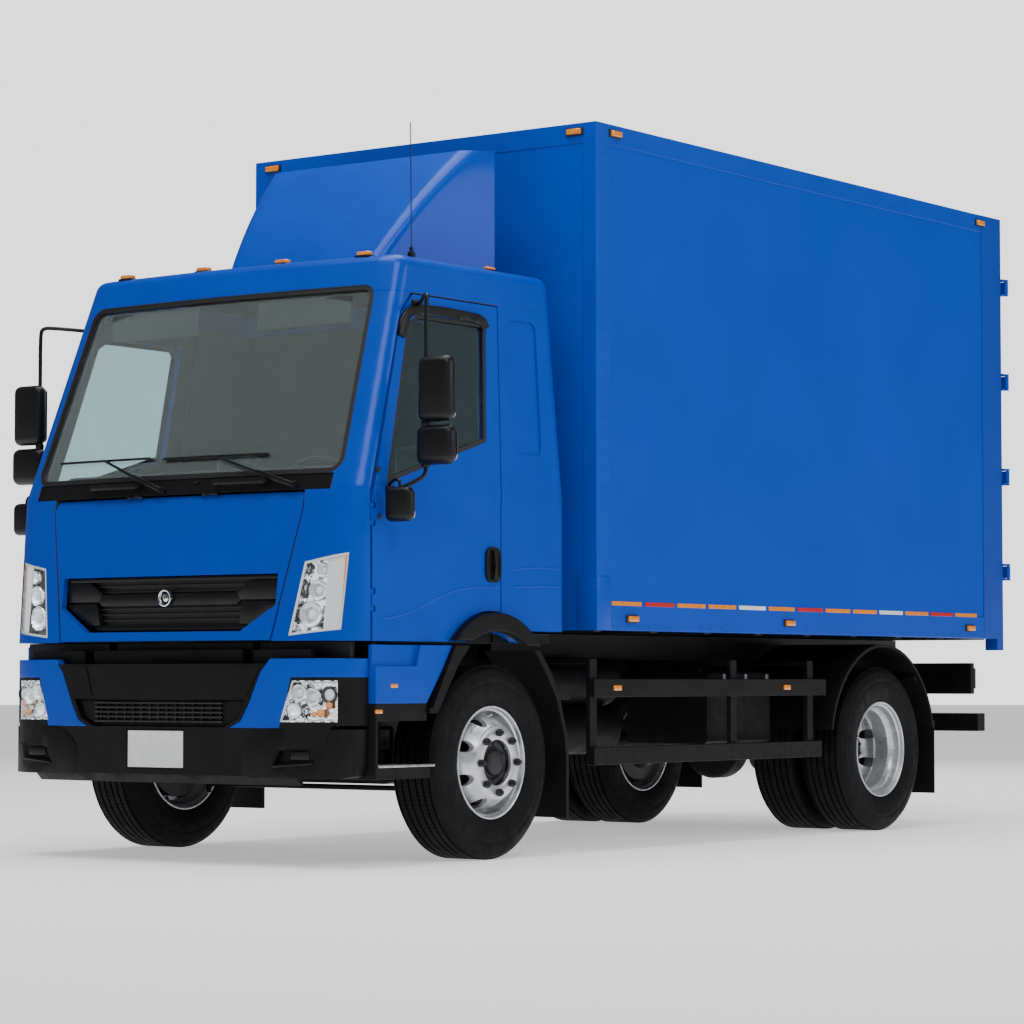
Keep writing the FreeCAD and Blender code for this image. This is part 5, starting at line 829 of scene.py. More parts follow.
HAND_HOLE = {"circle": 0.206, "radius": 0.0285, "count": 8}
MOUNT_FACE = 0.158               # where the wheel meets its hub, out from its middle
BARREL = [(0.118, 0.262), (0.1235, 0.2605), (0.1245, 0.256), (0.1225, 0.2515), (0.114, 0.249),
          (0.106, 0.2475), (0.1, 0.2395), (0.075, 0.237), (0.058, 0.231), (0.044, 0.2155),
          (-0.044, 0.2155), (-0.058, 0.231), (-0.075, 0.237), (-0.1, 0.2395), (-0.106, 0.2475),
          (-0.114, 0.249), (-0.1225, 0.2515), (-0.1245, 0.256), (-0.1235, 0.2605), (-0.118, 0.262)]
BARREL_BACK = [(-0.112, 0.2555), (-0.1, 0.2475), (-0.07, 0.245), (-0.05, 0.236), (-0.038, 0.2225),
               (0.038, 0.2225), (0.05, 0.236), (0.07, 0.245), (0.1, 0.2475), (0.112, 0.2555)]
CONE_FRONT = [(0.04, 0.2155), (0.072, 0.2165), (0.092, 0.211), (0.106, 0.204), (0.14, 0.181),
              (0.149, 0.174), (0.155, 0.1705), (MOUNT_FACE, 0.166), (MOUNT_FACE, 0.112),
              (0.155, 0.106)]
CONE_BACK = [(0.141, 0.106), (0.141, 0.162), (0.13, 0.169), (0.096, 0.192), (0.082, 0.2),
             (0.066, 0.204), (0.04, 0.204)]


def wheel_shape(bm, centre, side, face):
    """A pressed steel wheel: rolled lips, drop-centre barrel, cone with hand holes and its face."""
    axis = (side, 0, 0)
    spun(bm, BARREL + BARREL_BACK + BARREL[:1], centre, axis, 96, UP)
    turn = 1 if face > 0 else -1
    cone = bmesh.new()
    profile = [(along * turn, wide) for along, wide in CONE_FRONT + CONE_BACK + CONE_FRONT[:1]]
    spun(cone, profile, centre, axis, 96, UP)
    straightened(cone)
    drills = bmesh.new()
    for spot in around(HAND_HOLE["count"], HAND_HOLE["circle"], 0.5):
        disc(drills, Vector(centre) + spot + Vector(axis) * turn * 0.1, axis,
             HAND_HOLE["radius"], 0.2, 24)
    joined(bm, carved(cone, drills))


def nut_ring(bm, centre, side, sizes, face):
    """The wheel nuts on their circle, standing on the mounting face."""
    for spot in around(sizes.nut_count, sizes.nut_circle):
        hexagon_nut(bm, Vector(centre) + spot + Vector((side * face, 0, 0)), (side, 0, 0),
                    0.035, 0.024)


def valve(bm, centre, side, face):
    start = Vector(centre) + Vector((side * face, 0, 0.212))
    disc(bm, start, (side, 0, 0.25), 0.004, 0.05, 10)
    disc(bm, start + Vector((side * 0.026, 0, 0.006)), (side, 0, 0.25), 0.0055, 0.012, 10, 0.001)


FRONT_BOLTS = {"count": 6, "circle": 0.084, "turned": 0.0, "face": 0.135, "radius": 0.0065,
               "depth": 0.008}
REAR_BOLTS = {"count": 8, "circle": 0.066, "turned": 0.5, "face": -0.044, "radius": 0.0075,
              "depth": 0.01}
FRONT_HUB = [(0.15, 0.0), (0.1515, 0.03), (0.149, 0.05), (0.143, 0.0575), (0.128, 0.0625),
             (0.124, 0.07), (0.132, 0.078), (0.134, 0.092), (0.131, 0.1055), (0.09, 0.1075),
             (0.09, 0.0)]
FRONT_DRUM = [(-0.075, 0.07), (-0.07, 0.195), (0.03, 0.197), (0.036, 0.19), (0.038, 0.12),
              (0.075, 0.105), (0.095, 0.105), (0.095, 0.07), (-0.075, 0.07)]
REAR_HUB = [(-0.048, 0.0), (-0.0455, 0.05), (-0.046, 0.07), (-0.052, 0.082), (-0.062, 0.0865),
            (-0.128, 0.089), (-0.132, 0.094), (-0.134, 0.1045), (-0.17, 0.1065), (-0.17, 0.0)]
REAR_DRUM = [(-0.09, 0.09), (-0.085, 0.196), (0.035, 0.198), (0.042, 0.19), (0.046, 0.12),
             (0.13, 0.104), (0.13, 0.07), (-0.09, 0.09)]


class TRUCK_OT_wheels(bpy.types.Operator):
    """Model the steel wheels with hand holes, nuts, hubs and valves"""
    bl_idname = "truck.wheels"
    bl_label = "Wheels"

    def execute(self, context):
        sizes = context.scene.truck_sizes
        for name, side in SIDES:
            centre, = front_places(name)
            outer, inner = rear_places(name, side)
            for end, rims, body, faces, parts, nuts, bolts, stem in (
                    ("front_wheel", "rim_front", f"wheel_front_{name}",
                     ((centre, MOUNT_FACE),), ((centre, FRONT_HUB), (centre, FRONT_DRUM)),
                     MOUNT_FACE - 0.002, FRONT_BOLTS, 0.094),
                    ("rear_wheels", "rims_rear", f"wheels_rear_{name}",
                     ((outer, -MOUNT_FACE), (inner, MOUNT_FACE)),
                     ((outer, REAR_HUB), (inner, REAR_DRUM)), -0.143, REAR_BOLTS, -0.094)):
                bm = bmesh.new()
                for place, face in faces:
                    wheel_shape(bm, place, side, face)
                piece(f"{end}_{name}", bm, "wheel_steel", body, replaces=[f"{rims}_{name}"])
                bm = bmesh.new()
                for place, profile in parts:
                    spun(bm, profile, place, (side, 0, 0), 48, UP)
                middle = Vector(parts[0][0])
                nut_ring(bm, middle, side, sizes, nuts)
                for spot in around(bolts["count"], bolts["circle"], bolts["turned"]):
                    disc(bm, middle + spot + Vector((side * bolts["face"], 0, 0)), (side, 0, 0),
                         bolts["radius"], bolts["depth"], 6, 0.0008)
                piece(f"{end.split('_')[0]}_hub_{name}", bm, "hub_iron", body)
                bm = bmesh.new()
                valve(bm, middle, side, stem)
                piece(f"{end.split('_')[0]}_valve_{name}", bm, "chrome", body)
        return {"FINISHED"}


# Front of the cab

HEADLAMP_PANELS = (("frosted", 0.905, 0.010, 0.004), ("amber", 0.979, 0.005, 0.003))
BEAMS = ((0.835, 1.115, 0.056), (0.862, 1.222, 0.046), (0.880, 1.310, 0.032))


def bowl(bm, centre, axis, radius, depth):
    """A round reflector bowl that opens along an axis, with its rim."""
    profile = [(-depth, 0.0), (-depth * 0.94, radius * 0.3), (-depth * 0.7, radius * 0.62),
               (-depth * 0.3, radius * 0.88), (0.0, radius * 0.97), (0.004, radius),
               (0.0, radius * 1.05), (-depth * 0.35, radius * 0.95), (-depth * 0.8, radius * 0.65),
               (-depth * 1.05, radius * 0.3), (-depth * 1.1, 0.0)]
    spun(bm, profile, centre, axis, 32)


def ball(bm, centre, axis, radius, depth):
    """A shallow round lens that bulges along an axis."""
    profile = [(0.0, radius)]
    for step in range(1, 7):
        angle = math.pi / 2 * step / 6
        profile.append((depth * math.sin(angle), radius * math.cos(angle)))
    spun(bm, profile + [(-0.004, 0.0), (-0.004, radius), (0.0, radius)], centre, axis, 32)


def bucket(bm, lip, depth):
    """Sink an open sheet into a box behind its edge and give it a wall."""
    made = bmesh.ops.inset_region(bm, faces=bm.faces, thickness=lip, use_boundary=True)
    rim = set(made["faces"])
    floor = [face for face in bm.faces if face not in rim]
    moved = bmesh.ops.extrude_face_region(bm, geom=floor)
    verts = [item for item in moved["geom"] if isinstance(item, bmesh.types.BMVert)]
    bmesh.ops.delete(bm, geom=floor, context="FACES_ONLY")
    bmesh.ops.translate(bm, verts=verts, vec=depth)
    bmesh.ops.solidify(bm, geom=bm.faces, thickness=0.002)


def kept_side(bm, side, place):
    """Keep what lies further out than a distance from the middle."""
    bmesh.ops.bisect_plane(bm, geom=bm.verts[:] + bm.edges[:] + bm.faces[:],
                           plane_co=(side * place, 0, 0), plane_no=(side, 0, 0),
                           clear_inner=True)


def lamp_shell(prefix, node, body, depth, keep=None):
    """A lamp's bright housing behind its face, and the clear lens over it."""
    bm = patch(node, FRONT, 0.35, keep)
    bucket(bm, 0.004, Vector((0, depth, 0)))
    piece(prefix + "_housing", bm, "reflector", body, replaces=[node])
    bm = patch(node, FRONT, 0.35, keep)
    thickened(bm, Vector((0, 0.003, 0)))
    piece(prefix + "_lens", bm, "lamp_lens", body, replaces=[node])


class TRUCK_OT_headlamps(bpy.types.Operator):
    """Model the headlamps: housing, reflector bowls, frosted panel, amber edge and clear lens"""
    bl_idname = "truck.headlamps"
    bl_label = "Headlamps"

    def execute(self, context):
        lamp_shell("headlamp", "headlamps", "cab", 0.075)
        edging("headlamp_edge", "headlamps", FRONT, 0.011, 0.006, "white_lens", "cab", rise=-0.004)
        bowls = bmesh.new()
        bulbs = bmesh.new()
        for name, side in SIDES:
            for wide, high, radius in BEAMS:
                at = ahead_of("headlamps", side * wide, high)
                axis = Vector((side * 0.22, -1, 0))
                centre = at + Vector((0, 0.016, 0))
                bowl(bowls, centre, axis, radius, radius * 0.75)
                ball(bulbs, centre + Vector((0, 0.012, 0)), axis, radius * 0.42, radius * 0.3)
            for kind, inner, behind, thick in HEADLAMP_PANELS:
                panel = patch("headlamps", FRONT)
                kept_side(panel, side, inner)
                bmesh.ops.translate(panel, verts=panel.verts, vec=(-side * 0.003, behind, 0))
                thickened(panel, Vector((0, thick, 0)))
                piece(f"headlamp_{kind}_{name}", panel, kind + "_lens", "cab")
        piece("headlamp_bowls", bowls, "reflector", "cab")
        piece("headlamp_bulbs", bulbs, "white_lens", "cab")
        return {"FINISHED"}


CORNER_OUTLINE = ((0.640, 0.610), (0.585, 0.594), (0.542, 0.566), (0.508, 0.528),
                  (0.496, 0.490), (0.496, 0.440), (0.506, 0.418), (0.528, 0.402), (0.562, 0.394),
                  (0.985, 0.394), (1.015, 0.404), (1.028, 0.428), (1.034, 0.470), (1.036, 0.610))
FOG_POCKET = ((0.676, 0.452), (0.708, 0.516), (0.925, 0.540), (0.905, 0.492), (0.882, 0.467))
FRONT_SKIN = ("front_bumper", "lamps", "bumper_corners")
SEAL_EAR = (0.300, 0.430)
SEAL_CORNER = (0.880, 1.010)
SEAL_RUNS = ((0.0, 0.419), SEAL_EAR, (0.461, 0.985), SEAL_CORNER)


def bumper_corner(side):
    """The lower corner of the bumper: a moulded block with a fog lamp pocket."""
    curve = []
    for step in range(19):
        wide = 0.46 + (1.036 - 0.46) * math.sin(math.pi / 2 * step / 18)
        place = ahead_of(FRONT_SKIN, side * wide, 0.70)
        curve.append((place.x, place.y - 0.005, 0.30))
    back = FRONT_AXLE - 0.872
    curve += [(side * 1.0375, back, 0.30), (side * 0.46, back, 0.30)]
    plan = bmesh.new()
    plate(plan, curve, Vector((0, 0, 0.40)))
    straightened(plan)
    shape = bmesh.new()
    plate(shape, spread(CORNER_OUTLINE, side), Vector((0, 0.7, 0)))
    straightened(shape)
    shape = carved(shape, plan, "INTERSECT")
    pocket = bmesh.new()
    deep = ahead_of("front_bumper", side * 0.80, 0.60).y + 0.022
    outline = [(side * wide, deep, high) for wide, high in FOG_POCKET]
    plate(pocket, outline, Vector((0, -0.3, 0)))
    straightened(pocket)
    shape = carved(shape, pocket)
    softer(shape, CRISP + 0.1, 0.004)
    return shape


PLATE_SIZE = (0.335, 0.165)
PLATE_MIDDLE = 0.515


def spread(points, side):
    """Points of a front view, mirrored to a side and set well in front."""
    return [(side * wide, FAR_FRONT, high) for wide, high in points]


PLATE_RIM = 0.008
PLATE_SUNK = 0.0148


def pocketed(bm):
    """Sink a pocket for the plate into the bumper."""
    wide, high = (size / 2 + PLATE_RIM for size in PLATE_SIZE)
    face = ahead_of("front_bumper", 0, PLATE_MIDDLE).y
    cutter = bmesh.new()
    block(cutter, (-wide, face - 0.05, PLATE_MIDDLE - high),
          (wide, face + PLATE_SUNK, PLATE_MIDDLE + high))
    return carved(bm, cutter)


BEAM_BOWLS = ((0.798, 0.77, 0.038), (0.865, 0.752, 0.04))
BEAM_AMBERS = ((0.932, 0.716, 0.017), (0.898, 0.682, 0.02), (0.868, 0.676, 0.013))
UPPER_FACET = ((0.402, 0.752), (0.44, 0.89), (0.604, 0.89), (0.53, 0.752))
LOWER_FACET = ((0.38, 0.624), (0.385, 0.732), (0.5, 0.732), (0.455, 0.652))
INTAKE_RUNS = ((-0.39, -0.13), (-0.13, 0.13), (0.13, 0.39))


class TRUCK_OT_bumper(bpy.types.Operator):
    """Dress the bumper: lamps, corners, intake bars, facets, fog lips and the blank plate"""
    bl_idname = "truck.bumper"
    bl_label = "Bumper"

    def execute(self, context):
        def beam(place):
            return place.z < 1 and place.y < -2

        softened("front_bumper", "bumper_shell", "black_plastic", "chassis",
                 0.004, shape=pocketed)
        softened("bumper_corners", "bumper_corner_panels", "cab_paint", "chassis",
                 0.005, 3, 0.35)
        lamp_shell("beam", "lamps", "chassis", 0.06, beam)
        bm = patch("lamps", FRONT, 0.35, beam)
        made = bmesh.ops.inset_region(bm, faces=bm.faces, thickness=0.008, use_boundary=True)
        strip = set(made["faces"])
        bmesh.ops.delete(bm, geom=[face for face in bm.faces if face not in strip],
                         context="FACES")
        bmesh.ops.translate(bm, verts=bm.verts, vec=(0, 0.004, 0))
        thickened(bm, Vector((0, 0.006, 0)))
        piece("beam_edge", bm, "white_lens", "chassis")
        bowls, ambers, rings, domes = bmesh.new(), bmesh.new(), bmesh.new(), bmesh.new()
        for side in (1, -1):
            axis = Vector((side * 0.15, -1, 0))
            for wide, high, radius in BEAM_BOWLS:
                at = ahead_of("lamps", side * wide, high)
                bowl(bowls, at + Vector((0, 0.014, 0)), axis, radius, radius * 0.7)
                ball(domes, at + Vector((0, 0.024, 0)), axis, radius * 0.45, radius * 0.3)
            at = ahead_of("lamps", side * 0.932, 0.762)
            bowl(rings, at + Vector((0, 0.012, 0)), axis, 0.036, 0.02)
            ball(domes, at + Vector((0, 0.022, 0)), axis, 0.027, 0.012)
            for wide, high, radius in BEAM_AMBERS:
                at = ahead_of("lamps", side * wide, high)
                ball(ambers, at + Vector((0, 0.016, 0)), axis, radius, radius * 0.5)
            bowl(bowls, ahead_of("lamps", side * 0.775, 0.690)
                 + Vector((0, 0.014, 0)), axis, 0.034, 0.024)
        piece("beam_bowls", bowls, "reflector", "chassis")
        piece("beam_domes", domes, "white_lens", "chassis")
        piece("beam_rings", rings, "gasket_rubber", "chassis")
        piece("beam_ambers", ambers, "amber_lens", "chassis")

        for name, side in SIDES:
            bm = bumper_corner(side)
            piece(f"bumper_corner_{name}", bm, "black_plastic", "chassis")
        bm = bmesh.new()
        for first, last in SEAL_RUNS:
            for side in (1, -1):
                lead = -0.810 if (first, last) in (SEAL_EAR, SEAL_CORNER) else -0.930
                rounded_block(bm, *on_side(side, (first, FRONT_AXLE + lead, 0.880),
                                           (last, FRONT_AXLE + lead + 0.030, 0.998)), 0.004)
        piece("cab_gap_seal", bm, "gasket_rubber", "chassis")
        bm = bmesh.new()
        for side in (1, -1):
            laid(bm, "front_bumper", spread(UPPER_FACET, side), REAR, -0.001, 0.005)
            laid(bm, "front_bumper", spread(LOWER_FACET, side), REAR, -0.001, 0.012)
        piece("bumper_facets", bm, "black_plastic", "chassis")
        bm = bmesh.new()
        for step in range(5):
            high = 0.640 + step * 0.021
            at = ahead_of("front_bumper", 0, high)
            for first, last in INTAKE_RUNS:
                block(bm, (first, at.y - 0.014, high - 0.004), (last, at.y + 0.002, high + 0.004),
                      0.0015)
        for step in range(-7, 8):
            at = ahead_of("front_bumper", step * 0.052, 0.68)
            block(bm, (step * 0.052 - 0.003, at.y - 0.010, 0.632),
                  (step * 0.052 + 0.003, at.y + 0.004, 0.732), 0.001)
        piece("intake_bars", bm, "gasket_rubber", "chassis")
        bm = bmesh.new()
        for side in (1, -1):
            lip = [ahead_of("front_bumper", side * wide, high)
                   + Vector((0, -0.008, 0)) for wide, high in ((0.680, 0.446), (0.880, 0.440))]
            lip[1].z = 0.461
            bar(bm, lip[0], lip[1], 0.010, 0.010)
            middle = ahead_of("front_bumper", side * 0.80, 0.495)
            soft_pad(bm, middle, (-0.055, -0.012, -0.024), (0.055, 0.004, 0.024), 0.008)
        piece("fog_lips", bm, "mirror_housing", "chassis")

        wide, high = PLATE_SIZE
        face = ahead_of("front_bumper", 0, PLATE_MIDDLE).y + PLATE_SUNK
        bm = bmesh.new()
        block(bm, (-wide / 2 - PLATE_RIM, face - 0.010, PLATE_MIDDLE - high / 2 - PLATE_RIM),
              (wide / 2 + PLATE_RIM, face + 0.004, PLATE_MIDDLE + high / 2 + PLATE_RIM), 0.003)
        piece("plate_holder", bm, "black_plastic", "chassis")
        bm = bmesh.new()
        block(bm, (-wide / 2, face - 0.0125, PLATE_MIDDLE - high / 2),
              (wide / 2, face - 0.009, PLATE_MIDDLE + high / 2))
        shown = [item for item in bm.faces if item.normal.y < -0.9]
        bmesh.ops.inset_individual(bm, faces=shown, thickness=0.006, depth=-0.001)
        for spot in (-0.1, 0.1):
            disc(bm, (spot, face - 0.0125, PLATE_MIDDLE + high * 0.34), FRONT, 0.006,
                 0.004, 12, 0.001)
        piece("number_plate", bm, "plate_white", "chassis")
        return {"FINISHED"}


FLAP_BAND = 1.34
WIPERS = ((-0.060, -0.507, 1.850), (0.706, 0.197, 1.843))
COWL_BARS = ((-0.503, -0.212), (0.265, 0.551))
GRILLE_OUTLINE = ((-0.650, 1.298), (-0.650, 1.162), (-0.468, 1.048), (0.468, 1.048),
                  (0.650, 1.162), (0.650, 1.298))
GRILLE_BARS = (((-0.41, 1.166), (-0.44, 1.190), (-0.42, 1.222), (0.42, 1.222), (0.44, 1.190),
                (0.41, 1.166)),
               ((-0.64, 1.278), (-0.64, 1.297), (0.64, 1.297), (0.64, 1.278)),
               ((-0.45, 1.050), (-0.47, 1.074), (0.47, 1.074), (0.45, 1.050)))
GRILLE_ENDS = (((0.430, 1.186), (0.410, 1.226), (0.490, 1.276), (0.642, 1.276), (0.642, 1.186)),
               ((0.425, 1.078), (0.440, 1.150), (0.452, 1.180), (0.640, 1.180), (0.640, 1.160),
                (0.500, 1.074)))
LEAN_FROM = 1.628
LEAN = 0.74


def leaned_top(bm):
    """Lean the top of the flap back under the cowl."""
    bmesh.ops.bisect_plane(bm, geom=bm.verts[:] + bm.edges[:] + bm.faces[:],
                           plane_co=(0, 0, LEAN_FROM), plane_no=UP)
    for vert in bm.verts:
        if vert.co.z > LEAN_FROM + 0.001:
            wide = max(-0.745, min(0.745, vert.co.x))
            skin = ahead_of("front_flap", wide, LEAN_FROM)
            vert.co.y = max(vert.co.y, min(skin.y + (vert.co.z - LEAN_FROM) * LEAN,
                                           skin.y + 0.026))
    return bm


def bowed(bm, outline, back, thick):
    """A plate of a front-view outline that follows the bow of the flap, set back from it."""
    sheet = bmesh.new()
    face = sheet.faces.new([sheet.verts.new((wide, 0, high)) for wide, high in outline])
    bmesh.ops.triangulate(sheet, faces=[face])
    bmesh.ops.dissolve_limit(sheet, angle_limit=0.01, verts=sheet.verts, edges=sheet.edges)
    for step in range(-9, 10):
        bmesh.ops.bisect_plane(sheet, geom=sheet.verts[:] + sheet.edges[:] + sheet.faces[:],
                               plane_co=(step * 0.068, 0, 0), plane_no=(1, 0, 0))
    for vert in sheet.verts:
        skin = ahead_of("front_flap", vert.co.x, FLAP_BAND)
        vert.co.y = skin.y + back
    thickened(sheet, Vector((0, thick, 0)))
    joined(bm, sheet)


EMBLEM_RING = [(0.0, 0.028), (0.008, 0.031), (0.01, 0.035), (0.008, 0.039), (0.0, 0.042),
               (0.0, 0.028)]


class TRUCK_OT_nose(bpy.types.Operator):
    """Dress the flap, the grille, the cowl and the windshield with its wipers"""
    bl_idname = "truck.nose"
    bl_label = "Nose"

    def execute(self, context):
        sizes = context.scene.truck_sizes
        softened("front_flap", "front_flap_panel", "cab_paint", "front_flap",
                 0.008, 4, 0.5, leaned_top)
        bars, gaps = bmesh.new(), bmesh.new()
        bowed(gaps, GRILLE_OUTLINE, 0.046, 0.004)
        for step in range(9):
            high = 1.072 + step * 0.026
            bowed(gaps, [(-0.60, high), (0.60, high), (0.60, high + 0.007),
                         (-0.60, high + 0.007)], 0.030, 0.012)
        for outline in GRILLE_BARS:
            bowed(bars, outline, 0.012, 0.024)
        for side in (1, -1):
            for outline in GRILLE_ENDS:
                bowed(bars, [(side * wide, high) for wide, high in outline], 0.010, 0.028)
        softer(bars, CORNER, 0.0045)
        piece("grille_bars", bars, "mirror_housing", "front_flap", replaces=["upper_grille"])
        piece("grille_backing", gaps, "gasket_rubber", "front_flap", replaces=["upper_grille"])
        softened("cowl", "cowl_panel", "mirror_housing", "cab", 0.004)
        bm = bmesh.new()
        at = ahead_of("front_flap", 0, FLAP_BAND) + Vector((0, 0.008, 0))
        at.z = 1.200
        disc(bm, at + Vector((0, -0.002, 0)), FRONT, 0.018, 0.010, 40, 0.003)
        made = bmesh.new()
        spun(made, EMBLEM_RING, at + Vector((0, -0.007, 0)), FRONT, 48)
        joined(bm, made)
        piece("plain_emblem", bm, "chrome", "front_flap")

        edging("windshield_gasket", "windshield", FRONT, 0.024, 0.011, "gasket_rubber",
               "cab", 0.35, -0.001)
        bm = bmesh.new()
        rubber = bmesh.new()
        for pivot, middle, high in WIPERS:
            foot = ahead_of("cowl", pivot, 1.695)
            disc(bm, foot + Vector((0, -0.012, 0)), (0, -1, 0.25), 0.017, 0.030, 20, 0.003)
            disc(bm, foot + Vector((0, -0.030, 0.002)), (0, -1, 0.25), 0.010, 0.012, 12, 0.002)
            glass = ahead_of("windshield", middle, high)
            head = foot + Vector((0, -0.024, 0))
            tip = glass + Vector((0.02, -0.022, 0))
            knee = head.lerp(tip, 0.45) + Vector((0, -0.012, 0))
            bar(bm, head, knee, 0.022, 0.012)
            bar(bm, knee, tip, 0.012, 0.008)
            half = sizes.wiper_length / 2
            steps = 10
            line = []
            for step in range(steps + 1):
                along = middle + half * (2 * step / steps - 1)
                along = max(-0.80, min(0.80, along))
                line.append(ahead_of("windshield", along, high))
            for first, last in zip(line, line[1:]):
                bar(bm, first + Vector((0, -0.014, 0.001)), last + Vector((0, -0.014, 0.001)),
                    0.011, 0.006)
                bar(rubber, first + Vector((0, -0.006, 0)), last + Vector((0, -0.006, 0)),
                    0.004, 0.012)
        piece("wiper_arms", bm, "mirror_housing", "cab")
        piece("wiper_blades", rubber, "gasket_rubber", "cab")
        bm = bmesh.new()
        for first, last in COWL_BARS:
            ends = [ahead_of("cowl", place, 1.715)
                    for place in (first, last)]
            out = Vector((0, -0.034, 0.004))
            for end in ends:
                bar(bm, end + Vector((0, 0.004, 0)), end + out, 0.022, 0.018)
            bar(bm, ends[0] + out, ends[1] + out, 0.026, 0.018)
        for place in (-0.40, 0.13, 0.62):
            at = ahead_of("cowl", place, 1.728)
            soft_pad(bm, at, (-0.012, -0.012, -0.006), (0.012, 0.006, 0.006), 0.004)
        piece("cowl_bars", bm, "mirror_housing", "cab")
        return {"FINISHED"}


# Sides of the cab

def beside(points, side):
    """Points of a side view, measured back from the front axle, set well outside."""
    return [(side * FAR_OUT, FRONT_AXLE + back, high) for back, high in points]


def rounded_outline(low, high, radius, steps=5):
    """A rectangle with round corners, as points of a side view."""
    left, right = low[0] + radius, high[0] - radius
    foot, head = low[1] + radius, high[1] - radius
    points = []
    for centre, first in (((right, head), 0), ((left, head), 90), ((left, foot), 180),
                          ((right, foot), 270)):
        for step in range(steps + 1):
            angle = math.radians(first + 90 * step / steps)
            points.append((centre[0] + radius * math.cos(angle),
                           centre[1] + radius * math.sin(angle)))
    return points


VISOR = ((-0.585, 2.375), (-0.563, 2.440), (-0.525, 2.486), (-0.450, 2.510), (-0.250, 2.516),
         (0.005, 2.508), (0.046, 2.496), (0.064, 2.465))
DOOR_FACE = 1.0525
HANDLE = {"middle": (0.026, 1.360), "half": (0.058, 0.082)}
DOOR_CREASE = ((-0.800, 1.098), (-0.740, 1.104), (-0.645, 1.118), (-0.520, 1.156),
               (-0.418, 1.190), (-0.320, 1.222), (-0.228, 1.242), (-0.100, 1.254),
               (0.070, 1.258))


class TRUCK_OT_doors(bpy.types.Operator):
    """Dress the cab doors: soft panels, window edges, rain visors, handles and creases"""
    bl_idname = "truck.doors"
    bl_label = "Cab doors"

    def execute(self, context):
        for name, side in SIDES:
            body = f"door_{name}"
            out = (side, 0, 0)
            inward = (-side, 0, 0)
            bm = copied(f"door_{name}")
            proud = [face for face in bm.faces
                     if max(abs(vert.co.x) for vert in face.verts) > DOOR_FACE]
            bmesh.ops.delete(bm, geom=proud, context="FACES")
            bmesh.ops.holes_fill(bm, edges=[edge for edge in bm.edges if edge.is_boundary])
            flattened(bm)
            softer(bm, CRISP, 0.004)
            even_shaded(piece(f"door_panel_{name}", bm, "cab_paint", body,
                              replaces=[f"door_{name}"]))
            edging(f"door_window_edge_{name}", f"door_glass_{name}", out, 0.020, 0.011,
                   "gasket_rubber", body, 0.5, -0.002)
            bm = bmesh.new()
            laid(bm, (f"door_{name}", f"door_glass_{name}", "cab_corners"),
                 ribbon(beside(VISOR, side), 0.046), inward, -0.004, 0.020)
            softer(bm, CORNER, 0.004)
            piece(f"rain_visor_{name}", bm, "mirror_housing", body)
            bm = bmesh.new()
            laid(bm, f"door_{name}", ribbon(beside(DOOR_CREASE, side), 0.010), inward,
                 -0.002, 0.0042)
            softer(bm, CORNER, 0.0019, 3)
            piece(f"door_crease_{name}", bm, "cab_paint", body)

            (back, high), (half, tall) = HANDLE["middle"], HANDLE["half"]
            face = beside_of(f"door_{name}", side, FRONT_AXLE + back, high + 0.06).x
            bm = bmesh.new()
            oval = rounded_outline((back - half, high - tall), (back + half, high + tall),
                                   0.044, 8)
            plate(bm, [(face - side * 0.004, FRONT_AXLE + a, b) for a, b in oval],
                  Vector((side * 0.014, 0, 0)))
            straightened(bm)
            shown = max((item for item in bm.faces if item.normal.x * side > 0.9),
                        key=lambda item: item.calc_area())
            bmesh.ops.inset_region(bm, faces=[shown], thickness=0.008)
            bmesh.ops.inset_region(bm, faces=[shown], thickness=0.004, depth=-0.0075)
            pull = Vector((face, FRONT_AXLE + back, high))
            bar(bm, pull + Vector((side * 0.006, 0, tall * 0.80)),
                pull + Vector((side * 0.012, 0, 0)), 0.026, 0.010)
            bar(bm, pull + Vector((side * 0.012, 0, 0)),
                pull + Vector((side * 0.006, 0, -tall * 0.80)), 0.026, 0.010)
            disc(bm, pull + Vector((side * 0.004, 0, -tall * 0.62)), out, 0.011, 0.012, 20, 0.002)
            piece(f"door_handle_{name}", bm, "mirror_housing", body)
            bm = bmesh.new()
            for high in (1.76, 1.55):
                at = beside_of(f"door_{name}", side, FRONT_AXLE - 0.815, high)
                soft_pad(bm, at, (-0.006, -0.012, -0.012), (0.006, 0.012, 0.012), 0.005)
            piece(f"door_stops_{name}", bm, "gasket_rubber", body)
        return {"FINISHED"}


MIRROR = {"out": 1.255, "lead": -0.660, "head_lead": -0.450}
HEADS = ((0.090, 1.972, 2.265, 0.036), (0.100, 1.779, 1.957, 0.042))
SMALL_HEAD = {"out": 1.150, "lead": -0.790, "low": 1.525, "high": 1.680, "half": 0.072}


def mirror_head(heads, glass, side, out, half, lead, foot, head, radius, thick, rim):
    """A rounded mirror housing and the pane in its rear face."""
    low, high = on_side(side, (out - half, lead - thick[0], foot),
                        (out + half, lead + thick[1], head))
    block(heads, low, high, radius, 5)
    outline = rounded_outline((low[0] + rim, foot + rim), (high[0] - rim, head - rim),
                              radius - rim + 0.002)
    pane = bmesh.new()
    plate(pane, [(wide, high[1] - 0.0005, tall) for wide, tall in outline],
          Vector((0, 0.003, 0)))
    joined(glass, pane)


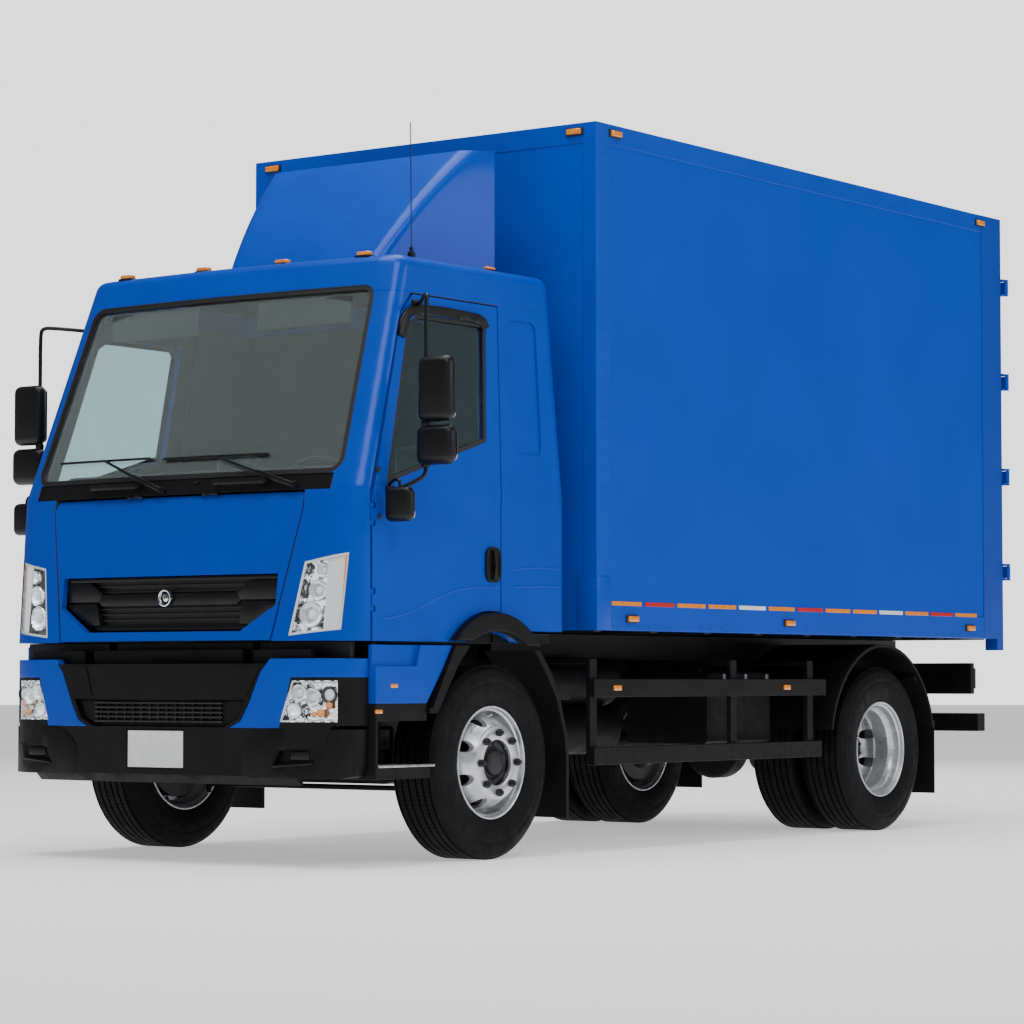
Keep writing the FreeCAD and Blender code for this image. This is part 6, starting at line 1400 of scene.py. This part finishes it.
class TRUCK_OT_mirrors(bpy.types.Operator):
    """Model the mirrors: bent arms, two large heads, a small head and their glasses"""
    bl_idname = "truck.mirrors"
    bl_label = "Mirrors"

    def execute(self, context):
        for name, side in SIDES:
            body = f"door_{name}"
            lead = FRONT_AXLE + MIRROR["lead"]
            out = MIRROR["out"]
            heads = bmesh.new()
            glass = bmesh.new()
            small = SMALL_HEAD
            middle = FRONT_AXLE + small["lead"]
            for half, foot, head, radius in HEADS:
                mirror_head(heads, glass, side, out, half, lead, foot, head, radius,
                            (0.043, 0.034), 0.014)
            mirror_head(heads, glass, side, small["out"], small["half"], middle, small["low"],
                        small["high"], 0.030, (0.032, 0.028), 0.012)
            for height in (1.999, 1.965, 1.785):
                disc(heads, (side * (out - 0.062), lead, height), UP, 0.021, 0.028, 24, 0.004)
            piece(f"mirror_heads_{name}", heads, "mirror_housing", body,
                  [f"mirror_{name}"])
            piece(f"mirror_panes_{name}", glass, "mirror_glass", body)
            stem = side * (out - 0.062)
            head = FRONT_AXLE + MIRROR["head_lead"]
            top = beside_of(f"door_{name}", side, head, 2.530).x
            foot = beside_of(f"door_{name}", side, lead - 0.075, 1.668).x
            tube(f"mirror_arm_{name}",
                 [(top - side * 0.006, head, 2.530), (top + side * 0.03, head - 0.01, 2.532),
                  (stem - side * 0.06, lead + 0.06, 2.545), (stem, lead + 0.01, 2.548),
                  (stem, lead, 2.50),
                  (stem, lead, 2.30), (stem, lead, 2.10), (stem, lead, 1.90),
                  (stem, lead, 1.77), (stem, lead - 0.005, 1.735),
                  (stem - side * 0.04, lead - 0.03, 1.705),
                  (stem - side * 0.09, lead - 0.055, 1.682),
                  (foot + side * 0.03, lead - 0.072, 1.668),
                  (foot - side * 0.006, lead - 0.075, 1.668)],
                 0.0095, "mirror_housing", body)
            tube(f"small_mirror_arm_{name}",
                 [(side * small["out"], middle, 1.660), (side * small["out"], middle, 1.690),
                  (side * (small["out"] - 0.01), middle + 0.005, 1.712),
                  (side * (small["out"] - 0.05), middle + 0.015, 1.715),
                  (foot - side * 0.004, middle + 0.045, 1.690)],
                 0.008, "mirror_housing", body)
            bm = bmesh.new()
            for x, y, high in ((top, head, 2.530), (foot, lead - 0.075, 1.668)):
                first, last = sorted((x - side * 0.008, x + side * 0.014))
                rounded_block(bm, (first, y - 0.034, high - 0.022), (last, y + 0.034, high + 0.022),
                              0.008)
            piece(f"mirror_feet_{name}", bm, "mirror_housing", body)
        return {"FINISHED"}


ROOF_LAMPS = (-0.736, -0.245, 0.245, 0.736)
REAR_CREASES = (((0.200, 1.335), (0.260, 1.352), (0.400, 1.358), (0.545, 1.355)),
                ((0.190, 1.262), (0.370, 1.268), (0.555, 1.272)))
PRESSED_PANELS = (("cab_sides", 0.004), ("cab_corners", 0.004), ("cab_roof", 0.004),
                  ("roof_fairing", 0.008))


class TRUCK_OT_cab_shell(bpy.types.Operator):
    """Soften the cab's panels and add its creases, roof lamps and antenna"""
    bl_idname = "truck.cab_shell"
    bl_label = "Cab shell"

    def execute(self, context):
        for node, width in PRESSED_PANELS:
            softened(node, node + "_panel", "cab_paint", "cab", width, 3, 0.55)
        softened("arch_flares", "arch_flare_trim", "black_plastic", "cab", 0.003)
        lamps, feet = bmesh.new(), bmesh.new()
        for wide in ROOF_LAMPS:
            at = touch("cab_roof", (wide, FRONT_AXLE - 0.530, 3.4), DOWN)
            soft_pad(feet, at, (-0.044, -0.024, -0.006), (0.044, 0.026, 0.006), 0.005)
            soft_pad(lamps, at, (-0.038, -0.020, 0.0), (0.038, 0.020, 0.024), 0.011)
        for side in (1, -1):
            at = touch("cab_roof", (side * 0.90, FRONT_AXLE + 0.206, 3.4), DOWN)
            soft_pad(feet, at, (-0.018, -0.038, -0.008), (0.018, 0.038, 0.004), 0.004)
            soft_pad(lamps, at, (-0.014, -0.032, 0.0), (0.014, 0.032, 0.016), 0.007)
        piece("roof_lamps", lamps, "amber_lens", "cab")
        piece("roof_lamp_feet", feet, "mirror_housing", "cab")
        for name, side in SIDES:
            bm = bmesh.new()
            for line in REAR_CREASES:
                laid(bm, "cab_sides", ribbon(beside(line, side), 0.010), (-side, 0, 0), -0.002,
                     0.0042)
            softer(bm, CORNER, 0.0019, 3)
            piece(f"cab_crease_{name}", bm, "cab_paint", "cab")
        at = touch("cab_roof", (0.90, FRONT_AXLE - 0.393, 3.4), DOWN)
        bm = bmesh.new()
        disc(bm, at + Vector((0, 0, 0.008)), UP, 0.018, 0.030, 24, 0.004)
        disc(bm, at + Vector((0, 0, 0.030)), UP, 0.009, 0.030, 16, 0.002)
        piece("antenna_foot", bm, "mirror_housing", "cab")
        tube("antenna", [at + Vector((0, 0, 0.02)), at + Vector((0, -0.003, 0.30)),
                         at + Vector((0, -0.008, 0.62))], 0.0026, "gasket_rubber", "cab")
        return {"FINISHED"}


STEP_LAMPS = ((-0.740, 0.801), (-0.848, 0.688))


class TRUCK_OT_steps(bpy.types.Operator):
    """Dress the steps and mudguards: treads with bright noses, blue panels and small lamps"""
    bl_idname = "truck.steps"
    bl_label = "Steps"

    def execute(self, context):
        softened("steps", "step_boxes", "black_plastic", "chassis", 0.003)
        softened("step_panels", "step_panel_skins", "cab_paint", "chassis", 0.004)
        softened("front_mudguards", "front_guard_trim", "black_plastic", "chassis", 0.003)
        tread, nose, lamp = bmesh.new(), bmesh.new(), bmesh.new()
        for side in (1, -1):
            for row in range(5):
                wide = side * (0.88 + row * 0.036)
                for cell in range(9):
                    back = FRONT_AXLE - 0.81 + cell * 0.038
                    block(tread, (wide - 0.013, back - 0.013, 0.444),
                          (wide + 0.013, back + 0.013, 0.4495), 0.0018, 1)
            rounded_block(nose, *on_side(side, (1.062, FRONT_AXLE - 0.848, 0.438),
                                         (1.0785, FRONT_AXLE - 0.440, 0.4515)), 0.004)
            for back, high in STEP_LAMPS:
                node = "step_panels" if high > 0.73 else "steps"
                at = beside_of(node, side, FRONT_AXLE + back, high)
                face = abs(at.x)
                rounded_block(lamp, *on_side(side, (face - 0.004, at.y - 0.024, at.z - 0.009),
                                             (face + 0.005, at.y + 0.024, at.z + 0.009)), 0.003)
        piece("step_treads", tread, "tread_metal", "chassis")
        piece("step_noses", nose, "tread_metal", "chassis")
        piece("step_lamps", lamp, "amber_lens", "chassis")
        return {"FINISHED"}


# Load body

TAPE_COLOURS = ("amber_lens", "red_lens", "white_lens")
TAPE_ORDER = ("amber_lens", "red_lens", "amber_lens", "amber_lens", "white_lens")
TAPE_LENGTH = 0.27
RIVETS = {"along": 40, "up": 26}
PLATE_TOP = 1.326                # top of the steel plates on the front corners


class TRUCK_OT_load_body(bpy.types.Operator):
    """Dress the load body: tape, rivets, corner plates and marker lamps"""
    bl_idname = "truck.load_body"
    bl_label = "Load body"

    def execute(self, context):
        sizes = context.scene.truck_sizes
        softened("body_rails", "body_rail_trim", "body_rail", "chassis", 0.005, 3)
        low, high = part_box("body_rails")
        wall_low, wall_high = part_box("body_side_walls")
        start, end = low.y + 0.13, wall_high.y - 0.06
        tall = sizes.tape_height / 2
        middle = wall_low.z + 0.004
        count = int((end - start) / TAPE_LENGTH)
        made = {finish: bmesh.new() for finish in TAPE_COLOURS}
        rivets = bmesh.new()
        for side in (1, -1):
            face = side * high.x
            for step in range(count):
                back = start + step * (end - start) / count
                finish = TAPE_ORDER[step % len(TAPE_ORDER)]
                block(made[finish], *on_side(side, (high.x - 0.0045, back, middle - tall),
                                             (high.x + 0.0006, back + TAPE_LENGTH - 0.012,
                                              middle + tall)), 0.0008, 1)
            skin = face + side * 0.0005
            for step in range(RIVETS["along"]):
                back = start + (end - start) * (step + 0.5) / RIVETS["along"]
                for tall_at in (wall_high.z + 0.02, low.z + 0.022):
                    disc(rivets, (skin, back, tall_at), (side, 0, 0), 0.0045, 0.003, 8, 0.001)
            for step in range(RIVETS["up"]):
                share = step / (RIVETS["up"] - 1)
                at = wall_low.z + 0.05 + share * (wall_high.z - wall_low.z - 0.1)
                for back in (low.y + 0.045, low.y + 0.095):
                    disc(rivets, (skin, back, at), (side, 0, 0), 0.004, 0.003, 8, 0.001)
        for finish, bm in made.items():
            piece("side_tape_" + finish.split("_")[0], bm, finish, "chassis")
        piece("body_rivets", rivets, "body_rail", "chassis")
        plates = bmesh.new()
        for side in (1, -1):
            foot, out = low.z + 0.002, high.x + 0.004
            block(plates, *on_side(side, (high.x - 0.002, low.y + 0.001, foot),
                                   (out, low.y + 0.118, PLATE_TOP)), 0.0035)
            block(plates, *on_side(side, (high.x - 0.118, low.y - 0.003, foot),
                                   (out, low.y + 0.004, PLATE_TOP)), 0.0028)
        piece("corner_plates", plates, "body_rail", "chassis")
        lamps, feet = bmesh.new(), bmesh.new()
        spots = []
        for side in (1, -1):
            face = side * (high.x + 0.002)
            spots += [((face, low.y + 0.16, high.z - 0.045), (side, 0, 0)),
                      ((face, wall_high.y - 0.03, high.z - 0.050), (side, 0, 0)),
                      ((side * 0.965, low.y - 0.003, high.z - 0.043), FRONT),
                      ((face, low.y + 0.30, low.z + 0.058), (side, 0, 0)),
                      ((face, 0.62, low.z + 0.058), (side, 0, 0)),
                      ((face, wall_high.y - 0.18, low.z + 0.058), (side, 0, 0))]
        for spot, way in spots:
            at, way = Vector(spot), Vector(way)
            run = Vector(REAR) if abs(way.x) > 0.5 else Vector((1, 0, 0))
            for bm, half, tall, thick, soft in ((feet, 0.050, 0.020, 0.010, 0.003),
                                                (lamps, 0.042, 0.014, 0.022, 0.006)):
                ends = (at - run * half - Vector((0, 0, tall)) - way * 0.004,
                        at + run * half + Vector((0, 0, tall)) + way * (thick - 0.004))
                corners = [tuple(pick(a, b) for a, b in zip(*ends)) for pick in (min, max)]
                rounded_block(bm, *corners, soft)
        piece("marker_lamps", lamps, "amber_lens", "chassis", replaces=["lamps"])
        piece("marker_feet", feet, "gasket_rubber", "chassis")
        return {"FINISHED"}


TAIL_LAMPS = ((0.89, "red_lens"), (0.785, "amber_lens"), (0.68, "white_lens"))


class TRUCK_OT_rear(bpy.types.Operator):
    """Dress the rear: door gaskets, hinge bolts, lamps, plate and tape"""
    bl_idname = "truck.rear"
    bl_label = "Rear"

    def execute(self, context):
        softened("rear_frame", "rear_frame_panel", "body_rear_paint", "chassis", 0.003)
        for name, side in SIDES:
            low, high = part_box(f"rear_door_{name}")
            node, body = f"rear_door_{name}", f"rear_door_{name}"
            inner, outer = (0.016, 1.02)
            at = touch(node, (side * 0.5, 4.0, 1.9), FRONT)
            bm = bmesh.new()
            for wide in (inner + 0.012, outer - 0.012):
                bar(bm, (side * wide, at.y + 0.002, low.z + 0.016),
                    (side * wide, at.y + 0.002, high.z - 0.016), 0.020, 0.010)
            for tall in (low.z + 0.012, high.z - 0.012):
                bar(bm, (side * (inner + 0.01), at.y + 0.002, tall),
                    (side * (outer - 0.01), at.y + 0.002, tall), 0.020, 0.010)
            piece(f"rear_door_gasket_{name}", bm, "gasket_rubber", body)
            bm = bmesh.new()
            for step in range(4):
                tall = low.z + 0.16 + step * (high.z - low.z - 0.32) / 3
                for wide in (0.945, 0.975, 1.0):
                    disc(bm, (side * wide, at.y + 0.009, tall), REAR, 0.0075, 0.008, 6, 0.001)
            piece(f"rear_door_bolts_{name}", bm, "tread_metal", body)
            made = {"red_lens": bmesh.new(), "white_lens": bmesh.new()}
            for step in range(6):
                finish = ("red_lens", "white_lens")[step % 2]
                near = 0.12 + step * 0.14
                for tall in (low.z + 0.06, high.z - 0.075):
                    block(made[finish], *on_side(side, (near, at.y - 0.001, tall),
                                                 (near + 0.132, at.y + 0.0012, tall + 0.05)),
                          0.0005, 1)
            for finish, bm in made.items():
                piece(f"rear_tape_{finish.split('_')[0]}_{name}", bm, finish, body)

        low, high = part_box("lamps")
        foot, face = 0.776, high.y
        made = {finish: bmesh.new() for finish in ("red_lens", "amber_lens", "white_lens",
                                                   "gasket_rubber")}
        for side in (1, -1):
            rounded_block(made["gasket_rubber"], *on_side(side, (0.670, face - 0.032, foot),
                                                          (1.0, face - 0.008, foot + 0.120)),
                          0.006)
            for start, finish in TAIL_LAMPS:
                rounded_block(made[finish],
                              *on_side(side, (start, face - 0.014, foot + 0.010),
                                       (start + 0.098, face - 0.001, foot + 0.110)), 0.005)
        beam_low, beam_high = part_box("underrun_bar")
        for step in range(12):
            wide = beam_high.x * 2 / 12
            first = -beam_high.x + wide * step
            finish = ("red_lens", "white_lens")[step % 2]
            block(made[finish], (first + 0.004, beam_high.y - 0.003, beam_low.z + 0.030),
                  (first + wide - 0.004, beam_high.y + 0.0012, beam_low.z + 0.074), 0.0008, 1)
        piece("tail_lamp_cases", made["gasket_rubber"], "gasket_rubber", "chassis", replaces=["lamps"])
        piece("tail_lamp_red", made["red_lens"], "red_lens", "chassis")
        piece("tail_lamp_amber", made["amber_lens"], "amber_lens", "chassis")
        piece("tail_lamp_white", made["white_lens"], "white_lens", "chassis")
        bm = bmesh.new()
        wide, tall = PLATE_SIZE
        block(bm, (-wide / 2, face - 0.032, 0.755), (wide / 2, face - 0.020, 0.755 + tall), 0.003)
        piece("rear_plate", bm, "plate_white", "chassis")
        return {"FINISHED"}


# Chassis

FRAME_BOLTS = (-0.7, -0.52, 0.46, 0.62, 0.8, 1.25, 1.75, 2.25, 2.75, 3.05, 4.15, 4.45)
BRAKE_CHAMBER = [(-0.08, 0.0), (-0.08, 0.052), (-0.072, 0.06), (-0.012, 0.066), (-0.01, 0.072),
                 (0.01, 0.072), (0.012, 0.066), (0.06, 0.06), (0.072, 0.045), (0.074, 0.0)]
FUEL_CAP = [(-0.02, 0.0), (-0.02, 0.04), (0.014, 0.04), (0.016, 0.048), (0.036, 0.048),
            (0.041, 0.044), (0.043, 0.0)]
SILENCER_BAND = [(-0.016, 0.148), (-0.016, 0.1545), (0.016, 0.1545), (0.016, 0.148),
                 (-0.016, 0.148)]


class TRUCK_OT_chassis(bpy.types.Operator):
    """Dress the chassis: spring clips, brake chambers, bolts, tank straps, latches and lamps"""
    bl_idname = "truck.chassis"
    bl_label = "Chassis"

    def execute(self, context):
        softened("side_guards", "side_guard_rails", "black_plastic", "chassis",
                 0.004)
        softened("underrun_bar", "underrun_beam", "chassis_paint", "chassis",
                 0.004)
        softened("frame_boxes", "frame_box_shells", "chassis_paint", "chassis",
                 0.006, 3)
        clips, bolts, chambers = bmesh.new(), bmesh.new(), bmesh.new()
        for side in (1, -1):
            for middle, foot, head in ((FRONT_AXLE, 0.40, 0.60), (REAR_AXLE, 0.36, 0.66)):
                for back in (-0.062, 0.062):
                    for wide in (0.345, 0.429):
                        disc(clips, (side * wide, middle + back, (foot + head) / 2), UP,
                             0.009, head - foot, 12, 0.002)
                        disc(clips, (side * wide, middle + back, foot - 0.004), UP,
                             0.017, 0.018, 6, 0.002)
                    disc(clips, (side * 0.387, middle + back, head), (1, 0, 0), 0.009, 0.084,
                         12, 0.002)
            for back in FRAME_BOLTS:
                for high in (0.745, 0.785, 0.875):
                    disc(bolts, (side * 0.4265, FRONT_AXLE + back, high), (side, 0, 0), 0.011,
                         0.012, 6, 0.0015)
            for middle, wide, high in ((REAR_AXLE - 0.13, 0.40, 0.40),
                                       (FRONT_AXLE + 0.14, 0.60, 0.40)):
                spun(chambers, BRAKE_CHAMBER,
                     (side * wide, middle, high), (0, 1, 0.3), 28)
        piece("spring_clips", clips, "chassis_paint", "chassis")
        piece("frame_bolts", bolts, "hub_iron", "chassis")
        piece("brake_chambers", chambers, "hub_iron", "chassis")

        low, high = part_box("fuel_tank")
        bm = bmesh.new()
        at = touch("fuel_tank", (low.x + 0.10, low.y + 0.22, 2.0), DOWN)
        spun(bm, FUEL_CAP, at, (-0.3, 0, 1), 28)
        for turn in range(3):
            angle = 2 * math.pi * turn / 3
            disc(bm, at + Vector((math.cos(angle) * 0.03 - 0.012, math.sin(angle) * 0.03, 0.042)),
                 UP, 0.006, 0.006, 10, 0.001)
        piece("fuel_cap", bm, "tread_metal", "chassis")
        bm = bmesh.new()
        for back in (0.13, 0.50, 0.87):
            spot = low.y + back * (high.y - low.y)
            bar(bm, (low.x + 0.02, spot, high.z - 0.004), (-0.46, spot, high.z + 0.002), 0.006,
                0.045)
            disc(bm, (low.x + 0.10, spot, low.z - 0.002), UP, 0.012, 0.014, 6, 0.0015)
        piece("tank_straps", bm, "hub_iron", "chassis")

        low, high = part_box("silencer")
        bm = bmesh.new()
        for back in (0.16, 0.5, 0.84):
            spot = low.y + 0.02 + back * 0.62
            spun(bm, SILENCER_BAND, (-0.69, spot, 0.645), REAR, 40)
        piece("silencer_bands", bm, "hub_iron", "chassis")
        bm = bmesh.new()
        for back in (0.16, 0.37, 0.58):
            rounded_block(bm, (0.918, 0.081 + back - 0.012, 0.80), (0.932, 0.081 + back + 0.012,
                                                                    0.858), 0.004)
        piece("box_latches", bm, "tread_metal", "chassis")
        lamps = bmesh.new()
        for side in (1, -1):
            for back, high in ((1.02, 0.788), (2.60, 0.788)):
                at = beside_of("side_guards", side, FRONT_AXLE + back, high)
                face = abs(at.x)
                rounded_block(lamps, *on_side(side, (face - 0.003, at.y - 0.032, high - 0.013),
                                              (face + 0.007, at.y + 0.032, high + 0.013)), 0.004)
        piece("guard_lamps", lamps, "amber_lens", "chassis")
        return {"FINISHED"}


# Inside the cab

CAB_INSIDE = (Vector((-1.0, FRONT_AXLE - 1.04, 1.005)), Vector((1.0, FRONT_AXLE + 0.60, 2.74)))


def cushion(name, low, high, corner, crown, cap, lean=0.0):
    """A pad that starts smaller, is swollen by cloth pressure and gets a subdivision."""
    bm = bmesh.new()
    block(bm, low, high, corner, 3)
    middle = (Vector(low) + Vector(high)) / 2
    if lean:
        bmesh.ops.rotate(bm, cent=(middle.x, middle.y, low[2]), verts=bm.verts,
                         matrix=Matrix.Rotation(lean, 3, "X"))
    made = piece(name, bm, "seat_fabric", "cab", replaces=["seats"])
    remesh = made.modifiers.new("remesh", "REMESH")
    remesh.mode = "VOXEL"
    remesh.voxel_size = 0.012
    applied(made)
    start = [vert.co.copy() for vert in made.data.vertices]
    cloth = made.modifiers.new("cloth", "CLOTH")
    cloth.settings.use_pressure = True
    cloth.settings.uniform_pressure_force = 4.0
    cloth.settings.effector_weights.gravity = 0.0
    cloth.settings.quality = 4
    for step in range(1, 15):
        bpy.context.scene.frame_set(step)
    applied(made)
    bpy.context.scene.frame_set(1)
    for vert, first in zip(made.data.vertices, start):
        moved = vert.co - first
        if moved.length > cap:
            vert.co = first + moved.normalized() * cap
    for vert in made.data.vertices:
        for seam in crown:
            away = abs(vert.co.x - seam)
            if away < 0.016:
                centre = Vector((seam, middle.y, middle.z))
                vert.co += (centre - vert.co).normalized() * 0.007 * (1 - away / 0.016)
    smooth = made.modifiers.new("smooth", "SUBSURF")
    smooth.levels = 1
    smooth.render_levels = 1
    for face in made.data.polygons:
        face.use_smooth = True
    return made


def applied(made):
    """Put an object's modifiers into its mesh."""
    bpy.context.view_layer.update()
    mesh = bpy.data.meshes.new_from_object(made.evaluated_get(
        bpy.context.evaluated_depsgraph_get()))
    made.modifiers.clear()
    old = made.data
    made.data = mesh
    bpy.data.meshes.remove(old)
    for face in mesh.polygons:
        face.use_smooth = True


def lining(name, node, facing, body, least=0.6):
    """A trim panel on the inner faces of a CAD panel."""
    facing = Vector(facing)

    def faces_in(place):
        return inside_cab(place) and place.x * facing.x <= 0

    bm = patch(node, facing, least, faces_in)
    thickened(bm, facing * 0.003)
    return piece(name, bm, "lining_grey", body)


def inside_cab(place):
    return (abs(place.x) < 1.010 and CAB_INSIDE[0].y < place.y < CAB_INSIDE[1].y
            and CAB_INSIDE[0].z < place.z < CAB_INSIDE[1].z)


class TRUCK_OT_interior(bpy.types.Operator):
    """Make the padded seats and their bases, the linings, the dashboard and the sun visors"""
    bl_idname = "truck.interior"
    bl_label = "Interior"

    def execute(self, context):
        softened("dashboard", "dashboard_shell", "dash_plastic", "cab", 0.018, 4)
        softened("steering_wheel", "steering_wheel_grip", "mirror_housing", "steering_wheel", 0.002)
        lining("roof_lining", "cab_roof", DOWN, "cab")
        lining("rear_wall_lining", "cab_rear_wall", FRONT, "cab")
        lining("floor_mat", "cab_floor", UP, "cab")
        lining("firewall_lining", "cab_firewall", REAR, "cab")
        for name, side in SIDES:
            inward = (-side, 0, 0)
            lining(f"cab_side_lining_{name}", "cab_sides", inward, "cab")
            lining(f"pillar_lining_{name}", "cab_corners", inward, "cab", 0.4)
            lining(f"door_lining_{name}", f"door_{name}", inward, f"door_{name}")
        low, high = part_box("seats")
        front = FRONT_AXLE - 0.33
        bases = bmesh.new()
        for name, side in SIDES:
            wide = side * 0.56
            cushion(f"seat_pad_{name}", (wide - 0.240, front + 0.008, 1.190),
                    (wide + 0.240, front + 0.462, 1.298), 0.035,
                    (wide - 0.14, wide + 0.14), 0.010)
            cushion(f"seat_back_{name}", (wide - 0.235, front + 0.375, 1.312),
                    (wide + 0.235, front + 0.470, 1.735), 0.035,
                    (wide - 0.135, wide + 0.135), 0.010)
            cushion(f"head_pad_{name}", (wide - 0.130, front + 0.382, 1.765),
                    (wide + 0.130, front + 0.462, 1.935), 0.030, (), 0.007)
            rounded_block(bases, (wide - 0.18, front + 0.05, low.z + 0.001),
                          (wide + 0.18, front + 0.42, 1.165), 0.02)
            for post in (-0.06, 0.06):
                disc(bases, (wide + post, front + 0.424, 1.75), UP, 0.007, 0.07, 12,
                     0.001)
        rounded_block(bases, (-0.238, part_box("seats")[0].y + 0.002, low.z + 0.001),
                      (0.238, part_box("seats")[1].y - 0.002, 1.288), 0.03)
        piece("seat_bases", bases, "dash_plastic", "cab")
        bm = bmesh.new()
        low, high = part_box("dashboard")
        hood = Vector((0.56, high.y - 0.14, high.z - 0.006))
        soft_pad(bm, hood, (-0.20, -0.09, -0.02), (0.20, 0.09, 0.005), 0.02)
        for wide in (-0.62, -0.20, 0.20):
            at = touch("dashboard", (wide, 0.0, 1.66), FRONT)
            soft_pad(bm, at, (-0.075, -0.01, -0.034), (0.075, 0.012, 0.034), 0.008)
        at = touch("dashboard", (0.0, 0.0, 1.54), FRONT)
        soft_pad(bm, at, (-0.12, -0.01, -0.055), (0.12, 0.012, 0.055), 0.008)
        piece("dash_details", bm, "mirror_housing", "cab")
        bm = bmesh.new()
        for side in (-1, 1):
            at = touch("windshield", (side * 0.45, 0.0, 2.52), FRONT)
            rounded_block(bm, *on_side(side, (0.18, at.y + 0.028, 2.445),
                                       (0.74, at.y + 0.044, 2.575)), 0.007)
        piece("sun_visors", bm, "dash_plastic", "cab")
        return {"FINISHED"}


class TRUCK_PT_panel(bpy.types.Panel):
    """Lists the steps that dress the truck"""
    bl_idname = "TRUCK_PT_panel"
    bl_label = "Box Truck"
    bl_space_type = "VIEW_3D"
    bl_region_type = "UI"
    bl_category = "Box Truck"

    def draw(self, context):
        column = self.layout.column()
        for operator in OPERATORS:
            column.operator(operator.bl_idname)
        for group in (context.scene.truck_sizes, context.scene.truck_colours):
            for name in group.__annotations__:
                column.prop(group, name)


GROUPS = (TruckSizes, TruckColours)
OPERATORS = (TRUCK_OT_materials, TRUCK_OT_stage, TRUCK_OT_tyres, TRUCK_OT_wheels,
             TRUCK_OT_headlamps, TRUCK_OT_bumper, TRUCK_OT_nose, TRUCK_OT_doors,
             TRUCK_OT_mirrors, TRUCK_OT_cab_shell, TRUCK_OT_steps, TRUCK_OT_load_body,
             TRUCK_OT_rear, TRUCK_OT_chassis, TRUCK_OT_interior)


def register():
    for item in (*GROUPS, *OPERATORS, TRUCK_PT_panel):
        bpy.utils.register_class(item)
    bpy.types.Scene.truck_sizes = PointerProperty(type=TruckSizes)
    bpy.types.Scene.truck_colours = PointerProperty(type=TruckColours)


def unregister():
    del bpy.types.Scene.truck_colours
    del bpy.types.Scene.truck_sizes
    for item in (TRUCK_PT_panel, *OPERATORS[::-1], *GROUPS[::-1]):
        bpy.utils.unregister_class(item)


def main():
    register()
    for operator in OPERATORS:
        group, name = operator.bl_idname.split(".")
        getattr(getattr(bpy.ops, group), name)()


if __name__ == "__main__":
    main()
